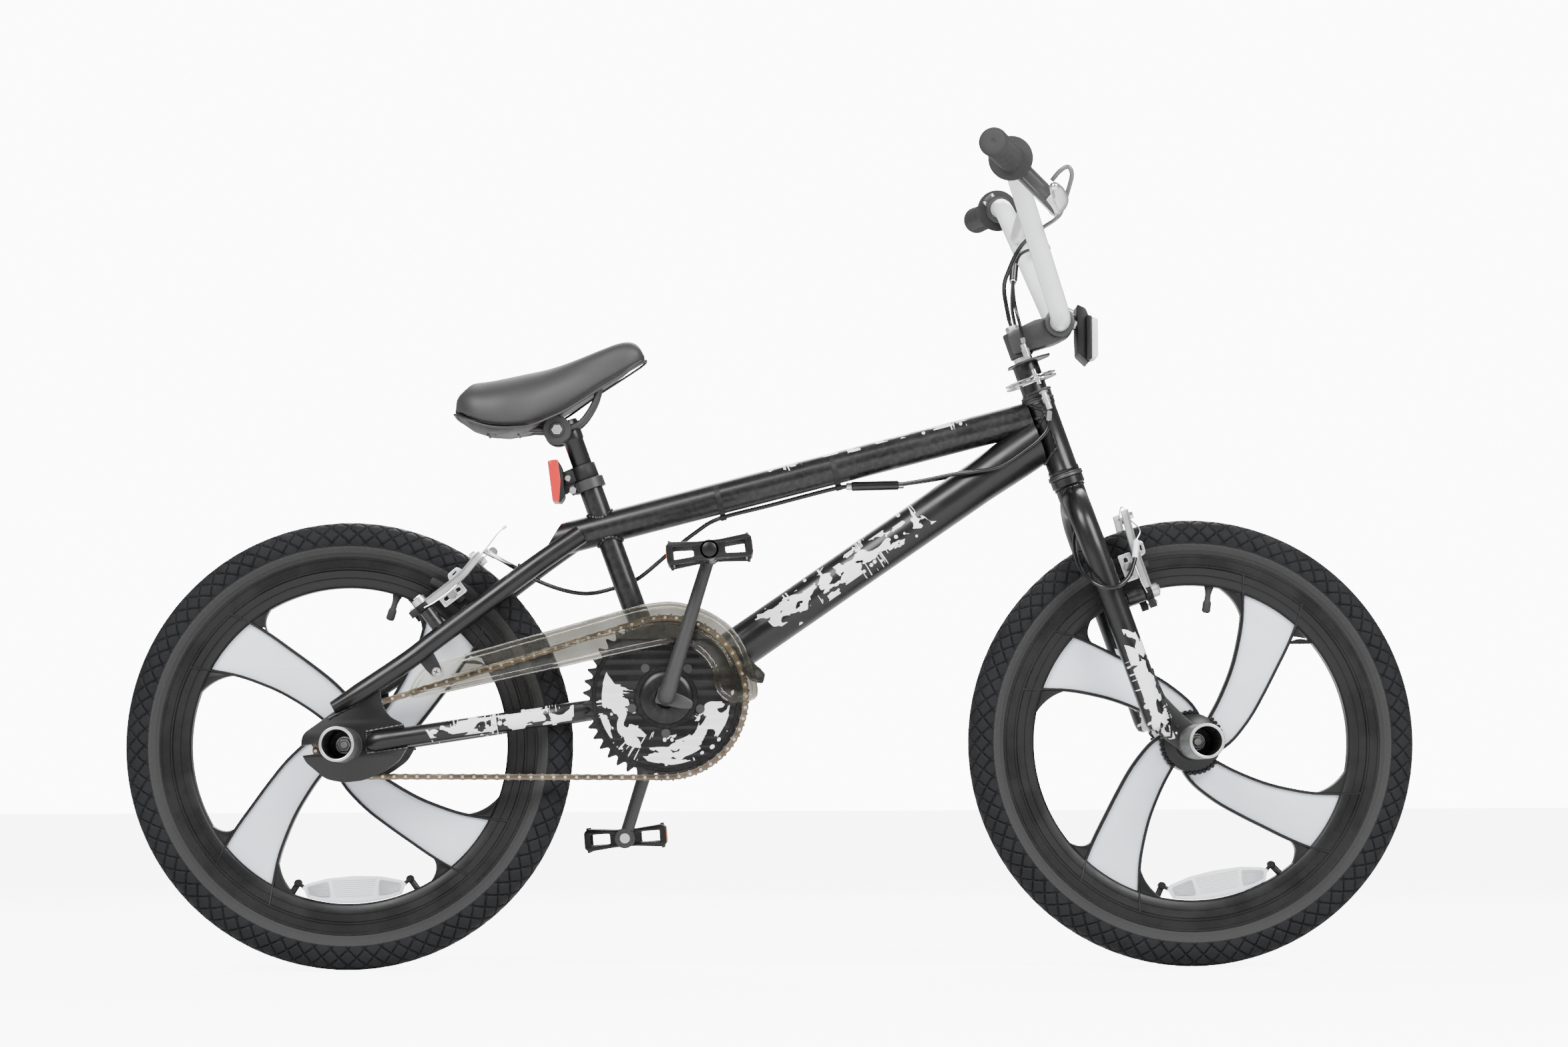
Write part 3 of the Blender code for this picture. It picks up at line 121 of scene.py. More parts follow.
class Shape:
    """Points, faces and a material number for each face, gathered into one mesh."""

    def __init__(self):
        self.points, self.faces, self.looks = [], [], []

    def add(self, points, faces, look=0, where=None):
        base = len(self.points)
        self.points += [where @ Vector(p) for p in points] if where else [Vector(p) for p in points]
        self.faces += [[base + i for i in face] for face in faces]
        self.looks += [look] * len(faces)
        return self

    def loft(self, rings, look=0, where=None, closed=False, caps=True):
        """Rings of points joined one to the next."""
        count = len(rings[0])
        faces = []
        for ring in range(len(rings) if closed else len(rings) - 1):
            low, high = ring * count, (ring + 1) % len(rings) * count
            for i in range(count):
                j = (i + 1) % count
                faces.append((low + i, low + j, high + j, high + i))
        if caps and not closed:
            faces.append(tuple(range(count))[::-1])
            faces.append(tuple(range(count * (len(rings) - 1), count * len(rings))))
        return self.add([p for ring in rings for p in ring], faces, look, where)

    def turn(self, profile, look=0, where=None, steps=32):
        """A closed profile of (radius, height) points spun about Z."""
        rings = []
        for step in range(steps):
            angle = math.tau * step / steps
            rings.append([(r * math.cos(angle), r * math.sin(angle), h) for r, h in profile])
        return self.loft(rings, look, where, closed=True)

    def rod(self, start, end, radius, look=0, where=None, steps=20, soft=0.0006, inner=0.0):
        """A round bar with softened rims between two points, hollow if inner is given."""
        start, end = Vector(start), Vector(end)
        span = (end - start).length
        soft = min(soft, span / 3, (radius - inner) / 2)
        profile = [(inner, 0), (radius - soft, 0), (radius, soft), (radius, span - soft),
                   (radius - soft, span), (inner, span)]
        place = at(start) @ facing(end - start)
        return self.turn(profile, look, where @ place if where else place, steps)

    def nut(self, start, end, radius, look=0, where=None):
        """A six-sided nut or bolt head with a chamfered top."""
        start, end = Vector(start), Vector(end)
        span = (end - start).length
        rings = []
        for r, h in ((radius, 0), (radius, span * 0.82), (radius * 0.88, span)):
            rings.append([
                (r * math.cos(math.tau * k / 6), r * math.sin(math.tau * k / 6), h) for k in range(6)
            ])
        place = at(start) @ facing(end - start)
        return self.loft(rings, look, where @ place if where else place)

    def ball(self, centre, radius, look=0, where=None, steps=16):
        profile = [
            (radius * math.sin(math.pi * k / 8), -radius * math.cos(math.pi * k / 8)) for k in range(9)
        ]
        place = at(centre)
        return self.turn(profile, look, where @ place if where else place, steps)

    def sweep(self, path, radius, look=0, where=None, sides=16, closed=False, caps=True, flat=1.0):
        """A bar along a path. The radius is one number or one for each point; flat squeezes it sideways."""
        path = [Vector(p) for p in path]
        count = len(path)
        sizes = [radius] * count if isinstance(radius, (int, float)) else radius
        ahead = []
        for i in range(count):
            after = path[(i + 1) % count] if closed else path[min(i + 1, count - 1)]
            before = path[i - 1] if closed or i else path[0]
            ahead.append((after - before).normalized())
        side = ahead[0].cross(Vector((0, 1, 0)))
        if side.length < 0.1:
            side = ahead[0].cross(Vector((1, 0, 0)))
        rings = []
        for i in range(count):
            side = (side - ahead[i] * side.dot(ahead[i])).normalized()
            other = ahead[i].cross(side)
            rings.append([
                path[i] + (side * math.cos(math.tau * k / sides) + other * flat
                           * math.sin(math.tau * k / sides))
                * sizes[i] for k in range(sides)
            ])
        return self.loft(rings, look, where, closed, caps)

    def mitred(self, start, end, radius, planes=(None, None), look=0, sides=48):
        """A tube between two points whose ends are slid along it to the given (point, normal) planes."""
        start, end = Vector(start), Vector(end)
        along = (end - start).normalized()
        radii = radius if isinstance(radius, (list, tuple)) else [radius, radius]
        turn = facing(along).to_3x3()
        rings = []
        for step, size in enumerate(radii):
            middle = start.lerp(end, step / (len(radii) - 1))
            plane = planes[0] if step == 0 else planes[1] if step == len(radii) - 1 else None
            ring = []
            for k in range(sides):
                angle = math.tau * k / sides
                point = middle + turn @ Vector((size * math.cos(angle), size * math.sin(angle), 0))
                if plane:
                    point += along * ((Vector(plane[0]) - point).dot(plane[1]) / along.dot(plane[1]))
                ring.append(point)
            rings.append(ring)
        return self.loft(rings, look)

    def plate(self, outlines, low, high, look=0, where=None, soft=0.0006):
        """Outlines of (x, z) points, the first the edge and the others holes, extruded from y low to high."""
        data = bpy.data.curves.new("plate_outline", "CURVE")
        data.dimensions, data.fill_mode = "2D", "BOTH"
        data.extrude = (high - low) / 2 - soft
        data.bevel_depth, data.offset, data.bevel_resolution = soft, -soft, 1
        for outline in outlines:
            spline = data.splines.new("POLY")
            spline.points.add(len(outline) - 1)
            for point, (x, z) in zip(spline.points, outline):
                point.co = (x, z, 0, 1)
            spline.use_cyclic_u = True
        guide = bpy.data.objects.new("plate_guide", data)
        bpy.context.scene.collection.objects.link(guide)
        bpy.context.view_layer.update()
        mesh = bpy.data.meshes.new_from_object(guide)
        points = [(v.co.x, (low + high) / 2 - v.co.z, v.co.y) for v in mesh.vertices]
        faces = [tuple(face.vertices) for face in mesh.polygons]
        bpy.data.objects.remove(guide, do_unlink=True)
        bpy.data.curves.remove(data)
        bpy.data.meshes.remove(mesh)
        return self.add(points, faces, look, where)

    def block(self, low, high, look=0, where=None, soft=0.0006):
        corners = [(low[0], low[2]), (high[0], low[2]), (high[0], high[2]), (low[0], high[2])]
        return self.plate([corners], low[1], high[1], look, where, soft)

    def weld(self, path, radius=0.0017, look=0):
        """A rippled weld bead along a closed path."""
        path = even(path + [path[0]], 110)[:-1]
        sizes = [radius * (1 + 0.22 * math.sin(k * math.tau / 5)) for k in range(len(path))]
        return self.sweep(path, sizes, look, None, 8, closed=True)

    def made(self, name, looks, body, slot, *nodes, smooth=38):
        """The piece: its cleaned mesh, its materials, the body it rides on and what it replaces."""
        bm = bmesh.new()
        verts = [bm.verts.new(p) for p in self.points]
        for face, look in zip(self.faces, self.looks):
            try:
                bm.faces.new([verts[i] for i in face]).material_index = look
            except ValueError:
                continue
        bmesh.ops.remove_doubles(bm, verts=bm.verts, dist=2e-6)
        bmesh.ops.dissolve_degenerate(bm, edges=bm.edges, dist=1e-7)
        bmesh.ops.recalc_face_normals(bm, faces=bm.faces)
        mesh = bpy.data.meshes.new(name)
        bm.to_mesh(mesh)
        bm.free()
        mesh.shade_smooth()
        mesh.set_sharp_from_angle(angle=math.radians(smooth))
        for look in looks:
            mesh.materials.append(finish(look))
        obj = bpy.data.objects.new(name, mesh)
        bpy.context.scene.collection.objects.link(obj)
        return settled(obj, body, slot, *nodes)


def settled(obj, body, slot, *nodes):
    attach(obj, body)
    if nodes:
        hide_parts(*nodes)
    return obj


def even(points, steps):
    """Points at even spacing along straight runs through the given points."""
    points = [Vector(p) for p in points]
    run = [0.0]
    for start, end in zip(points, points[1:]):
        run.append(run[-1] + (end - start).length)
    spaced, index = [], 0
    for step in range(steps + 1):
        target = run[-1] * step / steps
        while index < len(run) - 2 and run[index + 1] < target:
            index += 1
        share = (target - run[index]) / max(run[index + 1] - run[index], 1e-9)
        spaced.append(points[index].lerp(points[index + 1], min(max(share, 0), 1)))
    return spaced


def curve(points, steps):
    """Points at even spacing along a smooth curve through the given points."""
    ends = [Vector(p) for p in points]
    ends = [ends[0] * 2 - ends[1]] + ends + [ends[-1] * 2 - ends[-2]]
    fine = []
    for before, start, end, after in zip(ends, ends[1:], ends[2:], ends[3:]):
        for step in range(16):
            t = step / 16
            fine.append(0.5 * (
                2 * start + (end - before) * t + (2 * before - 5 * start + 4 * end - after) * t**2
                + (3 * start - before - 3 * end + after) * t**3
            ))
    return even(fine + [ends[-2]], steps)


def filleted(points, radius, steps=10):
    """A path of straight runs whose corners are turned into arcs."""
    points = [Vector(p) for p in points]
    path = [points[0]]
    for before, corner, after in zip(points, points[1:], points[2:]):
        into, out = (corner - before).normalized(), (after - corner).normalized()
        bend = into.angle(out)
        reach = radius * math.tan(bend / 2)
        centre = corner + (out - into).normalized() * radius / math.cos(bend / 2)
        start = (corner - into * reach - centre).normalized()
        end = (corner + out * reach - centre).normalized()
        path += [centre + start.slerp(end, k / steps) * radius for k in range(steps + 1)]
    return path + [points[-1]]


def circle(x, z, radius, steps=24):
    return [(x + radius * math.cos(math.tau * k / steps), z + radius * math.sin(math.tau * k / steps))
            for k in range(steps)]


def slot_hole(x, z, half, radius, degrees):
    """A slot with round ends: its centre, half the distance between its end centres, its end radius."""
    points = []
    for k in range(16):
        angle = -math.pi / 2 + math.pi * (k % 8) / 7 + math.pi * (k // 8)
        points.append((half * (1 if k < 8 else -1) + radius * math.cos(angle), radius * math.sin(angle)))
    a = math.radians(degrees)
    return [(x + u * math.cos(a) - v * math.sin(a), z + u * math.sin(a) + v * math.cos(a)) for u, v in points]


def even_steps(outline, steps):
    points = [(*p, 0) for p in outline]
    return [(p.x, p.y) for p in even(points + [points[0]], steps)]


def inset(outline, distance):
    """An outline moved inwards by a distance."""
    moved = []
    area = sum(a[0] * b[1] - b[0] * a[1] for a, b in zip(outline, outline[1:] + outline[:1]))
    for i, here in enumerate(outline):
        before, after = Vector(outline[i - 1]), Vector(outline[(i + 1) % len(outline)])
        ahead = (after - before).normalized() * math.copysign(distance, area)
        moved.append((here[0] - ahead.y, here[1] + ahead.x))
    return moved


def rounded(outline, radius, steps=5):
    """An outline of (x, z) points with its corners rounded by up to a radius."""
    result = []
    for i, corner in enumerate(outline):
        here = Vector(corner)
        before, after = Vector(outline[i - 1]), Vector(outline[(i + 1) % len(outline)])
        reach = min(radius, (before - here).length * 0.45, (after - here).length * 0.45)
        start, end = here + (before - here).normalized() * reach, here + (after - here).normalized() * reach
        for k in range(steps + 1):
            t = k / steps
            result.append(tuple(start.lerp(here, t).lerp(here.lerp(end, t), t)))
    return result


def meeting(start, aim, radius, other, other_aim, other_radius, steps=48):
    """The closed line where a tube that runs along aim first meets another round tube."""
    start, aim = Vector(start), Vector(aim).normalized()
    other, other_aim = Vector(other), Vector(other_aim).normalized()
    turn = facing(aim).to_3x3()
    line = []
    flat_aim = aim - other_aim * aim.dot(other_aim)
    for k in range(steps):
        angle = math.tau * k / steps
        point = start + turn @ Vector((radius * math.cos(angle), radius * math.sin(angle), 0))
        gap = point - other
        gap -= other_aim * gap.dot(other_aim)
        a, b = flat_aim.length_squared, 2 * gap.dot(flat_aim)
        c = gap.length_squared - other_radius**2
        root = max(b * b - 4 * a * c, 0)
        line.append(point + aim * ((-b - math.sqrt(root)) / (2 * a)))
    return line


# Shader node groups


class Graph:
    """A node tree with short ways to add and link nodes."""

    def __init__(self, tree):
        self.tree = tree

    def node(self, kind, inputs=None, **settings):
        made = self.tree.nodes.new("ShaderNode" + kind)
        for name, value in settings.items():
            setattr(made, name, value)
        for name, value in (inputs or {}).items():
            if isinstance(value, bpy.types.NodeSocket):
                self.tree.links.new(value, made.inputs[name])
            else:
                made.inputs[name].default_value = value
        return made

    def math(self, operation, first, second=0.5):
        return self.node("Math", {0: first, 1: second}, operation=operation).outputs[0]

    def ramp(self, value, low, high):
        """0 where a value is at or below low, 1 where it is at or above high."""
        node = self.node("MapRange", {"Value": value, "From Min": low, "From Max": high})
        node.interpolation_type = "SMOOTHSTEP"
        return node.outputs["Result"]

    def mix(self, share, first, second):
        return self.node(
            "Mix", {0: share, 6: first, 7: second}, data_type="RGBA", clamp_factor=True
        ).outputs[2]


def effect(name, inputs, outputs, build):
    """A node group with named number inputs and outputs, built once."""
    tree = bpy.data.node_groups.get(name)
    if tree:
        return tree
    tree = bpy.data.node_groups.new(name, "ShaderNodeTree")
    for label, value in inputs:
        socket = tree.interface.new_socket(label, in_out="INPUT", socket_type="NodeSocketFloat")
        socket.default_value = value
    for label in outputs:
        tree.interface.new_socket(label, in_out="OUTPUT", socket_type="NodeSocketFloat")
    graph = Graph(tree)
    entry, leave = tree.nodes.new("NodeGroupInput"), tree.nodes.new("NodeGroupOutput")
    for label, value in build(graph, entry.outputs).items():
        tree.links.new(value, leave.inputs[label])
    return tree


def build_grain(graph, given):
    """Fine relief and slow patches of colour, in object space."""
    place = graph.node("TexCoord").outputs["Object"]
    fine = graph.node("TexNoise", {"Vector": place, "Scale": given["Scale"], "Detail": 3.0}).outputs["Fac"]
    broad = graph.node("TexNoise", {"Vector": place, "Scale": 26.0, "Detail": 4.0}).outputs["Fac"]
    return {"Height": graph.math("MULTIPLY", fine, given["Depth"]), "Patch": graph.ramp(broad, 0.35, 0.65)}


def build_wear(graph, given):
    """A mask of rubbed edges, broken up by noise."""
    edge = graph.ramp(graph.node("NewGeometry").outputs["Pointiness"], 0.53, 0.62)
    place = graph.node("TexCoord").outputs["Object"]
    noise = graph.node("TexNoise", {"Vector": place, "Scale": 180.0, "Detail": 5.0}).outputs["Fac"]
    broken = graph.math("MULTIPLY", edge, graph.ramp(noise, 0.42, 0.62))
    return {"Mask": graph.math("MULTIPLY", broken, given["Amount"])}


def build_dust(graph, given):
    """A mask of dust that settles on what faces up."""
    up = graph.node("SeparateXYZ", {0: graph.node("NewGeometry").outputs["Normal"]}).outputs["Z"]
    place = graph.node("TexCoord").outputs["Object"]
    noise = graph.node("TexNoise", {"Vector": place, "Scale": 60.0, "Detail": 6.0}).outputs["Fac"]
    settled_share = graph.math("MULTIPLY", graph.ramp(up, 0.1, 1.0), graph.ramp(noise, 0.40, 0.75))
    return {"Mask": graph.math("MULTIPLY", settled_share, given["Amount"])}


def build_leather(graph, given):
    """A pebbled skin: rounded cells with creases between them."""
    place = graph.node("TexCoord").outputs["Object"]
    warp = graph.node("TexNoise", {"Vector": place, "Scale": 90.0, "Detail": 2.0}).outputs["Color"]
    bent = graph.node("VectorMath", {0: warp, 3: 0.004}, operation="SCALE").outputs[0]
    moved = graph.node("VectorMath", {0: place, 1: bent}, operation="ADD").outputs[0]
    cells = graph.node("TexVoronoi", {"Vector": moved, "Scale": given["Scale"]}, feature="DISTANCE_TO_EDGE")
    return {"Height": graph.ramp(cells.outputs["Distance"], 0.0, 0.25)}


def build_lens(graph, given):
    """The little pyramids on the back of a reflector."""
    place = graph.node("TexCoord").outputs["Object"]
    cells = graph.node(
        "TexVoronoi", {"Vector": place, "Scale": given["Scale"], "Randomness": 0.0}, distance="MANHATTAN"
    )
    return {"Height": cells.outputs["Distance"]}


def build_splatter(graph, given):
    """White shards, streaks and drops in a strip. Its place is (along, across, depth) in metres."""
    place = graph.node("CombineXYZ", {"X": given["Along"], "Y": given["Across"],
                                      "Z": given["Seed"]}).outputs[0]
    rough = graph.node("TexNoise", {"Vector": place, "Scale": 55.0, "Detail": 3.0}).outputs["Color"]
    push = graph.node("VectorMath", {0: rough, 3: 0.012}, operation="SCALE").outputs[0]
    moved = graph.node("VectorMath", {0: place, 1: push}, operation="ADD").outputs[0]
    slanted = graph.node("Mapping", {"Vector": moved, "Rotation": (0, 0, 0.6), "Scale": (1.0, 1.9, 1.0)})
    shard = graph.node(
        "TexVoronoi", {"Vector": slanted.outputs[0], "Scale": 62.0, "Randomness": 0.95}, distance="CHEBYCHEV"
    )
    pick = graph.node("SeparateColor", {0: shard.outputs["Color"]}).outputs[0]
    half = graph.math("DIVIDE", given["Across"], given["Half Width"])
    off = graph.math("ABSOLUTE", half)
    centre = graph.ramp(off, 0.95, 0.35)
    chosen = graph.math("LESS_THAN", pick, graph.math("MULTIPLY", centre, 0.62))
    streaks = graph.node("Mapping", {"Vector": place, "Rotation": (0, 0, -0.9), "Scale": (420.0, 24.0, 1.0)})
    line = graph.node("TexNoise", {"Vector": streaks.outputs[0], "Scale": 1.0, "Detail": 1.0}).outputs["Fac"]
    area = graph.node("TexNoise", {"Vector": place, "Scale": 34.0, "Detail": 1.0}).outputs["Fac"]
    lines = graph.math("MULTIPLY", graph.math("GREATER_THAN", line, 0.60),
                       graph.math("GREATER_THAN", area, 0.56))
    dots = graph.node("TexVoronoi", {"Vector": place, "Scale": 105.0})
    size = graph.node("SeparateColor", {0: dots.outputs["Color"]}).outputs[1]
    drop = graph.math("LESS_THAN", dots.outputs["Distance"], graph.math("MULTIPLY", size, 0.30))
    few = graph.math("MULTIPLY", drop, graph.math("GREATER_THAN", size, 0.55))
    marks = graph.math("MAXIMUM", graph.math("MAXIMUM", chosen, lines), few)
    inside = graph.math("LESS_THAN", off, 1.0)
    run = graph.math("ABSOLUTE", graph.math("DIVIDE", given["Along"], given["Half Length"]))
    ragged = graph.math("ADD", run, graph.math("MULTIPLY", graph.math("SUBTRACT", area, 0.5), 0.8))
    return {"Mask": graph.math("MULTIPLY", graph.math("MULTIPLY", marks, inside),
                               graph.math("LESS_THAN", ragged, 1.0))}


EFFECTS = {
    "Surface Grain": ([("Scale", 900.0), ("Depth", 1.0)], ["Height", "Patch"], build_grain),
    "Edge Wear": ([("Amount", 0.5)], ["Mask"], build_wear),
    "Settled Dust": ([("Amount", 0.3)], ["Mask"], build_dust),
    "Pebbled Skin": ([("Scale", 900.0)], ["Height"], build_leather),
    "Reflector Prisms": ([("Scale", 420.0)], ["Height"], build_lens),
    "Paint Splatter": (
        [("Along", 0.0), ("Across", 0.0), ("Seed", 0.0), ("Half Length", 0.1), ("Half Width", 0.02)],
        ["Mask"], build_splatter,
    ),
}


def use_effect(graph, name, **values):
    inputs, outputs, build = EFFECTS[name]
    node = graph.node("Group", node_tree=effect(name, inputs, outputs, build))
    for label, value in values.items():
        socket = node.inputs[label.replace("_", " ")]
        if isinstance(value, bpy.types.NodeSocket):
            graph.tree.links.new(value, socket)
        else:
            socket.default_value = value
    return node.outputs


# Each finish: colour, roughness, metallic, coat, grain scale, grain depth, wear, dust
FINISHES = {
    "satin_black": ((0.0047, 0.0047, 0.0048), 0.33, 0.0, 0.15, 2600.0, 0.10, 0.25, 0.10),
    "weld_black": ((0.0055, 0.0055, 0.0058), 0.40, 0.0, 0.1, 1500.0, 0.5, 0.3, 0.1),
    "gloss_white": ((0.80, 0.815, 0.83), 0.22, 0.0, 0.5, 900.0, 0.03, 0.0, 0.05),
    "black_nylon": ((0.0047, 0.0047, 0.0050), 0.36, 0.0, 0.0, 1500.0, 0.35, 0.06, 0.12),
    "panel_white": ((0.69, 0.735, 0.80), 0.38, 0.0, 0.0, 1400.0, 0.10, 0.0, 0.03),
    "tyre_rubber": ((0.0080, 0.0082, 0.0088), 0.62, 0.0, 0.0, 1800.0, 0.55, 0.22, 0.35),
    "tread_rubber": ((0.0136, 0.0140, 0.0152), 0.72, 0.0, 0.0, 2300.0, 1.0, 0.15, 0.4),
    "grip_rubber": ((0.0064, 0.0064, 0.0068), 0.58, 0.0, 0.0, 1400.0, 0.5, 0.1, 0.25),
    "cable_black": ((0.0055, 0.0055, 0.0060), 0.24, 0.0, 0.3, 900.0, 0.1, 0.0, 0.05),
    "cable_grey": ((0.13, 0.13, 0.135), 0.35, 0.0, 0.2, 900.0, 0.1, 0.0, 0.05),
    "polished_metal": ((0.78, 0.78, 0.79), 0.17, 1.0, 0.0, 700.0, 0.12, 0.0, 0.04),
    "brushed_metal": ((0.62, 0.62, 0.63), 0.33, 1.0, 0.0, 1900.0, 0.5, 0.0, 0.05),
    "black_metal": ((0.0077, 0.0077, 0.0080), 0.30, 0.3, 0.1, 1300.0, 0.2, 0.4, 0.08),
    "chain_plate": ((0.17, 0.135, 0.10), 0.36, 1.0, 0.0, 1500.0, 0.5, 0.3, 0.15),
    "amber_lens": ((0.85, 0.22, 0.02), 0.15, 0.0, 0.6, 700.0, 0.2, 0.0, 0.0),
    "base_plastic": ((0.0066, 0.0066, 0.0066), 0.50, 0.0, 0.0, 1200.0, 0.5, 0.1, 0.15),
}


def finish(name):
    """The material of this name, made on first use."""
    found = bpy.data.materials.get(name)
    if found:
        return found
    material = bpy.data.materials.new(name)
    material.use_nodes = True
    tree = material.node_tree
    graph = Graph(tree)
    shader = tree.nodes["Principled BSDF"]
    base = name.split("-")[0]
    if base in SPECIAL:
        SPECIAL[base](graph, shader)
    else:
        plain(graph, shader, FINISHES[base], DECALS.get(name))
    return material


def bump(graph, height, distance):
    return graph.node("Bump", {"Height": height, "Distance": distance, "Strength": 1.0}).outputs[0]


def plain(graph, shader, values, decal=None):
    """Paint, plastic, rubber or metal with grain, patches, rubbed edges, dust and any splatter."""
    colour, roughness, metallic, coat, scale, depth, wear, dust = values
    grain = use_effect(graph, "Surface Grain", Scale=scale, Depth=depth)
    shade = tuple(channel * (0.72 if max(colour) < 0.4 else 0.965) for channel in colour)
    pale = tuple(min(channel * 1.6 + 0.05 * (1 - metallic), 1.0) for channel in colour)
    paint = graph.mix(grain["Patch"], (*shade, 1), (*colour, 1))
    if wear:
        rubbed = use_effect(graph, "Edge Wear", Amount=wear)["Mask"]
        paint = graph.mix(rubbed, paint, (*pale, 1))
    if dust:
        settled_mask = use_effect(graph, "Settled Dust", Amount=dust * 0.10)["Mask"]
        paint = graph.mix(settled_mask, paint, (0.30, 0.29, 0.27, 1))
    if decal:
        mask = decal(graph)
        paint = graph.mix(mask, paint, (0.86, 0.86, 0.87, 1))
    tree = graph.tree
    tree.links.new(paint, shader.inputs["Base Color"])
    rough = graph.node("MapRange", {"Value": grain["Patch"], "To Min": roughness * 0.86, "To Max": roughness
                                    * 1.16})
    tree.links.new(rough.outputs["Result"], shader.inputs["Roughness"])
    shader.inputs["Metallic"].default_value = metallic
    if max(colour) < 0.1:
        shader.inputs["Specular IOR Level"].default_value = 0.10 if roughness > 0.5 else 0.30
    shader.inputs["Coat Weight"].default_value = coat
    shader.inputs["Coat Roughness"].default_value = 0.18
    tree.links.new(bump(graph, grain["Height"], 0.00012), shader.inputs["Normal"])


def strip_decal(origin, degrees, half_length, half_width, seed, across="Y", shift=0.0):
    """A splatter in a strip along a tube: across is measured round the tube's side, or up it."""

    def build(graph):
        place = graph.node("TexCoord").outputs["Object"]
        local = graph.node("VectorMath", {0: place, 1: origin}, operation="SUBTRACT").outputs[0]
        turn = math.radians(degrees)
        along = graph.node(
            "VectorMath", {0: local, 1: (math.cos(turn), 0, math.sin(turn))}, operation="DOT_PRODUCT"
        ).outputs["Value"]
        up = graph.node(
            "VectorMath", {0: local, 1: (-math.sin(turn), 0, math.cos(turn))}, operation="DOT_PRODUCT"
        ).outputs["Value"]
        side = graph.node("SeparateXYZ", {0: place}).outputs["Y"]
        measure = up if across == "Z" else side
        moved = graph.math("SUBTRACT", measure, shift)
        mask = use_effect(
            graph, "Paint Splatter", Along=along, Across=moved, Seed=seed, Half_Length=half_length,
            Half_Width=half_width,
        )["Mask"]
        if across == "Z":
            return mask
        return graph.math("MULTIPLY", mask, graph.math("GREATER_THAN", up, 0.002))

    return build


def ring_decal(graph):
    """A splatter in a ring band, over the lower and rear part of the chainring."""
    place = graph.node("TexCoord").outputs["Object"]
    local = graph.node("VectorMath", {0: place, 1: tuple(BRACKET)}, operation="SUBTRACT").outputs[0]
    parts = graph.node("SeparateXYZ", {0: local}).outputs
    radius = graph.node("VectorMath", {0: local, 1: (1, 0, 1)}, operation="MULTIPLY").outputs[0]
    radius = graph.node("VectorMath", {0: radius}, operation="LENGTH").outputs["Value"]
    angle = graph.math("ARCTAN2", parts["Z"], parts["X"])
    lowered = graph.math("ADD", angle, math.radians(107))
    wrapped = graph.node("Math", {0: lowered, 1: math.pi, 2: -math.pi}, operation="WRAP").outputs[0]
    along = graph.math("MULTIPLY", wrapped, 0.058)
    across = graph.math("SUBTRACT", radius, 0.058)
    mask = use_effect(
        graph, "Paint Splatter", Along=along, Across=across, Seed=3.1, Half_Length=0.098, Half_Width=0.020
    )["Mask"]
    return graph.math("MULTIPLY", mask, graph.math("LESS_THAN", parts["Y"], CHAIN_LINE))


DECALS = {
    "satin_black-top": strip_decal((0.115, 0, 0.5137 + 0.2292 * TUBE_RISE), 14.45, 0.125, 0.016, 0.4),
    "satin_black-down": strip_decal((0.093, 0, 0.4494), 34.5, 0.105, 0.0205, 1.7, "Z", 0.001),
    "satin_black-stay": strip_decal((-0.300, 0, 0.2757), 8.4, 0.075, 0.0125, 2.3, "Z"),
    "satin_black-fork": strip_decal((0.4150, 0, 0.3150), 109.5, 0.060, 0.0145, 5.2, "Z", -0.003),
    "black_metal-ring": ring_decal,
}


def glass_like(colour, roughness, alpha, scale=None, transmission=0.0, inner=None):
    """A see-through plastic, with prisms in its relief if a scale is given."""

    def build(graph, shader):
        grain = use_effect(graph, "Surface Grain", Scale=300.0, Depth=0.2)
        tint = tuple(channel * 0.82 for channel in (inner or colour))
        paint = graph.mix(grain["Patch"], (*tint, 1), (*colour, 1))
        graph.tree.links.new(paint, shader.inputs["Base Color"])
        shader.inputs["Roughness"].default_value = roughness
        shader.inputs["Alpha"].default_value = alpha
        shader.inputs["Transmission Weight"].default_value = transmission
        shader.inputs["IOR"].default_value = 1.15 if transmission else 1.45
        shader.inputs["Coat Weight"].default_value = 0.5
        shader.inputs["Coat Roughness"].default_value = 0.08
        height = grain["Height"]
        if scale:
            height = use_effect(graph, "Reflector Prisms", Scale=scale)["Height"]
        graph.tree.links.new(bump(graph, height, 0.0006 if scale else 0.0001), shader.inputs["Normal"])

    return build


def vinyl(graph, shader):
    """Grained black saddle vinyl, its shine varying in slow random patches."""
    skin = use_effect(graph, "Pebbled Skin", Scale=850.0)["Height"]
    grain = use_effect(graph, "Surface Grain", Scale=2600.0, Depth=0.3)
    dust = use_effect(graph, "Settled Dust", Amount=0.06)["Mask"]
    paint = graph.mix(grain["Patch"], (0.006, 0.006, 0.0062, 1), (0.009, 0.009, 0.0095, 1))
    paint = graph.mix(dust, paint, (0.2, 0.2, 0.2, 1))
    graph.tree.links.new(paint, shader.inputs["Base Color"])
    rough = graph.node("MapRange", {"Value": grain["Patch"], "To Min": 0.36, "To Max": 0.48})
    graph.tree.links.new(rough.outputs["Result"], shader.inputs["Roughness"])
    shader.inputs["Specular IOR Level"].default_value = 0.11
    height = graph.math("ADD", skin, grain["Height"])
    graph.tree.links.new(bump(graph, height, 0.00016), shader.inputs["Normal"])


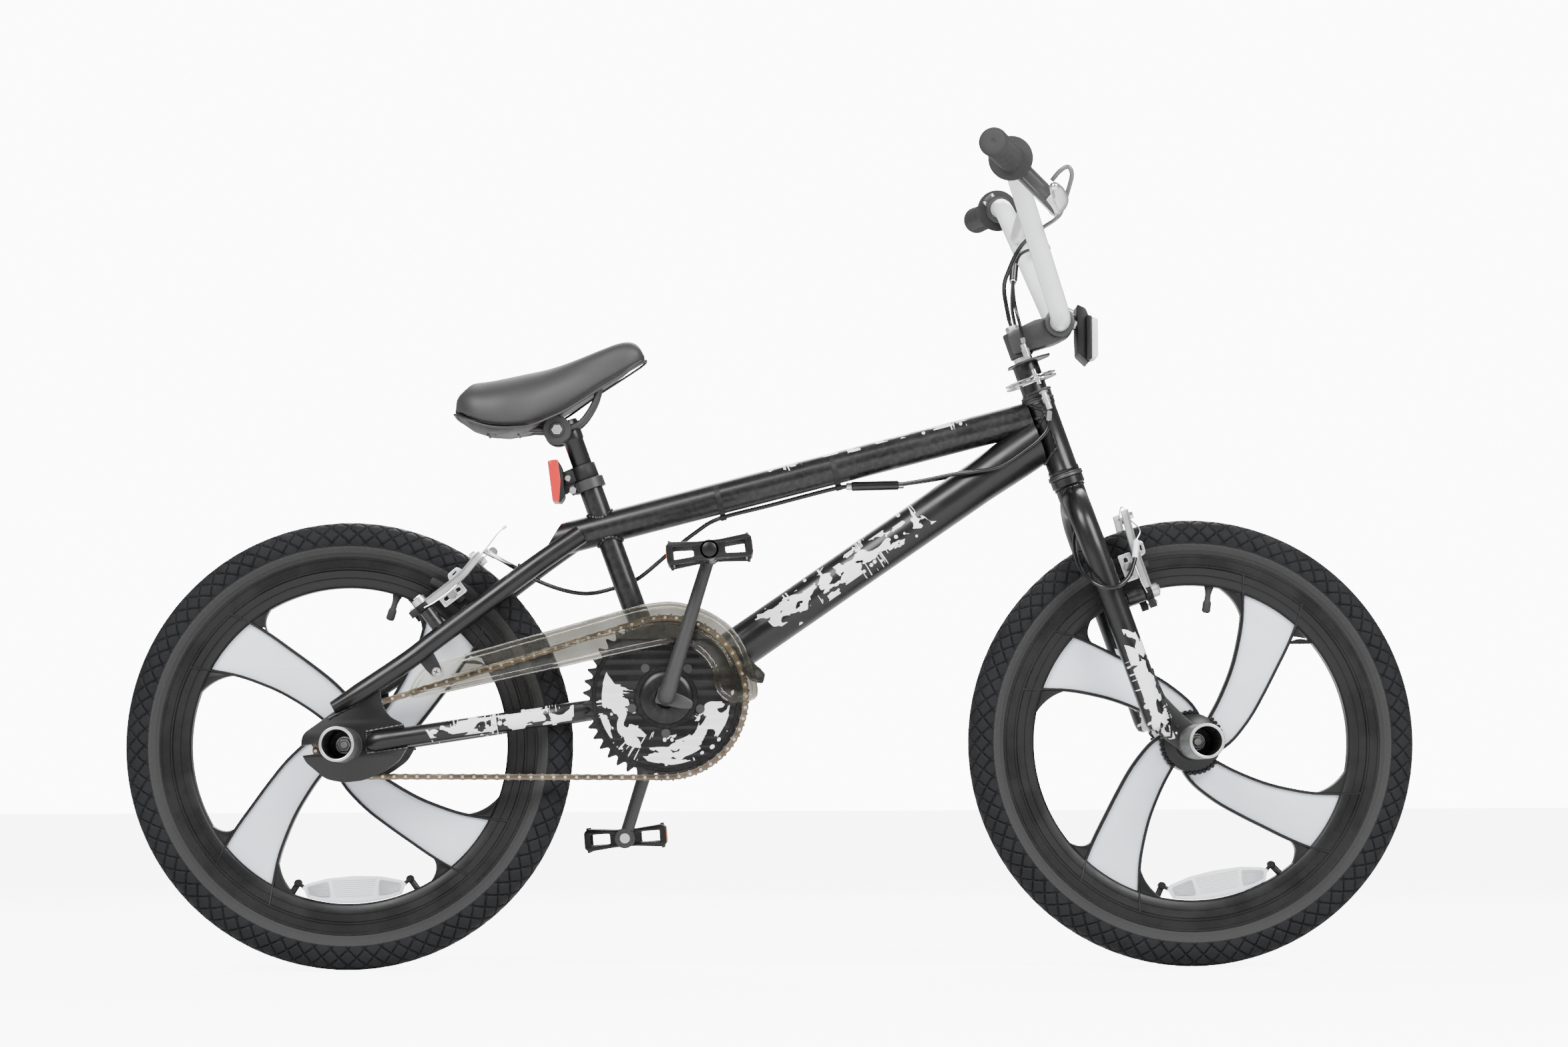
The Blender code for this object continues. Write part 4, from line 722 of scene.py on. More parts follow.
def floor_paint(graph, shader):
    place = graph.node("TexCoord").outputs["Object"]
    noise = graph.node("TexNoise", {"Vector": place, "Scale": 6.0, "Detail": 3.0}).outputs["Fac"]
    graph.tree.links.new(
        graph.mix(noise, (0.93, 0.93, 0.93, 1), (0.95, 0.95, 0.95, 1)), shader.inputs["Base Color"]
    )
    shader.inputs["Roughness"].default_value = 0.7
    seen = graph.node("LightPath").outputs["Is Camera Ray"]
    shader.inputs["Emission Color"].default_value = (1, 1, 1, 1)
    graph.tree.links.new(graph.math("MULTIPLY", seen, 7.0), shader.inputs["Emission Strength"])


SPECIAL = {
    "saddle_vinyl": vinyl,
    "smoky_guard": glass_like((0.84, 0.815, 0.72), 0.03, 1.0, None, 1.0, (0.83, 0.80, 0.70)),
    "red_lens": glass_like((0.14, 0.002, 0.002), 0.12, 1.0, 330.0),
    "clear_lens": glass_like((0.86, 0.87, 0.89), 0.08, 0.62, 420.0),
    "grey_honeycomb": glass_like((0.42, 0.43, 0.45), 0.2, 0.9, 620.0),
    "floor_white": floor_paint,
}


# Wheels


class BikeSettings(bpy.types.PropertyGroup):
    """The sizes and numbers that change the bike's detail."""

    tread_blocks: bpy.props.IntProperty(
        name="Tread blocks", description="Diamond blocks round one tyre", default=76, min=40, max=120
    )
    groove_depth: bpy.props.FloatProperty(
        name="Groove depth", description="Depth of the grooves between the tread blocks",
        default=0.0021, min=0.0, max=0.004, unit="LENGTH",
    )
    rib_width: bpy.props.FloatProperty(
        name="Rib width", description="Width of the raised ribs that edge each wheel blade",
        default=0.0034, min=0.001, max=0.008, unit="LENGTH",
    )
    link_width: bpy.props.FloatProperty(
        name="Chain link width", description="Height of one chain plate at its ends",
        default=0.0088, min=0.005, max=0.012, unit="LENGTH",
    )


class StageSettings(bpy.types.PropertyGroup):
    """The camera and the light."""

    lens: bpy.props.FloatProperty(
        name="Lens", description="Focal length of the camera", default=96.083, min=20.0, max=300.0,
        unit="CAMERA",
    )
    key_power: bpy.props.FloatProperty(
        name="Key light", description="Power of the large soft lights", default=190.0, min=0.0, max=2000.0,
        subtype="POWER",
    )
    world_light: bpy.props.FloatProperty(
        name="World light", description="Brightness of the white surroundings", default=0.5, min=0.0, max=5.0
    )


def polar(radius, degrees):
    angle = math.radians(degrees)
    return (radius * math.cos(angle), radius * math.sin(angle))


class BMX_OT_tyres(bpy.types.Operator):
    """Build both tyres: ribbed sidewalls and a tread of diamond blocks cut by crossing grooves"""

    bl_idname = "bmx.tyres"
    bl_label = "Tyres"

    def execute(self, context):
        settings = context.scene.bmx_bike
        blocks, depth = settings.tread_blocks, settings.groove_depth
        outer_radius = (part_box("front_tyre")[1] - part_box("front_tyre")[0]).z / 2
        section = [
            (0.2048, 0.0120), (0.2075, 0.0130), (0.2105, 0.0141), (0.2135, 0.0162), (0.2175, 0.0194),
            (0.2222, 0.0223), (0.2272, 0.0240), (0.2322, 0.0244), (0.2375, 0.0234), (0.2425, 0.0211),
            (0.2465, 0.0172), (0.2491, 0.0118), (0.2504, 0.0058), (outer_radius, 0.0),
        ]
        mirrored = [(r, 0, y) for r, y in section] + [(r, 0, -y) for r, y in section[-2::-1]]
        shell = curve(mirrored, 84)
        length = sum((b - a).length for a, b in zip(shell, shell[1:]))
        steps = blocks * 22
        lining = [(0.2052, -0.0096), (0.2300, -0.0190), (0.2440, -0.0100), (0.2440, 0.0100),
                  (0.2300, 0.0190), (0.2052, 0.0096)]
        rings = []
        for step in range(steps):
            turn = math.tau * step / steps
            cos, sin = math.cos(turn), math.sin(turn)
            ring = []
            for i, point in enumerate(shell):
                radius, side = point.x, point.z
                run = length * (i / 84 - 0.5)
                sink = 0.0
                if radius > 0.2225:
                    across, along = run / 0.0195, blocks * step / steps
                    first = abs((along + across) % 1.0 - 0.5)
                    second = abs((along - across) % 1.0 - 0.5)
                    cut = max((first - 0.415) / 0.035, (second - 0.430) / 0.035)
                    sink = depth * min(max(cut, 0.0), 1.0) * min((radius - 0.2225) / 0.004, 1.0)
                elif abs(radius - 0.2168) < 0.0009 or abs(radius - 0.2095) < 0.0007:
                    sink = -0.00045
                scale = 1 - sink / math.hypot(radius - 0.2275, side) if sink else 1.0
                radius = 0.2275 + (radius - 0.2275) * scale
                ring.append((radius * cos, side * scale, radius * sin))
            ring += [(r * cos, y, r * sin) for r, y in lining]
            rings.append(ring)
        for end, axle in (("front", FRONT_AXLE), ("rear", REAR_AXLE)):
            shape = Shape()
            shape.loft(rings, 0, at(axle), closed=True)
            count = len(rings[0])
            for index in range(len(shape.faces)):
                column = index % count
                if column < 84 and shell[column].x > 0.2228 and shell[column + 1].x > 0.2228:
                    shape.looks[index] = 1
            shape.made(f"{end}_tyre_carcass", ["tyre_rubber", "tread_rubber"], f"{end}_wheel", "tyre_rubber",
                       f"{end}_tyre", smooth=55)
        return {"FINISHED"}


LEADING = [(0.030, -10.0), (0.060, -4.6), (0.095, -0.4), (0.125, 3.2), (0.150, 6.0), (0.176, 9.2),
           (0.199, 11.6)]
TRAILING = [(0.031, -79.0), (0.040, -66.0), (0.052, -52.5), (0.074, -37.5), (0.100, -27.0), (0.127, -20.5),
            (0.152, -16.6), (0.176, -13.4), (0.200, -9.9)]
SPOKE_PHASES = {"front": (331.5, 60.8, 150.7, 240.8), "rear": (323.0, 51.0, 142.0, 232.0)}


def rib_points(rib, phase, steps=26):
    flat = [(*polar(r, phase + a), 0) for r, a in rib]
    return [(p.x, p.y) for p in curve(flat, steps)]


def add_rib(shape, points, width, where):
    """A raised rib whose depth grows where it climbs over the rim."""
    rings = []
    for i, (x, z) in enumerate(points):
        before, after = points[max(i - 1, 0)], points[min(i + 1, len(points) - 1)]
        ahead = Vector((after[0] - before[0], after[1] - before[1])).normalized() * width / 2
        radius = math.hypot(x, z)
        half = 0.0092 + 0.0067 * min(max((radius - 0.172) / 0.026, 0), 1)
        ring = []
        for u, v in ((-1, -0.88), (-0.55, -1), (0.55, -1), (1, -0.88), (1, 0.88), (0.55, 1), (-0.55, 1),
                     (-1, 0.88)):
            ring.append((x - ahead.y * u, half * v, z + ahead.x * u))
        rings.append(ring)
    shape.loft(rings, 0, where)


def add_corner(shape, rib, sign, phase, where):
    """The web that rounds the corner between a rib and the rim."""
    top = [p for p in rib_points(rib, phase, 40) if 0.147 < math.hypot(*p) < 0.180]
    last = math.degrees(math.atan2(top[-1][1], top[-1][0]))
    arc = [polar(0.180, last + sign * 11.0 * k / 8) for k in range(1, 9)]
    corner = Vector(polar(0.1725, last + sign * 1.6))
    start, end = Vector(arc[-1]), Vector(top[0])
    bow = []
    for k in range(1, 12):
        t = k / 12
        bow.append(tuple(start.lerp(corner, t).lerp(corner.lerp(end, t), t)))
    shape.plate([top + arc + bow], -0.0085, 0.0085, 0, where, 0.0012)


class BMX_OT_wheels(bpy.types.Operator):
    """Build the moulded wheels: rim, hub, four curved blades with pale panels, valve and reflector"""

    bl_idname = "bmx.wheels"
    bl_label = "Wheels"

    def execute(self, context):
        width = context.scene.bmx_bike.rib_width
        side = [
            (0.1785, 0.0102), (0.1772, 0.0090), (0.1768, 0.0), (0.1768, 0.0), (0.1772, -0.0090),
            (0.1785, -0.0102),
        ]
        half = [(0.1800, 0.0112), (0.1880, 0.0122), (0.1888, 0.0130), (0.1965, 0.0142), (0.1976, 0.0156),
                (0.1996, 0.0157), (0.2004, 0.0150), (0.2085, 0.0152), (0.2094, 0.0160), (0.2114, 0.0160),
                (0.2115, 0.0136), (0.2042, 0.0131)]
        rim = side + [(r, -y) for r, y in half] + [(r, y) for r, y in reversed(half)]
        for end, axle in (("front", FRONT_AXLE), ("rear", REAR_AXLE)):
            place = at(axle)
            shape = Shape()
            shape.turn(rim, 0, place @ about("X", -90), 180)
            right = 0.0296 if end == "rear" else 0.0400
            hub = [(0.0147, -0.040), (0.0182, -0.040), (0.0190, -0.0392), (0.0200, -0.0250),
                   (0.0230, -0.0236),
                   (0.0322, -0.0206), (0.0331, -0.0196), (0.0331, 0.0196), (0.0322, 0.0206), (0.0230, 0.0236),
                   (0.0200, 0.0250), (0.0190, right - 0.0008), (0.0182, right), (0.0147, right)]
            shape.turn(hub, 0, place @ about("X", 90), 64)
            if end == "rear":
                shape.turn([(0.0147, 0.0150), (0.0173, 0.0150), (0.0173, 0.0480), (0.0147, 0.0480)], 0,
                           place @ about("X", 90), 48)
            for phase in SPOKE_PHASES[end]:
                leading, trailing = rib_points(LEADING, phase), rib_points(TRAILING, phase)
                add_rib(shape, leading, width, place)
                add_rib(shape, trailing, width, place)
                inner_lead = [p for p in leading if math.hypot(*p) < 0.1815]
                inner_trail = [p for p in trailing if math.hypot(*p) < 0.1815]
                rim_arc = [
                    polar(0.1815, phase + 9.9 - (9.9 + 12.8) * k / 10) for k in range(11)
                ]
                panel = inner_lead + rim_arc + inner_trail[::-1] + [polar(0.026, phase - 60),
                        polar(0.026, phase - 25)]
                shape.plate([panel], -0.0056, 0.0056, 1, place, 0.0004)
                add_corner(shape, LEADING, 1, phase, place)
                add_corner(shape, TRAILING, -1, phase, place)
                for k in range(7):
                    a = polar(0.0345, phase - 12 - 9 * k)
                    shape.rod((a[0], -0.0215, a[1]), (a[0], 0.0215, a[1]), 0.0024, 0, place, 8)
            shape.made(f"{end}_wheel_moulding", ["black_nylon", "panel_white"], f"{end}_wheel", "wheel_nylon",
                       f"{end}_wheel", smooth=30)
            self.valve(end, place)
            self.reflector(end, place)
        return {"FINISHED"}

    def valve(self, end, place):
        turn = {"front": 82.6, "rear": 72.6}[end]
        out = Vector((*polar(1, turn),))
        out = Vector((out.x, 0, out.y))
        shape = Shape()
        profile = [(0.0, 0.0), (0.0030, 0.0), (0.0042, 0.0012), (0.0046, 0.0060), (0.0046, 0.0125),
                   (0.0036, 0.0145), (0.0034, 0.0200), (0.0042, 0.0250), (0.0062, 0.0310), (0.0062, 0.0330),
                   (0.0, 0.0330)]
        shape.turn(profile, 0, place @ at(out * 0.1475) @ facing(out), 24)
        for k in range(14):
            spoke = about("Z", k * 360 / 14)
            shape.block((0.0040, -0.0005, 0.0015), (0.0049, 0.0005, 0.0120), 0,
                        place @ at(out * 0.1475) @ facing(out) @ spoke, 0.0002)
        shape.made(f"{end}_valve", ["grip_rubber"], f"{end}_wheel", "tyre_rubber")

    def reflector(self, end, place):
        """A clear crescent lens with honeycomb ends, a white lip and two black clip knobs."""
        lean = about("Y", {"front": -10.6, "rear": -2.0}[end])
        where = place @ lean
        arc = [polar(0.1758, -90 + 17.5 * (k - 10) / 10) for k in range(21)]
        top = [(0.0600, -0.1590), (0.0545, -0.1530), (0.0300, -0.1475), (0.0, -0.1458),
               (-0.0300, -0.1475), (-0.0545, -0.1530), (-0.0600, -0.1590)]
        lens = Shape()
        lens.plate([arc + rounded(top, 0.004, 3)], -0.0046, 0.0046, 0, where, 0.0008)
        for k in range(9):
            z = -0.1500 - 0.0022 * k
            lens.block((-0.0250 + 0.0006 * k, -0.0056, z - 0.0005), (0.0250 - 0.0006 * k, 0.0056, z + 0.0005),
                       0,
                       where, 0.0003)
        for sign in (-1, 1):
            patch = [(sign * x, z) for x, z in ((0.0285, -0.1507), (0.0530, -0.1558), (0.0500, -0.1665),
                                                (0.0270, -0.1690))]
            lens.plate([rounded(patch, 0.003)], -0.0058, 0.0058, 1, where, 0.0005)
        lip = [polar(r, -90 + 17.0 * (k - 10) / 10) for r in (0.1762,) for k in range(21)]
        lip += [polar(0.1725, -90 + 17.0 * (10 - k) / 10) for k in range(21)]
        lens.plate([lip], -0.0060, 0.0060, 2, where, 0.0006)
        lens.made(f"{end}_reflector_lens", ["clear_lens", "grey_honeycomb", "panel_white"], f"{end}_wheel",
                  "clear_lens", f"{end}_wheel_reflector")
        clips = Shape()
        for sign in (-1, 1):
            x, z = polar(0.1640, -90 + sign * 22.5)
            clips.rod((x, -0.0066, z), (x, 0.0066, z), 0.0044, 0, where, 24, 0.0012)
            clips.rod((x, -0.0072, z), (x, -0.0062, z), 0.0022, 0, where, 16, 0.0004)
            far = polar(0.1790, -90 + sign * 23.5)
            clips.sweep([(x, 0, z), (far[0], 0, far[1])], 0.0036, 0, where, 12)
            near = polar(0.1690, -90 + sign * 17.0)
            clips.sweep([(x, 0, z), (near[0], 0, near[1])], 0.0022, 0, where, 10)
        clips.made(f"{end}_reflector_clips", ["black_nylon"], f"{end}_wheel", "wheel_nylon")


class BMX_OT_axles(bpy.types.Operator):
    """Build the axles with their nuts and cones, the hub bearings and the four foot pegs"""

    bl_idname = "bmx.axles"
    bl_label = "Axles and pegs"

    def execute(self, context):
        for end, axle, body in (("front", FRONT_AXLE, "steering"), ("rear", REAR_AXLE, "frame")):
            place = at(axle)
            nut = {"front": 0.0608, "rear": 0.0662}[end]
            half = {"front": 0.0495, "rear": 0.0548}[end]
            shaft = Shape()
            shaft.rod((0, -0.0772, 0), (0, 0.0772, 0), 0.0048, 0, place, 24, 0.0008)
            for k in range(34):
                for sign in (-1, 1):
                    y = sign * (0.0505 + k * 0.0008)
                    shaft.turn([(0.0040, -0.0003), (0.0050, 0.0), (0.0040, 0.0003)], 0,
                               place @ at(0, y, 0) @ about("X", 90), 16)
            for sign in (-1, 1):
                shaft.nut((0, sign * nut, 0), (0, sign * (nut + 0.008), 0), 0.0084, 0, place)
                shaft.rod((0, sign * (nut - 0.0004), 0), (0, sign * (nut + 0.0010), 0), 0.0098, 0, place, 24,
                          0.0003)
            shaft.made(f"{end}_axle_nuts", ["brushed_metal"], body, "silver_metal", f"{end}_axle")
            cones = Shape()
            for sign in (-1, 1):
                cones.turn([(0.0056, half), (0.0090, half), (0.0094, half - 0.003), (0.0100, half - 0.0040),
                            (0.0140, half - 0.0125), (0.0056, half - 0.0125)], 0,
                           place @ about("X", -90 * sign), 32)
                cones.nut((0, sign * (half - 0.0008), 0), (0, sign * (half - 0.0046), 0), 0.0096, 0, place)
            cones.made(f"{end}_hub_cones", ["brushed_metal"], f"{end}_wheel", "silver_metal",
                       f"{end}_hub_bearings")
            low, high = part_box(f"{end}_peg_right")
            start, stop = -high.y, -low.y
            for name, sign in SIDES.items():
                peg = Shape()
                outside = [(0.0053, start), (0.0188, start), (0.0195, start + 0.0007),
                           (0.0195, stop - 0.0010)]
                peg.turn(outside + [(0.0160, stop - 0.0010), (0.0160, start + 0.005),
                                    (0.0053, start + 0.005)], 0,
                         place @ about("X", -90 * sign), 72)
                peg.turn([(0.0193, stop - 0.0011), (0.0190, stop - 0.0002), (0.0186, stop), (0.0170, stop),
                          (0.0163, stop - 0.0004), (0.0161, stop - 0.0011)], 1,
                         place @ about("X", -90 * sign), 72)
                for k in range(3):
                    y = start + 0.012 + 0.0016 * k
                    peg.turn([(0.0192, y), (0.0197, y + 0.0005), (0.0192, y + 0.0010)], 0,
                             place @ about("X", -90 * sign), 72)
                peg.made(f"{end}_peg_tube_{name}", ["black_metal", "brushed_metal"], body, "black_metal",
                         f"{end}_peg_{name}")
        return {"FINISHED"}


# Frame


def top_tube_point(x, drop=0.0):
    return Vector((x, 0, 0.5137 + (x + 0.1142) * TUBE_RISE - drop))


TOP_AIM = Vector((1, 0, TUBE_RISE)).normalized()
DOWN_AIM = Vector((math.cos(math.radians(34.5)), 0, math.sin(math.radians(34.5))))
HEAD_FOOT = STEER @ Vector((0, 0, 0))
HEAD_BACK = STEER @ Vector((-0.0150, 0, 0))
STEER_FORWARD = STEER.to_3x3() @ Vector((1, 0, 0))


class BMX_OT_frame_tubes(bpy.types.Operator):
    """Build the main tubes, the bracket shell and their weld beads"""

    bl_idname = "bmx.frame_tubes"
    bl_label = "Frame tubes"

    def execute(self, context):
        head = Shape()
        profile = [(0.0150, 0.0040), (0.0176, 0.0040), (0.0180, 0.0046), (0.0180, 0.0085), (0.0170, 0.0105),
                   (0.0170, 0.0830), (0.0180, 0.0850), (0.0180, 0.0889), (0.0176, 0.0895), (0.0150, 0.0895)]
        head.turn(profile, 0, STEER, 64)
        head.made("head_tube_body", ["satin_black"], "frame", "black_paint", "head_tube")

        top = Shape()
        rear_cut = (Vector((-0.2347, 0, 0.5016)), about("Y", 30.5).to_3x3() @ Vector((1, 0, 0)))
        front_cut = (HEAD_BACK, STEER_FORWARD)
        top.mitred(top_tube_point(-0.26), top_tube_point(0.31), 0.018, (rear_cut, front_cut), 0, 64)
        top.made("top_tube_body", ["satin_black-top"], "frame", "black_paint", "top_tube")

        down = Shape()
        start, end = BRACKET, BRACKET + DOWN_AIM * 0.508
        radii = [0.024] * 26 + [0.0240, 0.0244, 0.0250, 0.0255, 0.0258, 0.0258]
        shell_cut = (BRACKET + DOWN_AIM * 0.016, DOWN_AIM)
        down.mitred(start, end, radii, (shell_cut, (HEAD_BACK, STEER_FORWARD)), 0, 64)
        for k in (0.0705, 0.0850):
            here = BRACKET + DOWN_AIM * k
            down.rod(here, here + DOWN_AIM * 0.0012, 0.0264, 1, None, 48, 0.0005)
        down.rod(BRACKET + DOWN_AIM * 0.070, BRACKET + DOWN_AIM * 0.086, 0.0258, 1, None, 48, 0.0008)
        lug = [(-0.0230, 0.3455), (-0.0060, 0.3290), (-0.0085, 0.3185), (-0.0210, 0.3200), (-0.0330, 0.3325)]
        down.plate([rounded(lug, 0.003)], -0.0505, -0.0180, 1, None, 0.0010)
        down.nut((-0.0145, -0.0500, 0.3290), (-0.0145, -0.0510, 0.3290), 0.0050, 2)
        down.rod((-0.0145, -0.048, 0.3290), (-0.0145, -0.0512, 0.3290), 0.0036, 2)
        down.made("down_tube_body", ["satin_black-down", "base_plastic", "black_metal"], "frame",
                  "black_paint",
                  "down_tube")

        seat = Shape()
        low, high = SEAT @ Vector((0, 0, 0.022)), SEAT @ Vector((0, 0, 0.2615))
        seat.rod(low, high, 0.0134, 0, None, 48, 0.0006, 0.0118)
        place = at(BRACKET) @ about("X", 90)
        shell = [(0.0214, -0.0335), (0.0216, -0.0340), (0.0266, -0.0340), (0.0270, -0.0334), (0.0270, 0.0334),
                 (0.0266, 0.0340), (0.0216, 0.0340), (0.0214, 0.0335)]
        seat.turn(shell, 0, place, 64)
        seat.made("seat_tube_body", ["satin_black"], "frame", "black_paint", "seat_tube")

        beads = Shape()
        for start, aim, radius in ((top_tube_point(0.20), TOP_AIM, 0.018),
                                   (BRACKET + DOWN_AIM * 0.4, DOWN_AIM, 0.026)):
            line = meeting(start, aim, radius * 0.985, HEAD_FOOT, STEER_UP, 0.0172)
            beads.weld(line, 0.0019)
        beads.weld(meeting(SEAT @ Vector((0, 0, 0.26)), -SEAT_UP, 0.0138, top_tube_point(0), TOP_AIM, 0.0182),
                   0.0019)
        beads.weld(meeting(SEAT @ Vector((0, 0, 0.12)), SEAT_UP, 0.0138, top_tube_point(0), TOP_AIM, 0.0182),
                   0.0019)
        beads.weld(meeting(SEAT @ Vector((0, 0, 0.12)), -SEAT_UP, 0.0138, BRACKET, (0, 1, 0), 0.0272), 0.0018)
        beads.weld(meeting(BRACKET + DOWN_AIM * 0.2, -DOWN_AIM, 0.0238, BRACKET, (0, 1, 0), 0.0272), 0.0018)
        beads.made("frame_weld_beads", ["weld_black"], "frame", "black_paint")
        return {"FINISHED"}


def stay_path(sign, steps=34):
    places = [
        (-0.4870, 0.0580, 0.2921), (-0.4587, 0.0580, 0.3084), (-0.4062, 0.0565, 0.3432),
        (-0.3778, 0.0535, 0.3649), (-0.3300, 0.0450, 0.4013), (-0.2635, 0.0350, 0.4513),
        (-0.2129, 0.0255, 0.4868),
    ]
    return curve([(x, sign * y, z) for x, y, z in places], steps)


def dropout_outline():
    x, z = REAR_AXLE.x, REAR_AXLE.z
    slot_aim = Vector((-math.cos(math.radians(7)), -math.sin(math.radians(7))))
    across = Vector((-slot_aim.y, slot_aim.x))
    centre = Vector((x, z))
    outline = [
        (-0.5048, 0.2750), (-0.5205, 0.2639), (-0.5227, 0.2513), (-0.5206, 0.2394),
        (-0.5169, 0.2319), (-0.4946, 0.2132), (-0.4760, 0.2094), (-0.4537, 0.2116),
        (-0.4313, 0.2204), (-0.4127, 0.2338), (-0.4029, 0.2508), (-0.4080, 0.2747),
        (-0.4236, 0.2822), (-0.4333, 0.2971), (-0.4347, 0.3160), (-0.4587, 0.3050),
        (-0.4870, 0.2880),
    ]
    first = rounded(outline, 0.006)
    mouth = [tuple(centre + slot_aim * 0.0490 - across * 0.0054)]
    for k in range(13):
        angle = math.radians(-90 + 180 * k / 12)
        mouth.append(tuple(centre - slot_aim * 0.0054 * math.cos(angle) + across * 0.0054 * math.sin(angle)))
    mouth.append(tuple(centre + slot_aim * 0.0485 + across * 0.0054))
    upper = [p for p in first if not (p[0] < -0.5150 and 0.2385 < p[1] < 0.2512)]
    index = max(range(len(upper)), key=lambda i: (upper[i][0] < -0.5150 and upper[i][1] > 0.2505, i))
    return upper[:index + 1] + mouth + upper[index + 1:]


class BMX_OT_stays(bpy.types.Operator):
    """Build the chain stays with the axle plates, the seat stays, their bridge and the brake bosses"""

    bl_idname = "bmx.stays"
    bl_label = "Stays"

    def execute(self, context):
        stations = [
            (-0.4490, 0.0580, 0.0062, 0.0075), (-0.4450, 0.0580, 0.0105, 0.0114),
            (-0.4200, 0.0578, 0.0110, 0.0112), (-0.3300, 0.0545, 0.0110, 0.0110),
            (-0.2750, 0.0450, 0.0092, 0.0112), (-0.2350, 0.0335, 0.0075, 0.0115),
            (-0.1900, 0.0290, 0.0088, 0.0112), (-0.1300, 0.0235, 0.0095, 0.0110),
        ]
        middle = curve([(x, y, 0) for x, y, _, _ in stations], 60)
        sizes = curve([(x, wide, tall) for x, _, wide, tall in stations], 60)
        for name, sign in SIDES.items():
            stay = Shape()
            rings = []
            for here, size in zip(middle, sizes):
                z = 0.2591 + (here.x + 0.4127) * 0.1474
                rings.append([
                    (here.x, sign * (here.y + size.y * math.cos(math.tau * k / 32)),
                     z + size.z * math.sin(math.tau * k / 32)) for k in range(32)
                ])
            stay.loft(rings)
            low, high = sorted((sign * 0.0553, sign * 0.0603))
            stay.plate([dropout_outline()], low, high, 1, None, 0.0008)
            bead = [(-0.4500, z) for z in (0.2640, 0.2545, 0.2440)]
            edge = [(-0.4500, 0.2660), (-0.4080, 0.2735)], [(-0.4490, 0.2420), (-0.4035, 0.2480)]
            for line in (*edge, bead):
                path = even([(x, sign * 0.0606, z) for x, z in line], 36)
                stay.sweep(path, [0.0013 * (1 + 0.2 * math.sin(k * 1.3)) for k in range(37)], 1, None, 8)
            stay.made(f"chainstay_body_{name}", ["satin_black-stay", "satin_black"], "frame", "black_paint",
                      f"chainstay_{name}")
            path = stay_path(sign)
            radii = [0.0110 * min(1.0, 0.70 + 0.09 * k) for k in range(len(path))]
            upper = Shape()
            upper.sweep(path, radii, 0, None, 32)
            y = -sign * 0.046
            upper.rod((-0.004, y, 0), (0.0340, y, 0), 0.0062, 0, REAR_BRAKE, 24)
            upper.rod((0.0100, y, 0), (0.0335, y, 0), 0.0082, 0, REAR_BRAKE, 24)
            upper.rod((0.0335, y, 0), (0.0425, y, 0), 0.0030, 2, REAR_BRAKE, 16)
            bead = even([(-0.4920, sign * 0.0604, 0.2805), (-0.4560, sign * 0.0606, 0.2990),
                         (-0.4340, sign * 0.0606, 0.3165)], 40)
            upper.sweep(bead, [0.0014 * (1 + 0.2 * math.sin(k * 1.3)) for k in range(41)], 1, None, 8)
            if name == "right":
                tab = [(-0.3800, 0.3615), (-0.3965, 0.3500), (-0.3830, 0.3330), (-0.3760, 0.3270),
                       (-0.3690, 0.3270), (-0.3660, 0.3330), (-0.3700, 0.3430)]
                upper.plate([rounded(tab, 0.003)], -0.0570, -0.0538, 1, None, 0.0006)
                upper.rod((-0.3724, -0.0537, 0.3320), (-0.3724, -0.0592, 0.3320), 0.0052, 2, None, 24, 0.0012)
                for turn in (0, 90):
                    upper.block((-0.0030, -0.0596, -0.0005), (0.0030, -0.0588, 0.0005), 1,
                                at(-0.3724, 0, 0.3320) @ about("Y", turn + 20), 0.0002)
            upper.made(f"seatstay_body_{name}", ["satin_black", "weld_black", "brushed_metal"], "frame",
                       "black_paint", f"seatstay_{name}")
        bridge = Shape()
        bridge.rod((-0.2720, -0.0330, 0.4470), (-0.2720, 0.0330, 0.4470), 0.0070, 0)
        bridge.rod((-0.2860, 0, 0.4520), (-0.2700, 0, 0.4430), 0.0050, 0, inner=0.0030)
        bridge.rod((-0.2450, -0.0290, 0.2790), (-0.2450, 0.0290, 0.2790), 0.0070, 0)
        bridge.made("stay_bridges", ["satin_black"], "frame", "black_paint")
        return {"FINISHED"}


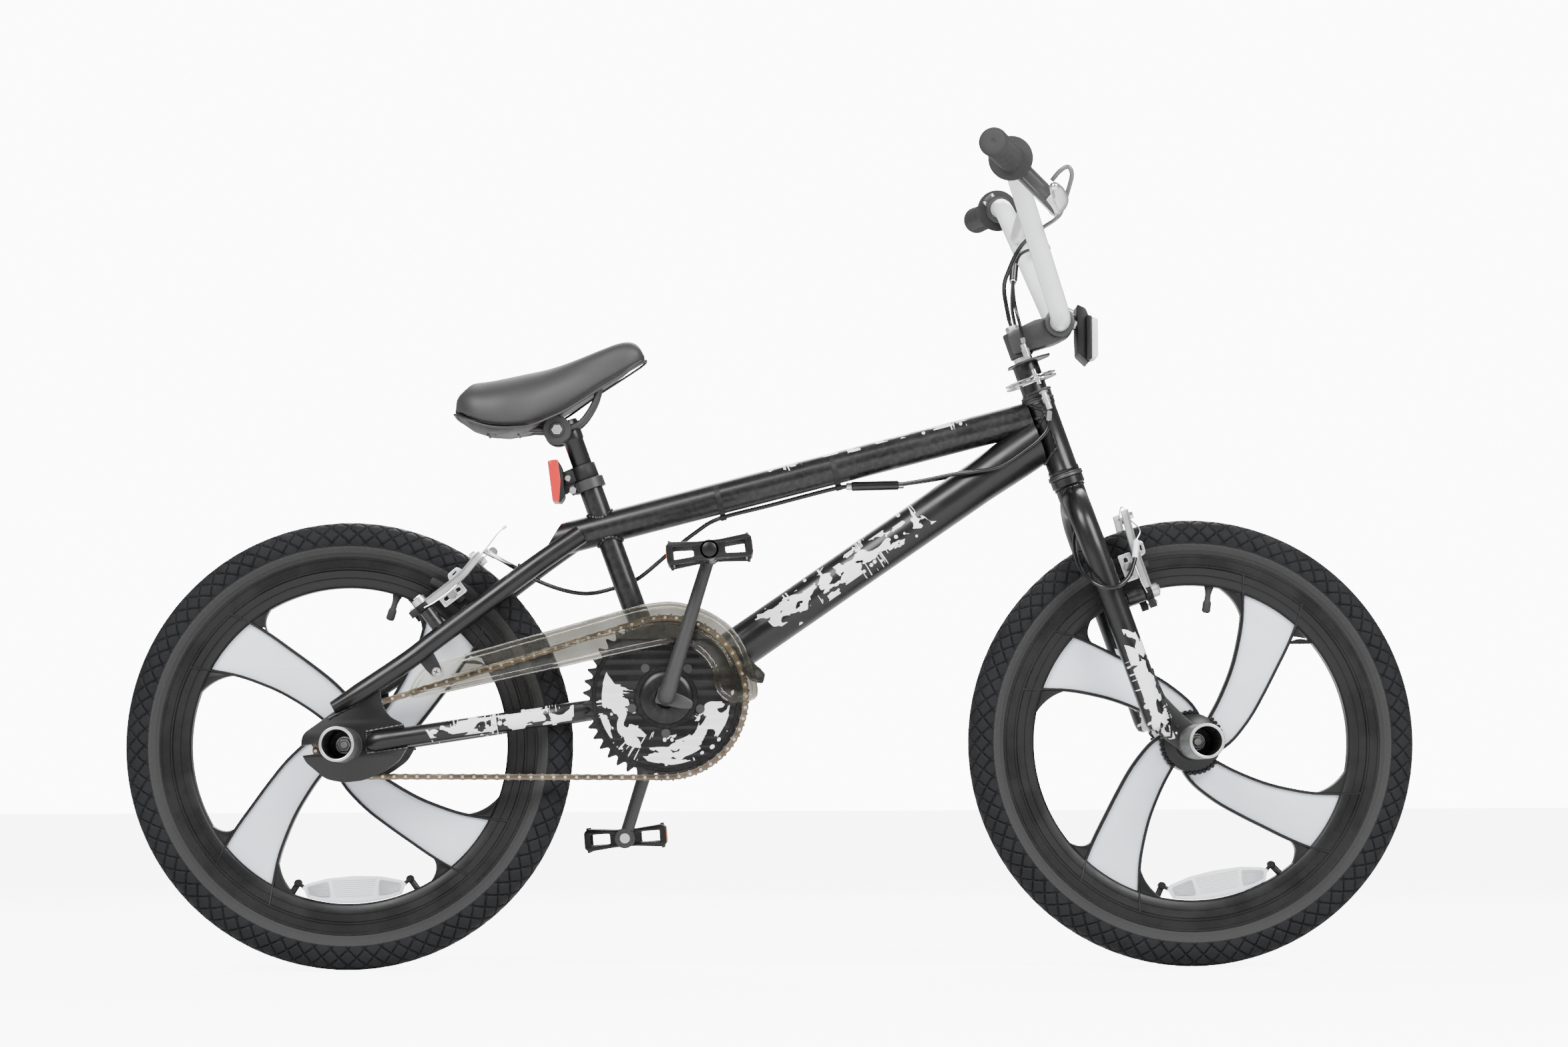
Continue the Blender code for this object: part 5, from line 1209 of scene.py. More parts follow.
class BMX_OT_seat_post(bpy.types.Operator):
    """Build the seat clamp, the post, its clamp head and the red reflector with its bracket"""

    bl_idname = "bmx.seat_post"
    bl_label = "Seat post"

    def execute(self, context):
        clamp = Shape()
        clamp.turn([(0.0137, 0.2505), (0.0174, 0.2505), (0.0178, 0.2510), (0.0178, 0.2620), (0.0174, 0.2625),
                    (0.0137, 0.2625)], 0, SEAT, 64)
        ear = [(-0.0225, 0.2515), (-0.0140, 0.2510), (-0.0140, 0.2622), (-0.0225, 0.2616)]
        clamp.plate([rounded(ear, 0.0018)], -0.0068, -0.0016, 0, SEAT, 0.0006)
        clamp.plate([rounded(ear, 0.0018)], 0.0016, 0.0068, 0, SEAT, 0.0006)
        clamp.rod((-0.0195, -0.0110, 0.2565), (-0.0195, 0.0100, 0.2565), 0.0026, 1, SEAT)
        clamp.nut((-0.0195, -0.0068, 0.2565), (-0.0195, -0.0112, 0.2565), 0.0046, 1, SEAT)
        clamp.nut((-0.0195, 0.0068, 0.2565), (-0.0195, 0.0108, 0.2565), 0.0046, 1, SEAT)
        clamp.made("seat_clamp_collar", ["black_metal", "brushed_metal"], "frame", "black_metal",
                   "seat_clamp")

        post = Shape()
        post.turn([(0, 0.130), (0.0108, 0.130), (0.0114, 0.1306), (0.0114, 0.3085), (0.0124, 0.3100),
                   (0.0126, 0.3110), (0.0126, 0.3300), (0.0118, 0.3330), (0, 0.3335)], 0, SEAT, 56)
        pivot_y = SADDLE_PIVOT
        post.rod(pivot_y + Vector((0, -0.0114, 0)), pivot_y + Vector((0, 0.0114, 0)), 0.0130, 0, None, 48)
        for k in range(40):
            tooth = at(pivot_y) @ about("Y", 9 * k)
            post.block((0.0124, -0.0113, -0.0006), (0.0134, 0.0113, 0.0006), 0, tooth, 0.0002)
        post.made("seat_post_body", ["satin_black"], "seatpost", "black_paint", "seatpost")

        bracket = Shape()
        bracket.turn([(0.0118, 0.2630), (0.0139, 0.2630), (0.0143, 0.2636), (0.0143, 0.2790),
                      (0.0139, 0.2796),
                      (0.0118, 0.2796)], 1, SEAT, 56)
        bracket.block((-0.0250, -0.0085, 0.2645), (-0.0120, -0.0030, 0.2780), 1, SEAT, 0.0008)
        bracket.block((-0.0250, 0.0030, 0.2645), (-0.0120, 0.0085, 0.2780), 1, SEAT, 0.0008)
        bracket.rod((-0.0205, -0.0100, 0.2712), (-0.0205, 0.0100, 0.2712), 0.0038, 2, SEAT, 24, 0.0008)
        arm = [(-0.2395, 0.5560), (-0.2210, 0.5640), (-0.2190, 0.5450), (-0.2290, 0.5330), (-0.2385, 0.5360)]
        bracket.plate([rounded(arm, 0.003)], -0.0060, 0.0060, 1, None, 0.0008)
        bracket.rod((-0.2275, -0.0068, 0.5505), (-0.2275, 0.0068, 0.5505), 0.0030, 2, None, 20, 0.0006)
        back = [(-0.2399, 0.5724), (-0.2339, 0.5640), (-0.2322, 0.5450), (-0.2310, 0.5296),
                (-0.2356, 0.5232), (-0.2400, 0.5250)]
        bracket.plate([rounded(back, 0.003)], -0.0215, 0.0215, 1, None, 0.0012)
        lens = [(-0.2504, 0.5702), (-0.2452, 0.5716), (-0.2385, 0.5718), (-0.2352, 0.5480), (-0.2368, 0.5240),
                (-0.2446, 0.5240)]
        bracket.plate([rounded(lens, 0.002)], -0.0220, 0.0220, 0, None, 0.0014)
        bracket.made("rear_reflector_body", ["red_lens", "base_plastic", "brushed_metal"], "seatpost",
                     "red_lens", "rear_reflector")
        return {"FINISHED"}


SADDLE_SECTIONS = [
    # x, half width, rim, crown
    (-0.3555, 0.022, 0.6219, 0.6400), (-0.3530, 0.040, 0.6200, 0.6455), (-0.3460, 0.054, 0.6165, 0.6527),
    (-0.3330, 0.064, 0.6108, 0.6583), (-0.3150, 0.068, 0.6052, 0.6612), (-0.2950, 0.069, 0.6035, 0.6647),
    (-0.2700, 0.064, 0.6058, 0.6700), (-0.2500, 0.056, 0.6142, 0.6743), (-0.2300, 0.046, 0.6242, 0.6807),
    (-0.2100, 0.037, 0.6373, 0.6886), (-0.1900, 0.031, 0.6510, 0.6970), (-0.1700, 0.0265, 0.6634, 0.7048),
    (-0.1560, 0.0235, 0.6722, 0.7068), (-0.1450, 0.0185, 0.6792, 0.7015), (-0.1390, 0.0110, 0.6838, 0.6915),
]


def saddle_line(column, places):
    """One column of the saddle's sections, read along a smooth curve at the given x places."""
    line = curve([(row[0], row[column], 0) for row in SADDLE_SECTIONS], 400)
    return np.interp(places, [p.x for p in line], [p.y for p in line])


def saddle_shell(shrink=0.0):
    """The saddle's padded top: crowned sections that roll under at the rim."""
    share = (1 - np.cos(np.linspace(0, math.pi, 61))) / 2
    places = SADDLE_SECTIONS[0][0] + (SADDLE_SECTIONS[-1][0] - SADDLE_SECTIONS[0][0]) * share
    rings = []
    for x, half, rim, top in zip(places, *(saddle_line(column, places) for column in (1, 2, 3))):
        half, rim, top = half - shrink, rim + shrink, top - shrink
        ring = []
        for k in range(44):
            angle = math.tau * k / 44
            cos, sin = math.cos(angle), math.sin(angle)
            y = half * math.copysign(abs(cos) ** 0.75, cos)
            tall = top - rim
            if sin >= 0:
                z = rim + tall * (0.26 + 0.74 * sin**0.82)
            else:
                z = rim + tall * 0.26 * (1 - abs(sin) ** 0.55) + 0.004 * max(abs(sin) - 0.8, 0) * 5
            ring.append((float(x), float(y), float(z)))
        rings.append(ring)
    return Shape().loft(rings)


class BMX_OT_saddle(bpy.types.Operator):
    """Build the saddle: a padded cover filled by a short cloth run, the base, the rails and the clamp"""

    bl_idname = "bmx.saddle"
    bl_label = "Saddle"

    def execute(self, context):
        cover = saddle_shell(0.0015).made("saddle_cover", ["saddle_vinyl"], "saddle", "saddle_vinyl",
                                          "saddle",
                                          smooth=80)
        self.fill(context, cover)

        base = Shape()
        rings = []
        for x, half, low, high in ((-0.3540, 0.020, 0.6230, 0.6290), (-0.3480, 0.044, 0.6150, 0.6250),
                                   (-0.3350, 0.056, 0.6060, 0.6210), (-0.3150, 0.061, 0.5995, 0.6190),
                                   (-0.2950, 0.062, 0.5980, 0.6180), (-0.2750, 0.056, 0.6010, 0.6190),
                                   (-0.2600, 0.047, 0.6080, 0.6215), (-0.2450, 0.038, 0.6180, 0.6290)):
            rings.append([
                (x, half * math.copysign(abs(math.cos(math.tau * k / 28)) ** 0.7,
                                         math.cos(math.tau * k / 28)),
                 (low + high) / 2 + (high - low) / 2 * math.sin(math.tau * k / 28)) for k in range(28)
            ])
        base.loft(rings)
        for k in range(5):
            x = -0.3170 + 0.0085 * k
            base.block((x - 0.0010, -0.0250, 0.5990), (x + 0.0010, 0.0250, 0.6050), 0, None, 0.0004)
        places = np.linspace(-0.3545, -0.1395, 70)
        edge = [Vector((x, y * 0.90, z + 0.0008)) for x, y, z in zip(places, saddle_line(1, places),
                saddle_line(2, places))]
        base.sweep(edge + [Vector((p.x, -p.y, p.z)) for p in reversed(edge)], 0.0014, 1, None, 8, closed=True)
        base.made("saddle_base", ["base_plastic", "black_metal"], "saddle", "saddle_vinyl", smooth=50)

        clamp = Shape()
        for sign in (-1, 1):
            places = [
                (-0.3330, 0.0360, 0.6260), (-0.3180, 0.0330, 0.6150), (-0.2950, 0.0260, 0.6085),
                (-0.2700, 0.0190, 0.6060), (-0.2398, 0.0180, 0.6060), (-0.2150, 0.0165, 0.6120),
                (-0.1980, 0.0140, 0.6350), (-0.1900, 0.0120, 0.6620),
            ]
            clamp.sweep(curve([(x, sign * y, z) for x, y, z in places], 48), 0.0036, 0, None, 16)
            for start, end, radius, look in ((0.0118, 0.0160, 0.0160, 0), (0.0160, 0.0215, 0.0150, 0),
                                             (0.0215, 0.0262, 0.0160, 0), (0.0262, 0.0285, 0.0085, 0),
                                             (0.0285, 0.0300, 0.0055, 1)):
                here = SADDLE_PIVOT
                clamp.rod(here + Vector((0, sign * start, 0)), here + Vector((0, sign * end, 0)), radius,
                          look,
                          None, 48, 0.0008)
            ear = [(-0.0140, 0.002), (-0.0150, 0.0110), (0.0120, 0.0120), (0.0150, 0.0020)]
            low, high = sorted((sign * 0.0122, sign * 0.0250))
            clamp.plate([rounded(ear, 0.003)], low, high, 0, at(SADDLE_PIVOT), 0.0008)
            clamp.nut(SADDLE_PIVOT + Vector((0, sign * 0.0285, 0)), SADDLE_PIVOT
                      + Vector((0, sign * 0.0318, 0)),
                      0.0062, 1)
        clamp.rod(SADDLE_PIVOT + Vector((0, -0.030, 0)), SADDLE_PIVOT + Vector((0, 0.030, 0)), 0.0040, 1)
        clamp.made("saddle_clamp_rails", ["black_metal", "brushed_metal"], "saddle", "black_metal",
                   "saddle_clamp")
        return {"FINISHED"}

    def fill(self, context, cover):
        """Swells the cover with a short cloth run, limits how far it moves and smooths the result."""
        rest = [v.co.copy() for v in cover.data.vertices]
        cloth = cover.modifiers.new("Fill", "CLOTH")
        cloth.settings.use_pressure = True
        cloth.settings.uniform_pressure_force = 3.0
        cloth.settings.tension_stiffness = cloth.settings.compression_stiffness = 40
        cloth.settings.bending_stiffness = 6
        cloth.settings.effector_weights.gravity = 0
        for number in range(1, 15):
            context.scene.frame_set(number)
        shape = cover.evaluated_get(context.evaluated_depsgraph_get()).to_mesh()
        swollen = [v.co.copy() for v in shape.vertices]
        cover.modifiers.remove(cloth)
        context.scene.frame_set(1)
        for vertex, start, end in zip(cover.data.vertices, rest, swollen):
            move = end - start
            vertex.co = start + move * min(1.0, 0.0022 / max(move.length, 1e-9))
        cover.modifiers.new("Rounding", "SUBSURF").render_levels = 1


# Drivetrain


def chain_line():
    """The closed pitch line of the chain and the angle at which it first touches the chainring."""
    ring, cog = Vector((BRACKET.x, BRACKET.z)), Vector((REAR_AXLE.x, REAR_AXLE.z))
    line = math.atan2(ring.y - cog.y, ring.x - cog.x)
    spread = math.asin((RING_RADIUS - COG_RADIUS) / (ring - cog).length)
    upper, lower = line + spread + math.pi / 2, line - spread - math.pi / 2
    points = []
    for centre, radius, start, end in ((ring, RING_RADIUS, upper, lower),
                                       (cog, COG_RADIUS, lower + math.tau, upper)):
        for k in range(161):
            angle = start + (end - start) * k / 160
            points.append(Vector((centre.x + radius * math.cos(angle), CHAIN_LINE, centre.y + radius
                                  * math.sin(angle))))
    return points + [points[0]], upper


def toothed(radius, teeth, phase, rise=0.0042):
    """A sprocket's edge: a valley at the phase angle and a tooth between each two valleys."""
    steps = ((0.0, -0.0038), (0.12, -0.0033), (0.26, -0.0004), (0.36, rise * 0.62), (0.45, rise),
             (0.55, rise), (0.64, rise * 0.62), (0.74, -0.0004), (0.88, -0.0033))
    outline = []
    for tooth in range(teeth):
        for share, high in steps:
            angle = phase + math.tau * (tooth + share) / teeth
            outline.append(((radius + high) * math.cos(angle), (radius + high) * math.sin(angle)))
    return outline


class BMX_OT_chain(bpy.types.Operator):
    """Build the chain link by link along its pitch line"""

    bl_idname = "bmx.chain"
    bl_label = "Chain"

    def execute(self, context):
        width = context.scene.bmx_bike.link_width / 2
        line, _ = chain_line()
        length = sum((b - a).length for a, b in zip(line, line[1:]))
        count = 2 * round(length / 0.0127 / 2)
        pins = even(line, count)
        pitch = length / count
        peanut = []
        for k in range(28):
            angle = math.tau * k / 28
            cos, sin = math.cos(angle), math.sin(angle)
            x = cos * (pitch / 2 + width) * (0.78 + 0.22 * abs(cos))
            waist = 0.70 + 0.30 * min(abs(x) / (pitch / 2), 1.0) ** 2
            peanut.append((x, width * math.copysign(abs(sin) ** 0.72, sin) * waist))
        link = Shape().plate([peanut], -0.0005, 0.0005, 0, None, 0.0002)
        chain = Shape()
        for k in range(count):
            start, end = pins[k], pins[(k + 1) % count]
            middle = (start + end) / 2
            turn = math.degrees(-math.atan2(end.z - start.z, end.x - start.x))
            offset = 0.0034 if k % 2 else 0.0023
            for sign in (-1, 1):
                place = at(middle + Vector((0, sign * offset, 0))) @ about("Y", turn)
                chain.add(link.points, link.faces, 0, place)
            chain.rod(start + Vector((0, -0.0045, 0)), start + Vector((0, 0.0045, 0)), 0.0018, 1, None, 10,
                      0.0003)
            chain.rod(start + Vector((0, -0.0019, 0)), start + Vector((0, 0.0019, 0)), 0.0038, 1, None, 12,
                      0.0002)
        chain.made("chain_links", ["chain_plate", "brushed_metal"], "frame", "chain_metal", "chain")
        return {"FINISHED"}


class BMX_OT_crank(bpy.types.Operator):
    """Build the one-piece crank, the chainring, the freewheel and the bracket's bearings"""

    bl_idname = "bmx.crank"
    bl_label = "Crank and sprockets"

    def execute(self, context):
        line, phase = chain_line()
        length = abs(CRANK_ARM.xz.length)
        half = [(0.0, 0.0), (0.0400, 0), (0.0540, 0.0008), (0.0595, 0.0042), (0.0640, 0.0120),
                (0.0665, 0.0230),
                (0.0685, 0.0450), (0.0705, 0.0800), (0.0722, 0.1150), (0.0740, length)]
        thick = [0.0112, 0.0112, 0.0104, 0.0094, 0.0086, 0.0082, 0.0078, 0.0075, 0.0073, 0.0072]
        arms = Shape()
        for sign in (-1, 1):
            path = curve([(0, sign * y, -sign * z) for y, z in half], 72)
            sizes = [p.x for p in curve([(r, k, 0) for k, r in enumerate(thick)], 72)]
            arms.sweep(path, sizes, 0, CRANK, 28)
            up = -sign * length
            eye = [(0.0040, 0.0668), (0.0108, 0.0668), (0.0116, 0.0676), (0.0116, 0.0802), (0.0108, 0.0810),
                   (0.0040, 0.0810)]
            arms.turn(eye, 0, CRANK @ at(0, 0, up) @ about("X", -90 * sign), 40)
            pin = CRANK @ at(0, 0, up) @ about("X", -90 * sign)
            arms.turn([(0, 0.070), (0.0060, 0.070), (0.0060, 0.083), (0.0050, 0.084), (0.0050, 0.180),
                       (0.0042, 0.1808), (0, 0.1808)], 1, pin, 24)
            arms.nut((0, sign * 0.0822, up), (0, sign * 0.0850, up), 0.0088, 1, CRANK)
            arms.rod((0, sign * 0.0660, up), (0, sign * 0.0672, up), 0.0058, 1, CRANK, 24, 0.0004)
        arms.rod((0.0245, -0.0475, 0.0), (0.0245, -0.0400, 0.0), 0.0048, 1, CRANK, 24, 0.0010)
        arms.plate([rounded([(-0.011, -0.010), (-0.011, 0.010), (0.020, 0.0075), (0.031, 0.0045),
                             (0.031, -0.0045),
                             (0.020, -0.0075)], 0.004)], -0.0580, -0.0480, 0, CRANK, 0.0018)
        arms.made("crank_arms", ["black_metal", "brushed_metal"], "crank", "black_metal", "crank")

        ring = Shape()
        low, high = CHAIN_LINE - 0.0016, CHAIN_LINE + 0.0016
        place = at(BRACKET.x, 0, BRACKET.z)
        edge = toothed(RING_RADIUS, RING_TEETH, phase)
        ring.plate([edge, circle(0, 0, 0.0128, 48)], low, high, 0, place, 0.0004)
        for inner, outer, rise in ((0.0790, 0.0822, 0.0007), (0.0300, 0.0345, 0.0010)):
            profile = [(inner, low - rise), (outer, low - rise), (outer + 0.0008, low),
                       (outer + 0.0008, high),
                       (outer, high + rise), (inner, high + rise), (inner - 0.0008, high),
                       (inner - 0.0008, low)]
            ring.turn([(r, -h) for r, h in profile], 0, place @ about("X", 90), 96)
        boss = [(0.0125, low), (0.0300, low), (0.0290, low - 0.0012), (0.0240, low - 0.0030),
                (0.0125, low - 0.0032)]
        ring.turn([(r, -h) for r, h in boss], 0, place @ about("X", 90), 64)
        for k in range(5):
            turn = math.radians(CRANK_TURN + 36 + 72 * k)
            x, z = 0.0400 * math.cos(turn), 0.0400 * math.sin(turn)
            ring.rod((x, low - 0.0010, z), (x, low + 0.001, z), 0.0052, 1, place, 20, 0.0005)
        ring.made("chainring_plate", ["black_metal-ring", "black_metal"], "crank", "chainring_paint",
                  "chainring")

        cog = Shape()
        centre = at(REAR_AXLE)
        pins = even(line, 2 * round(sum((b - a).length for a, b in zip(line, line[1:])) / 0.0254))
        nearest = min(pins, key=lambda p: abs((p - REAR_AXLE).xz.length - COG_RADIUS)
                      + abs(p.z - REAR_AXLE.z) * 0.2)
        start = math.atan2(nearest.z - REAR_AXLE.z, nearest.x - REAR_AXLE.x)
        cog.plate([toothed(COG_RADIUS, COG_TEETH, start, 0.0040), circle(0, 0, 0.0180, 40)], -0.0466, -0.0434,
                  0,
                  centre, 0.0004)
        body = [(0.0178, 0.0300), (0.0272, 0.0300), (0.0276, 0.0304), (0.0276, 0.0440), (0.0268, 0.0478),
                (0.0218, 0.0488), (0.0216, 0.0490), (0.0178, 0.0490)]
        cog.turn(body, 0, centre @ about("X", 90), 56)
        cog.turn([(0.0182, 0.0480), (0.0250, 0.0480), (0.0250, 0.0492), (0.0182, 0.0494)], 1,
                 centre @ about("X", 90), 56)
        for k in range(4):
            turn = math.radians(20 + 90 * k)
            x, z = 0.0205 * math.cos(turn), 0.0205 * math.sin(turn)
            cog.rod((x, -0.0498, z), (x, -0.0480, z), 0.0020, 0, centre, 12, 0.0003)
        cog.made("freewheel_body", ["black_metal", "brushed_metal"], "freewheel", "black_metal", "freewheel")

        bearings = Shape()
        place = at(BRACKET)
        for sign in (-1, 1):
            cup = [(0.0135, 0.0250), (0.0210, 0.0250), (0.0212, 0.0340), (0.0238, 0.0343), (0.0242, 0.0350),
                   (0.0236, 0.0372), (0.0135, 0.0375)]
            bearings.turn(cup, 0, place @ about("X", -90 * sign), 56)
            bearings.nut((0, sign * 0.0372, 0), (0, sign * 0.0398, 0), 0.0190, 0, place)
        bearings.rod((0, -0.030, 0), (0, 0.030, 0), 0.0140, 0, place, 24)
        bearings.made("bracket_bearings", ["black_metal"], "frame", "black_metal", "bb_bearings")
        return {"FINISHED"}


class BMX_OT_guard(bpy.types.Operator):
    """Build the smoky chain guard with its folded edge, its long rib and its bolts"""

    bl_idname = "bmx.guard"
    bl_label = "Chain guard"

    def execute(self, context):
        outline = [
            (-0.4047, 0.3031), (-0.3979, 0.3217), (-0.3889, 0.3336), (-0.3784, 0.3417),
            (-0.3680, 0.3432), (-0.2546, 0.3748), (-0.1412, 0.4064), (-0.1084, 0.4100),
            (-0.0719, 0.4002), (-0.0414, 0.3799), (-0.0236, 0.3463), (-0.0156, 0.3150),
            (-0.0156, 0.3023), (-0.0313, 0.2972), (-0.0469, 0.2972), (-0.0596, 0.3077),
            (-0.0633, 0.3182), (-0.0632, 0.3308), (-0.0721, 0.3465), (-0.0877, 0.3592),
            (-0.1056, 0.3645), (-0.1339, 0.3594), (-0.1906, 0.3477), (-0.2391, 0.3367),
            (-0.3681, 0.3089),
        ]
        edge = rounded(outline, 0.016, 8)
        guard = Shape()
        guard.plate([edge], -0.0532, -0.0516, 0, None, 0.0005)
        rim = [Vector((x, -0.0527, z)) for x, z in even_steps(edge, 220)]
        guard.sweep(rim[:-1], 0.0011, 0, None, 8, closed=True)
        inner = inset(edge, 0.0052)
        path = [Vector((x, -0.0530, z)) for x, z in even_steps(inner, 200)]
        guard.sweep(path[:-1], 0.0009, 0, None, 8, closed=True)
        rib = curve([(-0.3560, -0.0531, 0.3275), (-0.2700, -0.0531, 0.3505), (-0.1700, -0.0531, 0.3760),
                     (-0.1180, -0.0531, 0.3862), (-0.0800, -0.0531, 0.3775), (-0.0560, -0.0531, 0.3600),
                     (-0.0430, -0.0531, 0.3380)], 70)
        guard.sweep(rib, 0.0016, 0, None, 10)
        for x, z in ((-0.3724, 0.3320), (-0.0180, 0.3290)):
            guard.turn([(0.0055, 0.0528), (0.0088, 0.0528), (0.0084, 0.0538), (0.0058, 0.0540)], 0,
                       at(x, 0, z) @ about("X", 90), 32)
        guard.made("chain_guard_sheet", ["smoky_guard"], "frame", "guard_plastic", "chain_guard")
        return {"FINISHED"}


class BMX_OT_pedals(bpy.types.Operator):
    """Build the platform pedals: end plates, studded rails, barrel and amber reflectors"""

    bl_idname = "bmx.pedals"
    bl_label = "Pedals"

    def execute(self, context):
        for name, sign in SIDES.items():
            spin = pivot(f"pedal_{name}_spin")
            holder = at(spin.x, 0, spin.z) @ about("Y", {"right": -6.4, "left": -4.0}[name])
            pedal = Shape()
            outline = [
                (-0.0470, -0.0090), (-0.0430, -0.0130), (-0.0120, -0.0100), (0.0120, -0.0100),
                    (0.0430, -0.0130),
                (0.0470, -0.0090), (0.0470, 0.0090), (0.0430, 0.0130), (0.0120, 0.0100), (-0.0120, 0.0100),
                (-0.0430, 0.0130), (-0.0470, 0.0090),
            ]
            edge = rounded(outline, 0.0025)
            windows = []
            for side in (-1, 1):
                window = [(side * 0.0175, -0.0058), (side * 0.0395, -0.0072), (side * 0.0395, 0.0072),
                          (side * 0.0175, 0.0058)]
                windows.append(rounded(window, 0.0018))
            for start in (0.0880, 0.1780):
                low, high = sorted((sign * start, sign * (start + 0.0050)))
                pedal.plate([edge, *windows], low, high, 0, holder, 0.0008)
            low, high = sorted((sign * 0.0890, sign * 0.1820))
            for side in (-1, 1):
                rail = [(side * 0.0470, -0.0092), (side * 0.0425, -0.0128), (side * 0.0385, -0.0105),
                        (side * 0.0425, -0.0078), (side * 0.0425, 0.0078), (side * 0.0385, 0.0105),
                        (side * 0.0425, 0.0128), (side * 0.0470, 0.0092)]
                pedal.plate([rounded(rail, 0.0012)], low, high, 0, holder, 0.0008)
                for k in range(4):
                    y = sign * (0.0960 + 0.0262 * k)
                    for up in (-1, 1):
                        pedal.rod((side * 0.0425, y, up * 0.0110), (side * 0.0425, y, up * 0.0142), 0.0018, 0,
                                  holder, 10, 0.0004)
                lens_low, lens_high = sorted((sign * 0.1080, sign * 0.1630))
                pedal.plate([rounded([(side * 0.0462, -0.0068), (side * 0.0476, -0.0068),
                                      (side * 0.0476, 0.0068),
                                      (side * 0.0462, 0.0068)], 0.0004)], lens_low, lens_high, 1, holder,
                            0.0004)
            barrel = [(0.0072, 0.0895), (0.0108, 0.0895), (0.0108, 0.1010), (0.0090, 0.1060),
                      (0.0090, 0.1640),
                      (0.0108, 0.1690), (0.0108, 0.1825), (0.0100, 0.1830), (0.0072, 0.1830)]
            pedal.turn(barrel, 0, holder @ about("X", -90 * sign), 40)
            pedal.turn([(0.0, 0.1800), (0.0080, 0.1800), (0.0080, 0.1842), (0.0070, 0.1848), (0.0, 0.1848)],
                       0,
                       holder @ about("X", -90 * sign), 32)
            for y in (0.1130, 0.1355, 0.1580):
                low, high = sorted((sign * (y - 0.0022), sign * (y + 0.0022)))
                for up in (-1, 1):
                    strut = [(-0.0430, up * 0.0060), (-0.0430, up * 0.0085), (0.0430, up * 0.0085),
                             (0.0430, up * 0.0060)]
                    pedal.plate([strut], low, high, 0, holder, 0.0006)
            pedal.made(f"pedal_body_{name}", ["black_nylon", "amber_lens"], f"pedal_{name}", "pedal_nylon",
                       f"pedal_{name}")
        return {"FINISHED"}


# Fork, brakes and controls


class BMX_OT_fork(bpy.types.Operator):
    """Build the fork: crown, legs, axle plates and brake bosses"""

    bl_idname = "bmx.fork"
    bl_label = "Fork"

    def execute(self, context):
        steerer = Shape()
        steerer.turn([
            (0.0112, -0.0450), (0.0152, -0.0450), (0.0158, -0.0444), (0.0165, -0.0390), (0.0165, -0.0130),
            (0.0190, -0.0102), (0.0190, -0.0022), (0.0186, -0.0018), (0.0127, -0.0018), (0.0127, 0.0953),
            (0.0150, 0.0953), (0.0150, 0.1352), (0.0112, 0.1352),
        ], 0, STEER, 56)
        steerer.made("fork_steerer_tube", ["satin_black"], "steering", "black_paint", "fork_steerer")
        for name, sign in SIDES.items():
            leg = Shape()
            places = [
                (0, 0.004, -0.0275), (0, 0.014, -0.0280), (-0.001, 0.028, -0.0320), (-0.002, 0.0425, -0.0410),
                (-0.003, 0.0530, -0.0570), (-0.003, 0.0572, -0.0800), (-0.003, 0.0585, -0.1100),
                (-0.003, 0.0585, -0.2300), (-0.003, 0.0585, -0.3040),
            ]
            path = curve([(x, sign * y, z) for x, y, z in places], 70)
            sizes = [0.0143] * 71
            for back, share in ((0, 0.55), (1, 0.86), (2, 0.96)):
                sizes[70 - back] = 0.0143 * share
            path[70] = path[69] + Vector((0, 0, -0.0028))
            leg.sweep(path, sizes, 0, STEER, 36)
            axle_x, axle_z = 0.0297, -0.3299
            outline = [(-0.0060, -0.2350), (-0.0060, -0.3080), (0.0120, -0.3350), (0.0180, -0.3460)]
            outline += [(axle_x + 0.0195 * math.cos(math.radians(a)), axle_z + 0.0195
                         * math.sin(math.radians(a)))
                        for a in range(-75, 90, 15)]
            outline += [(0.0280, -0.2990), (0.0150, -0.2700), (0.0125, -0.2350)]
            low, high = sorted((sign * 0.0503, sign * 0.0550))
            leg.plate([rounded(outline, 0.003), circle(axle_x, axle_z, 0.0054)], low, high, 0, STEER, 0.0006)
            for x, z in ((0.0120, -0.2860), (0.0170, -0.3060)):
                leg.rod((x, sign * 0.0545, z), (x, sign * 0.0566, z), 0.0026, 1, STEER, 16, 0.0005)
            seam = [(0.0118, -0.236), (0.0119, -0.300), (0.0060, -0.3155), (-0.0060, -0.3120)]
            path = even([(x, sign * 0.0560, z) for x, z in seam], 46)
            leg.sweep(path, [0.0013 * (1 + 0.2 * math.sin(k * 1.3)) for k in range(47)], 1, STEER, 8)
            y = sign * 0.046
            leg.rod((-0.006, y, 0), (0.0345, y, 0), 0.0062, 0, FRONT_BRAKE, 24)
            leg.rod((0.0130, y, 0), (0.0335, y, 0), 0.0080, 0, FRONT_BRAKE, 24)
            leg.rod((0.0335, y, 0), (0.0425, y, 0), 0.0030, 1, FRONT_BRAKE, 16)
            ring = [(0.0166 * math.cos(math.tau * k / 30), 0.0166 * math.sin(math.tau * k / 30))
                    for k in range(30)]
            if name == "right":
                leg.weld([STEER @ Vector((x, y, -0.0135)) for x, y in ring], 0.0012, 0)
            leg.made(f"fork_leg_tube_{name}", ["satin_black-fork", "weld_black"], "steering", "black_paint",
                     f"fork_leg_{name}")
        return {"FINISHED"}


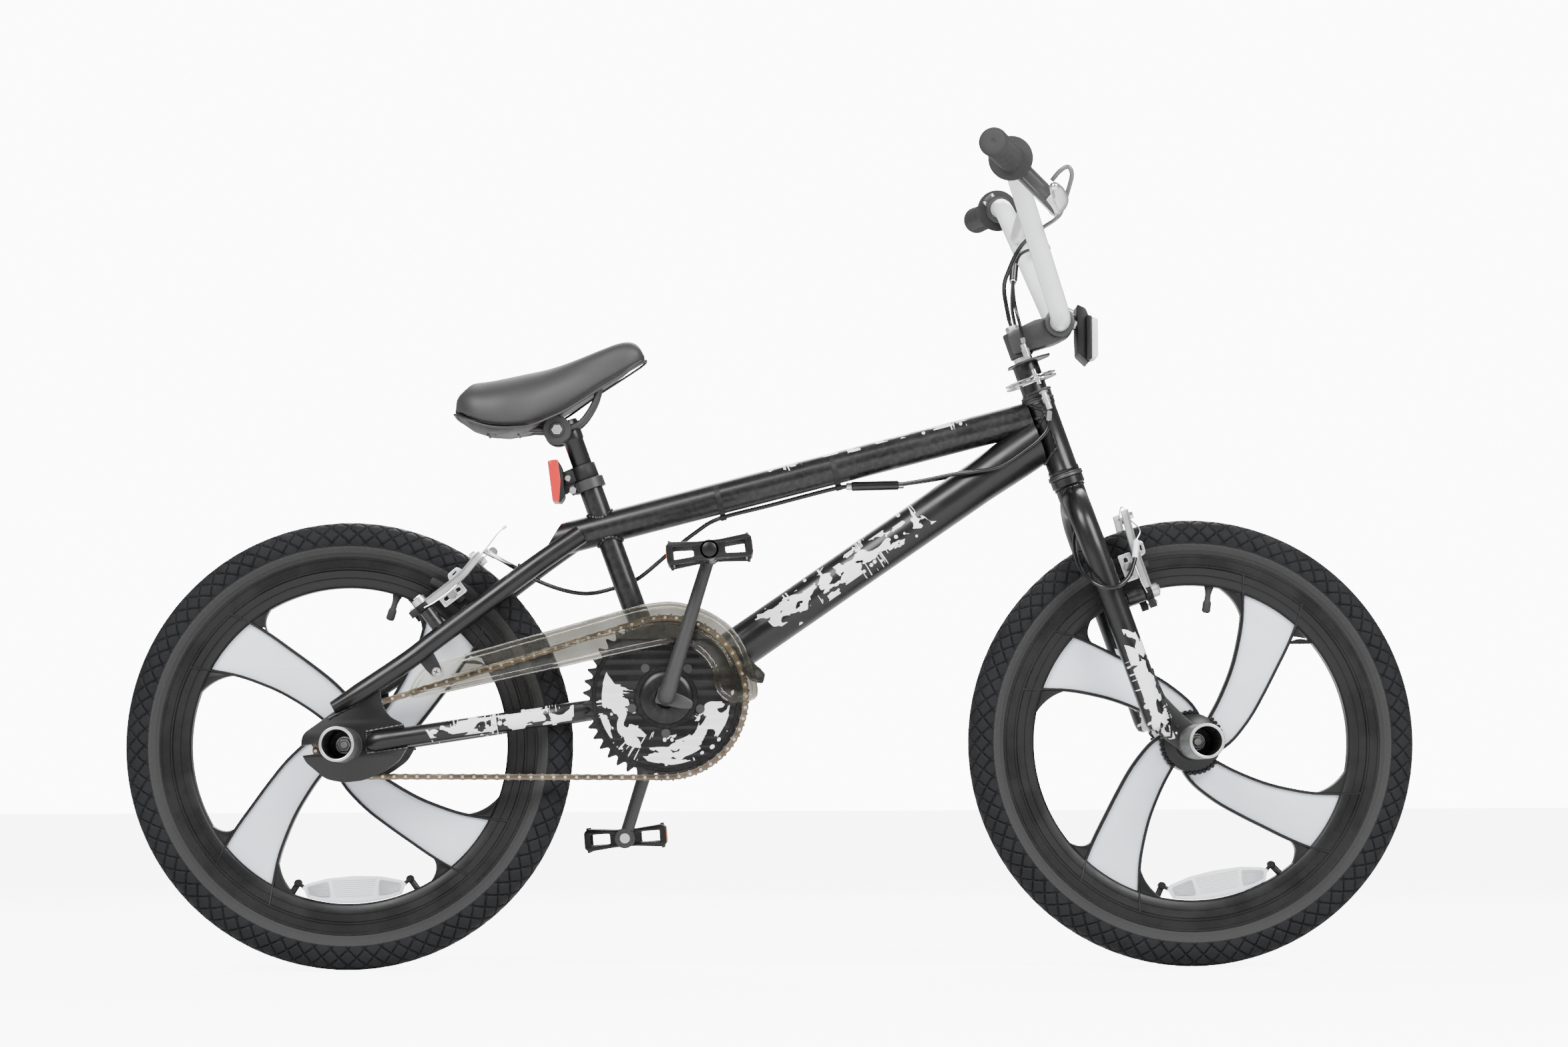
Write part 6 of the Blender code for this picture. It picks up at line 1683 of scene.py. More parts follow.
class BMX_OT_brakes(bpy.types.Operator):
    """Build the four brake arms: channel arms, pads in their holders, springs and bolts"""

    bl_idname = "bmx.brakes"
    bl_label = "Brakes"

    def execute(self, context):
        for end, group, axle, pad_turn, top in (
            ("front", FRONT_BRAKE, (0.0297, -0.1750), 0.0, (0.0434, 0.0955)),
            ("rear", REAR_BRAKE, (-0.0336, -0.1615), 20.4, (0.0458, 0.0861)),
        ):
            for name, side in SIDES.items():
                self.arm(end, name, side if end == "front" else -side, group, axle, pad_turn, top)
        return {"FINISHED"}

    def arm(self, end, name, sign, group, axle, pad_turn, top):
        arm = Shape()
        hinge = sign * 0.046
        stations = [(0.0352, -0.006, 0.0068), (0.0352, 0.010, 0.0072), (0.0354, 0.032, 0.0066),
                    (0.0362, 0.056, 0.0060), (top[0] - 0.0040, top[1] - 0.006, 0.0052),
                    (top[0] - 0.0036, top[1], 0.0040)]
        spine = curve([(out, z, 0) for out, z, _ in stations], 30)
        halves = [p.x for p in curve([(half, z, 0) for _, z, half in stations], 30)]
        web, left, right = [], [], []
        for p, half in zip(spine, halves):
            lean = hinge + sign * 0.002 * min(max(p.y / 0.05, 0), 1)
            web.append([(p.x + u, lean + v * half, p.y) for u, v in ((0.0052, -1), (0.0052, 1), (0.0080, 1),
                    (0.0080, -1))])
            for lip, v in ((left, -1), (right, 1)):
                lip.append([(p.x + a, lean + v * half - v * b, p.y)
                            for a, b in ((0.0, 0), (0.0, 0.0016), (0.0076, 0.0016), (0.0076, 0))])
        for rings in (web, left, right):
            arm.loft(rings, 0, group)
        arm.rod((0.0350, hinge, 0), (0.0500, hinge, 0), 0.0080, 0, group, 32, 0.0010)
        arm.rod((0.0490, hinge, 0), (0.0516, hinge, 0), 0.0052, 2, group, 6, 0.0004)
        arm.rod((0.0338, hinge, 0), (0.0420, hinge, 0), 0.0092, 1, group, 32, 0.0006)
        for k in range(5):
            y = 0.0338 + 0.0016 * k
            arm.turn([(0.0088, y), (0.0098, y + 0.0005), (0.0088, y + 0.0010)], 1,
                     group @ at(0, hinge, 0) @ about("Y", 90), 32)
        foot = (-0.0050, -0.0180)
        arm.block((0.0345, hinge - 0.0050, foot[1]), (0.0425, hinge + 0.0050, foot[0]), 1, group, 0.0012)
        arm.rod((0.0420, hinge, -0.0130), (0.0440, hinge, -0.0130), 0.0028, 2, group, 16, 0.0005)
        for inner, outer, a, b, look in ((0.2015, 0.2110, sign * 0.0185, sign * 0.0262, 1),
                                         (0.2030, 0.2098, sign * 0.0258, sign * 0.0300, 1)):
            band = [(axle[0] + r * math.sin(math.radians(pad_turn + d)), axle[1] + r
                     * math.cos(math.radians(pad_turn + d)))
                    for r, span in ((inner, range(-6, 7)), (outer, range(6, -7, -1))) for d in span]
            first, last = sorted((a, b))
            arm.plate([rounded(band, 0.0016)], first, last, look, group, 0.0008)
        out = 0.0296 if end == "rear" else 0.0262
        sheet = [(out - 0.0075, 0.0183), (out + 0.0075, 0.0183), (out + 0.0075, 0.0493),
                 (out - 0.0075, 0.0493)]
        first, last = sorted((sign * 0.0480, sign * 0.0500))
        arm.plate([rounded(sheet, 0.0022), slot_hole(out, 0.0338, 0.0090, 0.0023, 90)], first, last, 0, group,
                  0.0005)
        arm.rod((out, sign * 0.0290, 0.0338), (out, sign * 0.0530, 0.0338), 0.0030, 2, group, 20)
        arm.nut((out, sign * 0.0500, 0.0338), (out, sign * 0.0545, 0.0338), 0.0060, 2, group)
        arm.rod((out, sign * 0.0460, 0.0338), (out, sign * 0.0480, 0.0338), 0.0062, 2, group, 28, 0.0006)
        arm.rod((out, sign * 0.0300, 0.0338), (out, sign * 0.0330, 0.0338), 0.0058, 2, group, 28, 0.0006)
        arm.nut((top[0] - 0.001, hinge + sign * 0.002, top[1] - 0.0080),
                (top[0] + 0.0080, hinge + sign * 0.002, top[1] - 0.0080),
                0.0046, 2, group)
        tab = [(0.0420, 0.0400), (0.0500, 0.0420), (0.0510, 0.0560), (0.0420, 0.0600)]
        first, last = sorted((hinge + sign * 0.0060, hinge + sign * 0.0045))
        arm.plate([rounded(tab, 0.0030), slot_hole(0.0465, 0.0495, 0.0024, 0.0010, 80)], first, last, 0,
                  group, 0.0003)
        spring = [(0.0360, hinge + sign * 0.0090, 0.000), (0.0340, hinge + sign * 0.0100, 0.012),
                  (0.0335, hinge + sign * 0.0095, 0.030), (0.0345, hinge + sign * 0.0080, 0.044)]
        arm.sweep(curve(spring, 20), 0.0007, 2, group, 8)
        arm.made(f"{end}_brake_arm_body_{name}", ["brushed_metal", "base_plastic", "polished_metal"],
                 f"{end}_brake_arm_{name}", "silver_metal", f"{end}_brake_arm_{name}")


class BMX_OT_headset(bpy.types.Operator):
    """Build the headset cups and the cable rotor's plates and discs"""

    bl_idname = "bmx.headset"
    bl_label = "Headset and rotor"

    def execute(self, context):
        cups = (
            ("lower", [(0.0131, -0.0015), (0.0198, -0.0015), (0.0202, -0.0010), (0.0202, 0.0012),
                       (0.0195, 0.0022),
                       (0.0202, 0.0028), (0.0200, 0.0037), (0.0131, 0.0037)]),
            ("upper", [(0.0131, 0.0897), (0.0183, 0.0897), (0.0186, 0.0903), (0.0186, 0.0922),
                       (0.0178, 0.0930),
                       (0.0182, 0.0938), (0.0178, 0.0949), (0.0131, 0.0949)]),
        )
        for name, profile in cups:
            cup = Shape().turn(profile, 0, STEER, 64)
            cup.made(f"headset_cup_{name}", ["black_metal"], "frame", "silver_metal", f"headset_{name}_cup")
        flat = about("X", -90)
        half = [(-0.012, 0.0180), (0.000, 0.0350), (0.012, 0.0350), (0.0175, 0.0180)]
        outline = half + [(f, -y) for f, y in reversed(half)]
        self.plate("gyro_bottom_plate", outline, 0.0990, 0.1015, 0.0158, STEER, "frame",
                   [(0.006, 0.0300, 0.0765, 0.1000)], 0.0180, 0.0955)
        half = [(-0.020, 0.0140), (-0.006, 0.0330), (0.012, 0.0340), (0.030, 0.0150)]
        outline = half + [(f, -y) for f, y in reversed(half)]
        self.plate("gyro_top_plate", outline, 0.1355, 0.1378, 0.0116, BARS, "steering",
                   [(0.004, 0.0280, 0.1365, 0.1560)], 0.0, 0.0)
        for name, where, base in (("lower", STEER, 0.1125), ("upper", BARS, 0.1165)):
            disc = Shape()
            disc.turn([(0.0160, base), (0.0294, base), (0.0300, base + 0.0005), (0.0300, base + 0.0015),
                       (0.0294, base + 0.0020), (0.0160, base + 0.0020)], 0, where, 64)
            disc.turn([(0.0159, base - 0.0010), (0.0178, base - 0.0010), (0.0182, base),
                       (0.0182, base + 0.0020),
                       (0.0178, base + 0.0024), (0.0159, base + 0.0024)], 0, where, 48)
            for sign in (-1, 1):
                ear = [(-0.004, sign * 0.0240), (0.010, sign * 0.0240), (0.009, sign * 0.0335),
                       (-0.001, sign * 0.0335)]
                if sign < 0:
                    ear = ear[::-1]
                disc.plate([rounded(ear, 0.003)], -base - 0.0019, -base - 0.0001, 0, where @ flat, 0.0004)
                tip = base - 0.0060 if name == "lower" else base + 0.0090
                disc.rod((0.005, sign * 0.0295, min(base, tip)), (0.005, sign * 0.0295, max(base, tip)),
                         0.0026, 0,
                         where, 16, 0.0006)
            disc.made(f"gyro_disc_{name}", ["polished_metal"], f"gyro_{name}", "silver_metal",
                      f"gyro_{name}_disc")
        return {"FINISHED"}

    def plate(self, node, outline, low, high, bore, where, body, barrels, hub, hub_low):
        shape = Shape()
        shape.plate([rounded(outline, 0.005), circle(0, 0, bore, 40)], -high, -low, 0,
                    where @ about("X", -90), 0.0005)
        if hub:
            shape.turn([(bore, hub_low), (hub, hub_low), (hub, low), (bore, low)], 0, where, 48)
        for f, y, start, end in barrels:
            for sign in (-1, 1):
                shape.rod((f, sign * y, start), (f, sign * y, end), 0.0036, 1, where, 24)
                middle = (start + end) / 2
                for k in range(18):
                    shape.block((0.0034, -0.0003, -0.0035), (0.0042, 0.0003, 0.0035), 1,
                                where @ at(f, sign * y, middle) @ about("Z", 20 * k), 0.0001)
                inner = low - 0.0030 if start < low - 0.004 else high + 0.0002
                shape.nut((f, sign * y, inner), (f, sign * y, inner + 0.0028), 0.0050, 1, where)
        shape.made(f"{node}_sheet", ["black_metal", "brushed_metal"], body, "black_metal", node)


def bar_half(sign):
    ends = [(0.052, 0, 0.166), (0.052, 0.058, 0.166), (0.0505, 0.178, 0.3325), (0.047, 0.222, 0.3350)]
    path = filleted([(x, sign * y, z) for x, y, z in ends], 0.042, 14)
    tip = GRIP_START.lerp(GRIP_END, 0.965)
    return path + [Vector((tip.x, sign * tip.y, tip.z))]


GRIP_START, GRIP_END = Vector((0.047, 0.222, 0.3350)), Vector((0.026, 0.336, 0.3450))
BAR_BEND = Vector((0.0505, 0.178, 0.3325))


class BMX_OT_bars(bpy.types.Operator):
    """Build the handlebar with its crossbar, the stem and the front reflector"""

    bl_idname = "bmx.bars"
    bl_label = "Bars and stem"

    def execute(self, context):
        bar = Shape()
        bar.sweep(bar_half(-1)[::-1][:-1] + bar_half(1), 0.01125, 0, BARS, 36)
        bar.rod((0.0510, -0.1500, 0.288), (0.0510, 0.1500, 0.288), 0.0085, 0, BARS, 32)
        for sign in (-1, 1):
            ring = [(0.0510 + 0.0087 * math.cos(math.tau * k / 28), sign
                     * (0.1405 - 0.0062 * math.sin(math.tau * k / 28)),
                     0.288 + 0.0087 * math.sin(math.tau * k / 28)) for k in range(28)]
            bar.weld([BARS @ Vector(p) for p in ring], 0.0012, 0)
        for k in range(7):
            y = 0.0040 * (k - 3)
            bar.turn([(0.01115, y - 0.0005), (0.0116, y), (0.01115, y + 0.0005)], 0,
                     BARS @ at(0.052, 0, 0.166) @ about("X", 90), 40)
        bar.made("handlebar_tube", ["gloss_white"], "steering", "white_paint", "handlebar")

        stem = Shape()
        outline = [
            (-0.0090, 0.1480), (0.0155, 0.1466), (0.0400, 0.1452), (0.0560, 0.1476), (0.0640, 0.1530),
            (0.0680, 0.1660), (0.0640, 0.1775), (0.0520, 0.1820), (0.0400, 0.1760), (0.0270, 0.1787),
            (-0.0090, 0.1742),
        ]
        stem.plate([rounded(outline, 0.006), circle(0.052, 0.166, 0.0114, 40)], -0.0175, 0.0175, 0, BARS,
                   0.0025)
        column = [(0.0, 0.1440), (0.0125, 0.1440), (0.0135, 0.1450), (0.0135, 0.1725), (0.0125, 0.1745),
                  (0.0, 0.1750)]
        stem.turn(column, 0, BARS, 48)
        stem.rod((0, 0, 0.080), (0, 0, 0.1460), 0.0108, 1, BARS, 40)
        stem.nut((0, 0, 0.1745), (0, 0, 0.1815), 0.0078, 1, BARS)
        stem.rod((0, 0, 0.1738), (0, 0, 0.1750), 0.0100, 1, BARS, 32, 0.0004)
        for sign in (-1, 1):
            ring = [(0.0115, sign * 0.0172), (0.0160, sign * 0.0172), (0.0168, sign * 0.0180),
                    (0.0168, sign * 0.0235),
                    (0.0160, sign * 0.0240), (0.0115, sign * 0.0240)]
            stem.turn(ring, 0, BARS @ at(0.052, 0, 0.166) @ about("X", -90), 48)
            stem.rod((0.0640, sign * 0.0125, 0.1760), (0.0700, sign * 0.0125, 0.1700), 0.0044, 1, BARS, 20,
                     0.0008)
            stem.rod((0.0640, sign * 0.0125, 0.1560), (0.0702, sign * 0.0125, 0.1610), 0.0044, 1, BARS, 20,
                     0.0008)
        stem.made("stem_body", ["black_metal", "brushed_metal"], "steering", "black_metal", "stem")

        light = Shape()
        bracket = [(0.3480, 0.7463), (0.3574, 0.7418), (0.3612, 0.7330), (0.3609, 0.6793), (0.3490, 0.6906),
                   (0.3480, 0.7100)]
        light.plate([rounded(bracket, 0.002)], -0.0200, 0.0360, 1, None, 0.0012)
        shell = [(0.3580, 0.7335), (0.3640, 0.7328), (0.3640, 0.6835), (0.3580, 0.6822)]
        light.plate([rounded(shell, 0.002)], -0.0265, 0.0265, 1, None, 0.0012)
        lens = [(0.3636, 0.7316), (0.3709, 0.7290), (0.3709, 0.6862), (0.3636, 0.6842)]
        light.plate([rounded(lens, 0.0016)], -0.0250, 0.0250, 0, None, 0.0012)
        where = BARS @ at(0.052, 0, 0.166) @ about("X", -90)
        light.turn([(0.0114, 0.0262), (0.0146, 0.0262), (0.0150, 0.0266), (0.0150, 0.0348), (0.0146, 0.0352),
                    (0.0114, 0.0352)], 1, where, 40)
        light.block((0.0600, 0.0262, 0.1580), (0.0770, 0.0352, 0.1720), 1, BARS, 0.0012)
        light.rod((0.0690, 0.0240, 0.1650), (0.0690, 0.0372, 0.1650), 0.0034, 2, BARS, 20, 0.0006)
        light.made("front_reflector_body", ["clear_lens", "base_plastic", "brushed_metal"], "steering",
                   "clear_lens", "front_reflector")
        return {"FINISHED"}


class BMX_OT_grips(bpy.types.Operator):
    """Build the ribbed grips with their flanges"""

    bl_idname = "bmx.grips"
    bl_label = "Grips"

    def execute(self, context):
        length = (GRIP_END - GRIP_START).length
        for name, sign in SIDES.items():
            start = Vector((GRIP_START.x, sign * GRIP_START.y, GRIP_START.z))
            end = Vector((GRIP_END.x, sign * GRIP_END.y, GRIP_END.z))
            place = BARS @ at(start) @ facing(end - start)
            grip = Shape()
            rings = []
            for step in range(151):
                run = length * step / 150
                ring = []
                for k in range(72):
                    strip = (k % 24) / 24
                    if run < 0.0034:
                        radius = 0.0245 - 0.0010 * max(0, 1 - run / 0.0008)
                    elif run < 0.0060:
                        radius = 0.0245 - 0.0100 * (run - 0.0034) / 0.0026
                    elif run > length - 0.0060:
                        radius = 0.0155 - 0.0016 * (run - length + 0.0060) / 0.0060
                        radius += 0.0008 if length - 0.0050 < run < length - 0.0026 else 0
                    else:
                        ribbed = strip < 0.62 and 0.010 < run < length - 0.010
                        wave = 0.5 + 0.5 * math.cos(math.tau * run / 0.0040)
                        radius = 0.0147 + (0.0010 * wave if ribbed else 0.0004)
                    ring.append((radius * math.cos(math.tau * k / 72), radius * math.sin(math.tau * k / 72),
                                 run))
                rings.append(ring)
            grip.loft(rings, 0, place)
            grip.turn([(0.0016, length - 0.0004), (0.0026, length - 0.0004), (0.0130, length - 0.0004),
                       (0.0134, length + 0.0002), (0.0128, length + 0.0008), (0.0030, length + 0.0008),
                       (0.0018, length + 0.0002)], 0, place, 48)
            grip.made(f"grip_sleeve_{name}", ["grip_rubber"], "steering", "grip_rubber", f"grip_{name}",
                      smooth=50)
        return {"FINISHED"}


class BMX_OT_levers(bpy.types.Operator):
    """Build the brake lever perches and the lever blades"""

    bl_idname = "bmx.levers"
    bl_label = "Levers"

    def execute(self, context):
        flat = about("X", -90)
        for name, sign in SIDES.items():
            start = Vector((GRIP_START.x, sign * GRIP_START.y, GRIP_START.z))
            bend = Vector((BAR_BEND.x, sign * BAR_BEND.y, BAR_BEND.z))
            aim = (start - bend).normalized()
            perch = bend.lerp(start, 0.72)
            holder = BARS @ at(perch) @ about("Y", 45 + STEER_TILT)
            mount = Shape()
            mount.rod(perch - aim * 0.0080, perch + aim * 0.0080, 0.0158, 0, BARS, 48, 0.0012, 0.0115)
            inward = -sign * 0.011
            body = [
                (0.0100, -sign * 0.0100), (0.0420, -sign * 0.0128), (0.0740, inward - sign * 0.0060),
                (0.0780, inward), (0.0740, inward + sign * 0.0070), (0.0450, sign * 0.0060),
                    (0.0100, sign * 0.0100),
            ]
            body = body if sign < 0 else body[::-1]
            smooth = rounded(body, 0.004)
            mount.plate([smooth], -0.0092, -0.0050, 0, holder @ flat, 0.0010)
            mount.plate([smooth], 0.0050, 0.0092, 0, holder @ flat, 0.0010)
            core = [(0.0080, -sign * 0.0100), (0.0560, -sign * 0.0140), (0.0570, sign * 0.0010),
                    (0.0450, sign * 0.0055),
                    (0.0080, sign * 0.0100)]
            mount.plate([rounded(core if sign < 0 else core[::-1], 0.002)], -0.0060, 0.0060, 0, holder @ flat,
                        0.0006)
            mount.rod((0.0440, -sign * 0.0085, 0), (0.0765, inward, 0), 0.0102, 1, holder, 32, 0.0016)
            mount.rod((0.0150, -sign * 0.0060, 0.0), (0.0450, -sign * 0.0080, 0.0), 0.0066, 1, holder, 24,
                      0.0012)
            mount.rod((0.0707, inward, -0.0108), (0.0707, inward, 0.0108), 0.0030, 1, holder, 20, 0.0008)
            mount.rod((0.0600, -sign * 0.0100, 0), (0.0622, -sign * 0.0220, 0), 0.0046, 2, holder, 24, 0.0008)
            for k in range(10):
                spoke = facing(Vector((0.0022, -sign * 0.0120, 0)))
                mount.block((0.0042, -0.0005, 0.0030), (0.0050, 0.0005, 0.0110), 2,
                            holder @ at(0.0600, -sign * 0.0100, 0) @ spoke @ about("Z", 36 * k), 0.0002)
            mount.rod((0.0620, -sign * 0.0215, 0), (0.0640, -sign * 0.0310, 0), 0.0036, 1, holder, 24, 0.0008)
            bolt = Vector((-0.0165, 0, 0))
            mount.rod(bolt + Vector((0, 0, -0.0080)), bolt + Vector((0, 0, 0.0080)), 0.0032, 1, holder, 20,
                      0.0006)
            mount.block((-0.0200, -0.0060, -0.0050), (-0.0120, 0.0060, 0.0050), 0, holder, 0.0012)
            mount.made(f"lever_perch_{name}", ["black_metal", "brushed_metal", "cable_grey"], "steering",
                       "black_metal", f"lever_mount_{name}")

            blade = Shape()
            spine = curve([(0.0700, -0.0110, 0), (0.0745, 0.0000, 0), (0.0762, 0.0150, 0),
                           (0.0745, 0.0450, 0),
                           (0.0655, 0.0780, 0), (0.0580, 0.0960, 0), (0.0600, 0.1000, 0)], 60)
            heights = (0.0046, 0.0048, 0.0062, 0.0082, 0.0086, 0.0078, 0.0040)
            tall = [p.y for p in curve([(k, t, 0) for k, t in enumerate(heights)], 60)]
            rings = []
            thick = 0.0034
            for p, half in zip(spine, tall):
                ring = []
                for step in range(20):
                    angle = math.tau * step / 20
                    u = thick * math.copysign(abs(math.cos(angle)) ** 0.6, math.cos(angle))
                    ring.append((p.x + u, sign * p.y, half * math.copysign(abs(math.sin(angle)) ** 0.7,
                            math.sin(angle))))
                rings.append(ring)
            blade.loft(rings, 0, holder)
            blade.rod((0.0707, inward, -0.0049), (0.0707, inward, 0.0049), 0.0068, 0, holder, 28, 0.0008)
            blade.ball((0.0590, sign * 0.0975, 0), 0.0052, 0, holder)
            blade.made(f"lever_blade_{name}", ["polished_metal"], f"brake_lever_{name}", "silver_metal",
                       f"brake_lever_{name}", smooth=60)
        return {"FINISHED"}


class BMX_OT_cables(bpy.types.Operator):
    """Build the three brake cables, their splitters, ferrules, noodles and ties"""

    bl_idname = "bmx.cables"
    bl_label = "Cables"

    def execute(self, context):
        def under(x):
            return top_tube_point(x).z - 0.0220 / math.cos(math.radians(14.45))

        places = [
            (0.0923, 0.0, 0.5417), (0.0727, 0.0, under(0.0727)), (0.0, 0.0, under(0.0)),
            (-0.0578, 0.0, under(-0.0578)), (-0.0842, 0.010, 0.4905), (-0.1144, 0.024, 0.4680),
            (-0.1499, 0.030, 0.4395), (-0.1768, 0.030, 0.4289), (-0.2132, 0.030, 0.4230),
                (-0.2586, 0.024, 0.4353),
            (-0.3102, 0.004, 0.4640), (-0.3215, 0.0, 0.4700),
        ]
        rear = Shape()
        rear.sweep(curve(places, 130), 0.0025, 0, None, 16)
        split, split_end = Vector((0.0923, 0, 0.5417)), Vector((0.1457, 0, 0.5430))
        rear.rod(split, split_end, 0.0054, 0, None, 28, 0.0010)
        aim = (split_end - split).normalized()
        for point in (split - aim * 0.0060, split_end - aim * 0.0010):
            rear.rod(point, point + aim * 0.0070, 0.0042, 1, None, 24, 0.0008)
        for sign in (-1, 1):
            branch = [
                (0.3148, sign * 0.0300, 0.6242), (0.3130, sign * 0.0300, 0.6055),
                    (0.3055, sign * 0.0300, 0.5943),
                (0.2905, sign * 0.0300, 0.5816), (0.2601, sign * 0.0295, 0.5620),
                    (0.2300, sign * 0.0260, 0.5560),
                (0.2080, sign * 0.0200, 0.5540), (0.1750, sign * 0.0090, 0.5480),
                    (0.1440, sign * 0.0022, 0.5432),
            ]
            rear.sweep(curve(branch, 90), 0.0023, 0, None, 16)
            rear.rod(branch[0], Vector(branch[0]).lerp(Vector(branch[1]), 0.6), 0.0032, 1, None, 20)
        for x in (-0.0578, 0.0727):
            here = top_tube_point(x, 0.0012)
            tilt = at(here) @ about("Y", -14.45)
            rear.turn([(0.0180, -0.0030), (0.0189, -0.0030), (0.0189, 0.0030), (0.0180, 0.0030)], 2,
                      tilt @ about("Y", 90), 56)
            rear.rod((-0.0036, 0, -0.0208), (0.0036, 0, -0.0208), 0.0036, 2, tilt, 20)
        rear.rod(places[-2], places[-1], 0.0034, 1, None, 20)
        for points, size in (
            ([(-0.3240, -0.0450, 0.4640), (-0.3172, -0.0450, 0.4709), (-0.3044, -0.0460, 0.4872),
              (-0.2954, -0.0450, 0.4954)], 0.0008),
            ([(-0.3215, -0.0380, 0.4680), (-0.3137, -0.0380, 0.4644), (-0.3010, -0.0340, 0.4576),
              (-0.2861, -0.0240, 0.4501), (-0.2749, -0.0120, 0.4456)], 0.0024),
            ([(-0.2995, -0.0455, 0.4920), (-0.2954, -0.0450, 0.4954)], 0.0016),
        ):
            rear.sweep(curve(points, 30), size, 1, None, 10)
        wire = [REAR_BRAKE @ Vector(p) for p in ((0.0460, -0.0440, 0.0780), (0.0470, -0.0200, 0.0920),
                                                 (0.0440, 0.0, 0.0980), (0.0470, 0.0200, 0.0920),
                                                 (0.0460, 0.0440, 0.0780))]
        rear.sweep(curve(wire, 40), 0.0008, 1, None, 8)
        rear.sweep(curve([places[-1], wire[2]], 6), 0.0008, 1, None, 8)
        rear.rod(wire[2] - Vector((0, 0.006, 0)), wire[2] + Vector((0, 0.006, 0)), 0.0050, 1, None, 20)
        rear.made("rear_cable_housing", ["cable_black", "polished_metal", "base_plastic"], "frame",
                  "cable_jacket",
                  "rear_brake_cable")

        upper = Shape()
        start = [(0.3300, 0.168, 0.8320), (0.3240, 0.140, 0.8290), (0.3120, 0.100, 0.8240),
                 (0.2980, 0.060, 0.8180),
                 (0.2860, 0.032, 0.8080), (0.2800, 0.018, 0.7930)]
        upper.sweep(curve(start, 80), 0.0025, 0, None, 16)
        upper.rod((0.2800, 0.018, 0.7960), (0.2778, 0.012, 0.7760), 0.0048, 0, None, 24, 0.0010)
        upper.rod((0.2779, 0.0123, 0.7775), (0.2775, 0.0110, 0.7730), 0.0040, 1, None, 24)
        for sign in (-1, 1):
            branch = [(0.2778, 0.012, 0.7780), (0.2768, 0.004 + sign * 0.010, 0.7620),
                      (0.2776, sign * 0.024, 0.7430), (0.2822, sign * 0.0290, 0.7220),
                      (0.2866, sign * 0.0280, 0.7008)]
            upper.sweep(curve(branch, 50), 0.0020, 0, None, 14)
            upper.rod(branch[-1], Vector(branch[-1]).lerp(Vector(branch[-2]), 0.3), 0.0030, 1, None, 20)
        upper.made("gyro_cable_housing", ["cable_black", "polished_metal"], "steering", "cable_jacket",
                   "gyro_upper_cable")

        front = Shape()
        top, low = STEER @ Vector((0, 0, 0.188)), STEER @ Vector((0, 0, -0.050))
        head = [(0.3160, -0.168, 0.8260), (0.3120, -0.140, 0.8245), (0.3030, -0.100, 0.8220),
                (0.2920, -0.062, 0.8170), (0.2810, -0.034, 0.8060), (0.2720, -0.014, 0.7870),
                (0.2665, -0.003, 0.7660), top]
        tail = [low, (0.3465, -0.004, 0.4935), (0.3425, -0.018, 0.4760), (0.3430, -0.038, 0.4590),
                (0.3470, -0.058, 0.4430), (0.3560, -0.075, 0.4310), (0.3677, -0.0825, 0.4235),
                (0.3835, -0.085, 0.4230), (0.3974, -0.080, 0.4343), (0.4060, -0.069, 0.4560),
                (0.4085, -0.062, 0.4760)]
        front.sweep(curve(head, 110), 0.0025, 0, None, 16)
        loop = [(0.3060, -0.205, 0.8600), (0.3139, -0.212, 0.8689), (0.3226, -0.215, 0.8732),
                (0.3269, -0.213, 0.8652),
                (0.3239, -0.200, 0.8500), (0.3185, -0.178, 0.8310), (0.3160, -0.168, 0.8260)]
        front.sweep(curve(loop, 60), 0.0026, 3, None, 14)
        front.sweep([top, low], 0.0022, 0, None, 12)
        front.sweep(curve(tail, 120), 0.0025, 0, None, 16)
        front.rod(tail[-2], tail[-1], 0.0034, 2, None, 20)
        tip = Vector(tail[-1])
        wire = [FRONT_BRAKE @ Vector(p) for p in ((0.0440, -0.0460, 0.0880), (0.0470, -0.0250, 0.0980),
                                                  (0.0470, 0.0, 0.1010), (0.0470, 0.0250, 0.0980),
                                                  (0.0440, 0.0460, 0.0880))]
        front.sweep(curve([tip, tip + Vector((0.004, 0.004, 0.012)), wire[0]], 24), 0.0008, 1, None, 8)
        front.sweep(curve(wire, 40), 0.0008, 1, None, 8)
        front.made("front_cable_housing", ["cable_black", "polished_metal", "gloss_white", "cable_grey"],
                   "steering",
                   "cable_jacket", "front_brake_cable")
        return {"FINISHED"}


# Stage and add-on


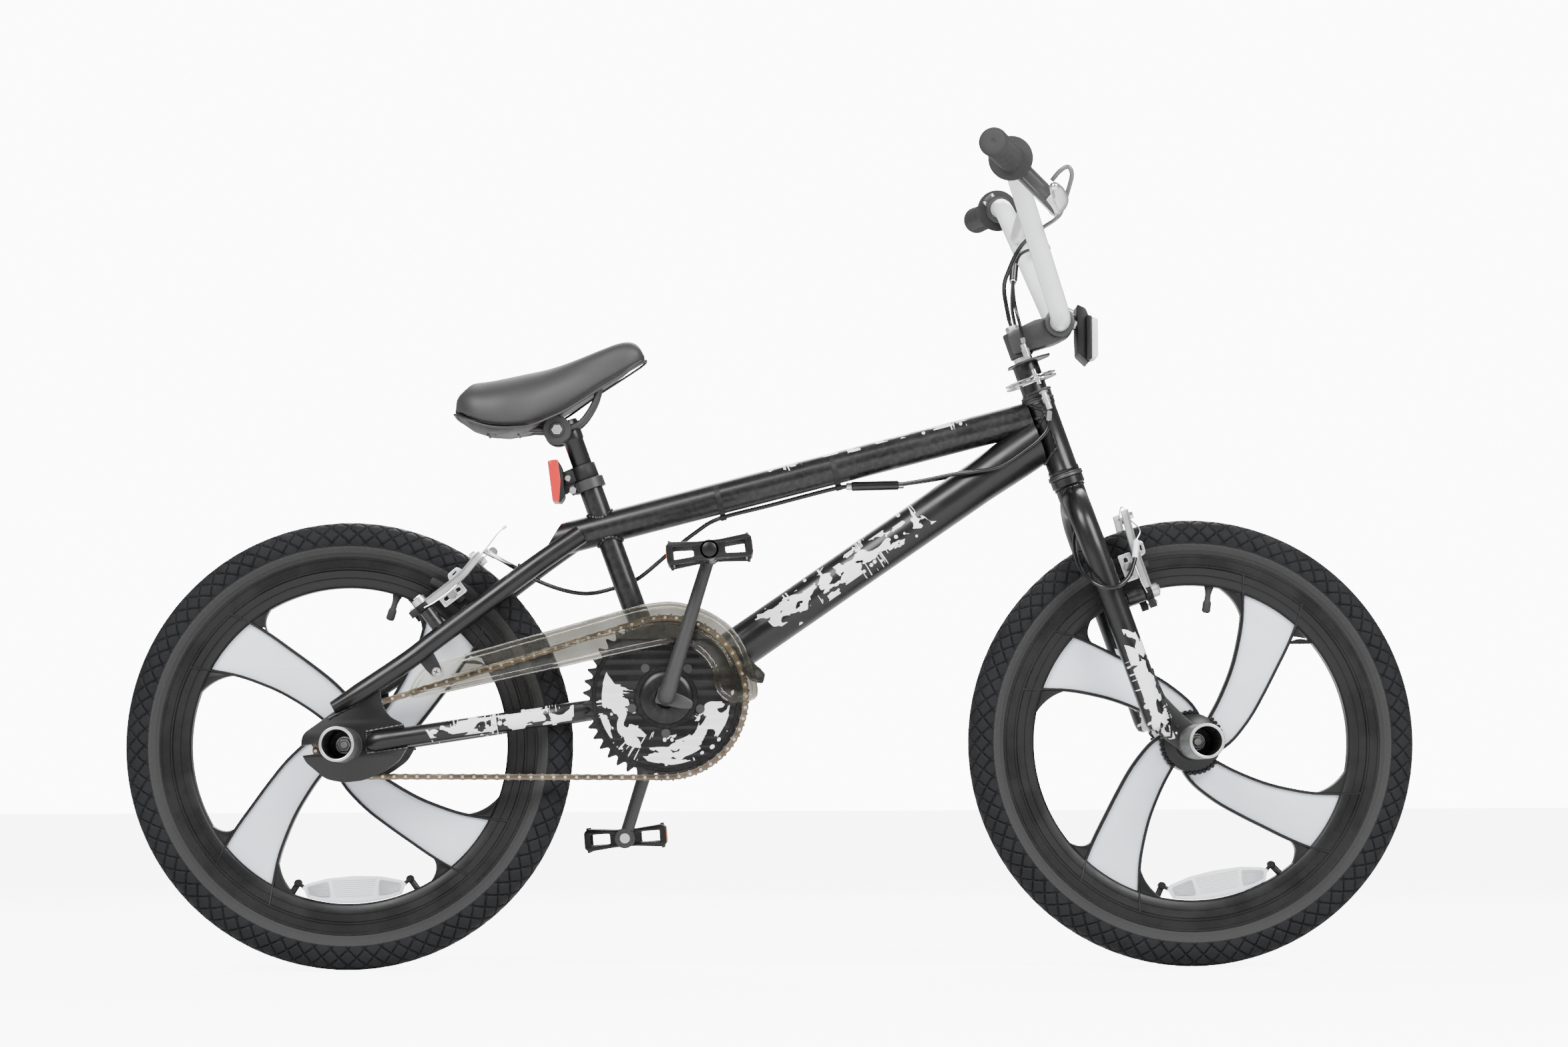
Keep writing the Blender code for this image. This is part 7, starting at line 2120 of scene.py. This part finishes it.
class BMX_OT_stage(bpy.types.Operator):
    """Lay a plain pale floor, light it softly and set the camera"""

    bl_idname = "bmx.stage"
    bl_label = "Stage"

    def execute(self, context):
        settings = context.scene.bmx_stage
        data = bpy.data.meshes.new("floor")
        data.from_pydata([(-40, -40, 0), (40, -40, 0), (40, 40, 0), (-40, 40, 0)], [], [(0, 1, 2, 3)])
        data.materials.append(finish("floor_white"))
        floor = bpy.data.objects.new("floor", data)
        context.scene.collection.objects.link(floor)
        world = bpy.data.worlds.new("surroundings")
        world.use_nodes = True
        graph = Graph(world.node_tree)
        seen = graph.node("LightPath").outputs["Is Camera Ray"]
        back = world.node_tree.nodes["Background"]
        back.inputs["Color"].default_value = (1, 1, 1, 1)
        white = graph.math("MULTIPLY", seen, 11.0)
        graph.tree.links.new(graph.math("ADD", white, settings.world_light), back.inputs["Strength"])
        context.scene.world = world
        lamps = (((-1.6, -2.4, 2.6), 1.8, 1.0), ((1.8, -2.2, 2.2), 1.6, 0.8), ((0.2, 2.4, 2.4), 2.0, 0.6))
        for number, (place, size, share) in enumerate(lamps):
            lamp = bpy.data.lights.new(f"soft_light_{number}", "AREA")
            lamp.shape, lamp.size, lamp.energy = "SQUARE", size, settings.key_power * share
            holder = bpy.data.objects.new(f"soft_light_{number}", lamp)
            context.scene.collection.objects.link(holder)
            aim = Vector((0, 0, 0.4)) - Vector(place)
            holder.matrix_world = at(place) @ aim.to_track_quat("-Z", "Y").to_matrix().to_4x4()
        view = bpy.data.cameras.new("camera")
        view.lens, view.sensor_width = settings.lens, 36.0
        view.clip_end = 200.0
        camera = bpy.data.objects.new("camera", view)
        context.scene.collection.objects.link(camera)
        camera.matrix_world = (
            at(-0.0515, -4.7187, 0.1968) @ about("Z", -0.818) @ about("X", 93.676) @ about("Z", -0.224)
        )
        context.scene.camera = camera
        return {"FINISHED"}


OPERATORS = (
    BMX_OT_tyres, BMX_OT_wheels, BMX_OT_axles, BMX_OT_frame_tubes, BMX_OT_stays, BMX_OT_seat_post,
        BMX_OT_saddle,
    BMX_OT_chain, BMX_OT_crank, BMX_OT_guard, BMX_OT_pedals, BMX_OT_fork, BMX_OT_brakes, BMX_OT_headset,
    BMX_OT_bars, BMX_OT_grips, BMX_OT_levers, BMX_OT_cables, BMX_OT_stage,
)


class BMX_PT_panel(bpy.types.Panel):
    """Lists the operators that build the bike"""

    bl_idname = "BMX_PT_panel"
    bl_label = "BMX bike"
    bl_space_type = "VIEW_3D"
    bl_region_type = "UI"
    bl_category = "BMX"

    def draw(self, context):
        for name in BikeSettings.__annotations__:
            self.layout.prop(context.scene.bmx_bike, name)
        for name in StageSettings.__annotations__:
            self.layout.prop(context.scene.bmx_stage, name)
        for operator in OPERATORS:
            self.layout.operator(operator.bl_idname)


CLASSES = (BikeSettings, StageSettings, *OPERATORS, BMX_PT_panel)


def register():
    for cls in CLASSES:
        bpy.utils.register_class(cls)
    bpy.types.Scene.bmx_bike = bpy.props.PointerProperty(type=BikeSettings)
    bpy.types.Scene.bmx_stage = bpy.props.PointerProperty(type=StageSettings)


def unregister():
    del bpy.types.Scene.bmx_stage, bpy.types.Scene.bmx_bike
    for cls in reversed(CLASSES):
        bpy.utils.unregister_class(cls)


def main():
    register()
    for operator in OPERATORS:
        group, name = operator.bl_idname.split(".")
        if getattr(getattr(bpy.ops, group), name)() != {"FINISHED"}:
            raise RuntimeError(f"{operator.bl_idname} did not finish")


if __name__ == "__main__":
    main()
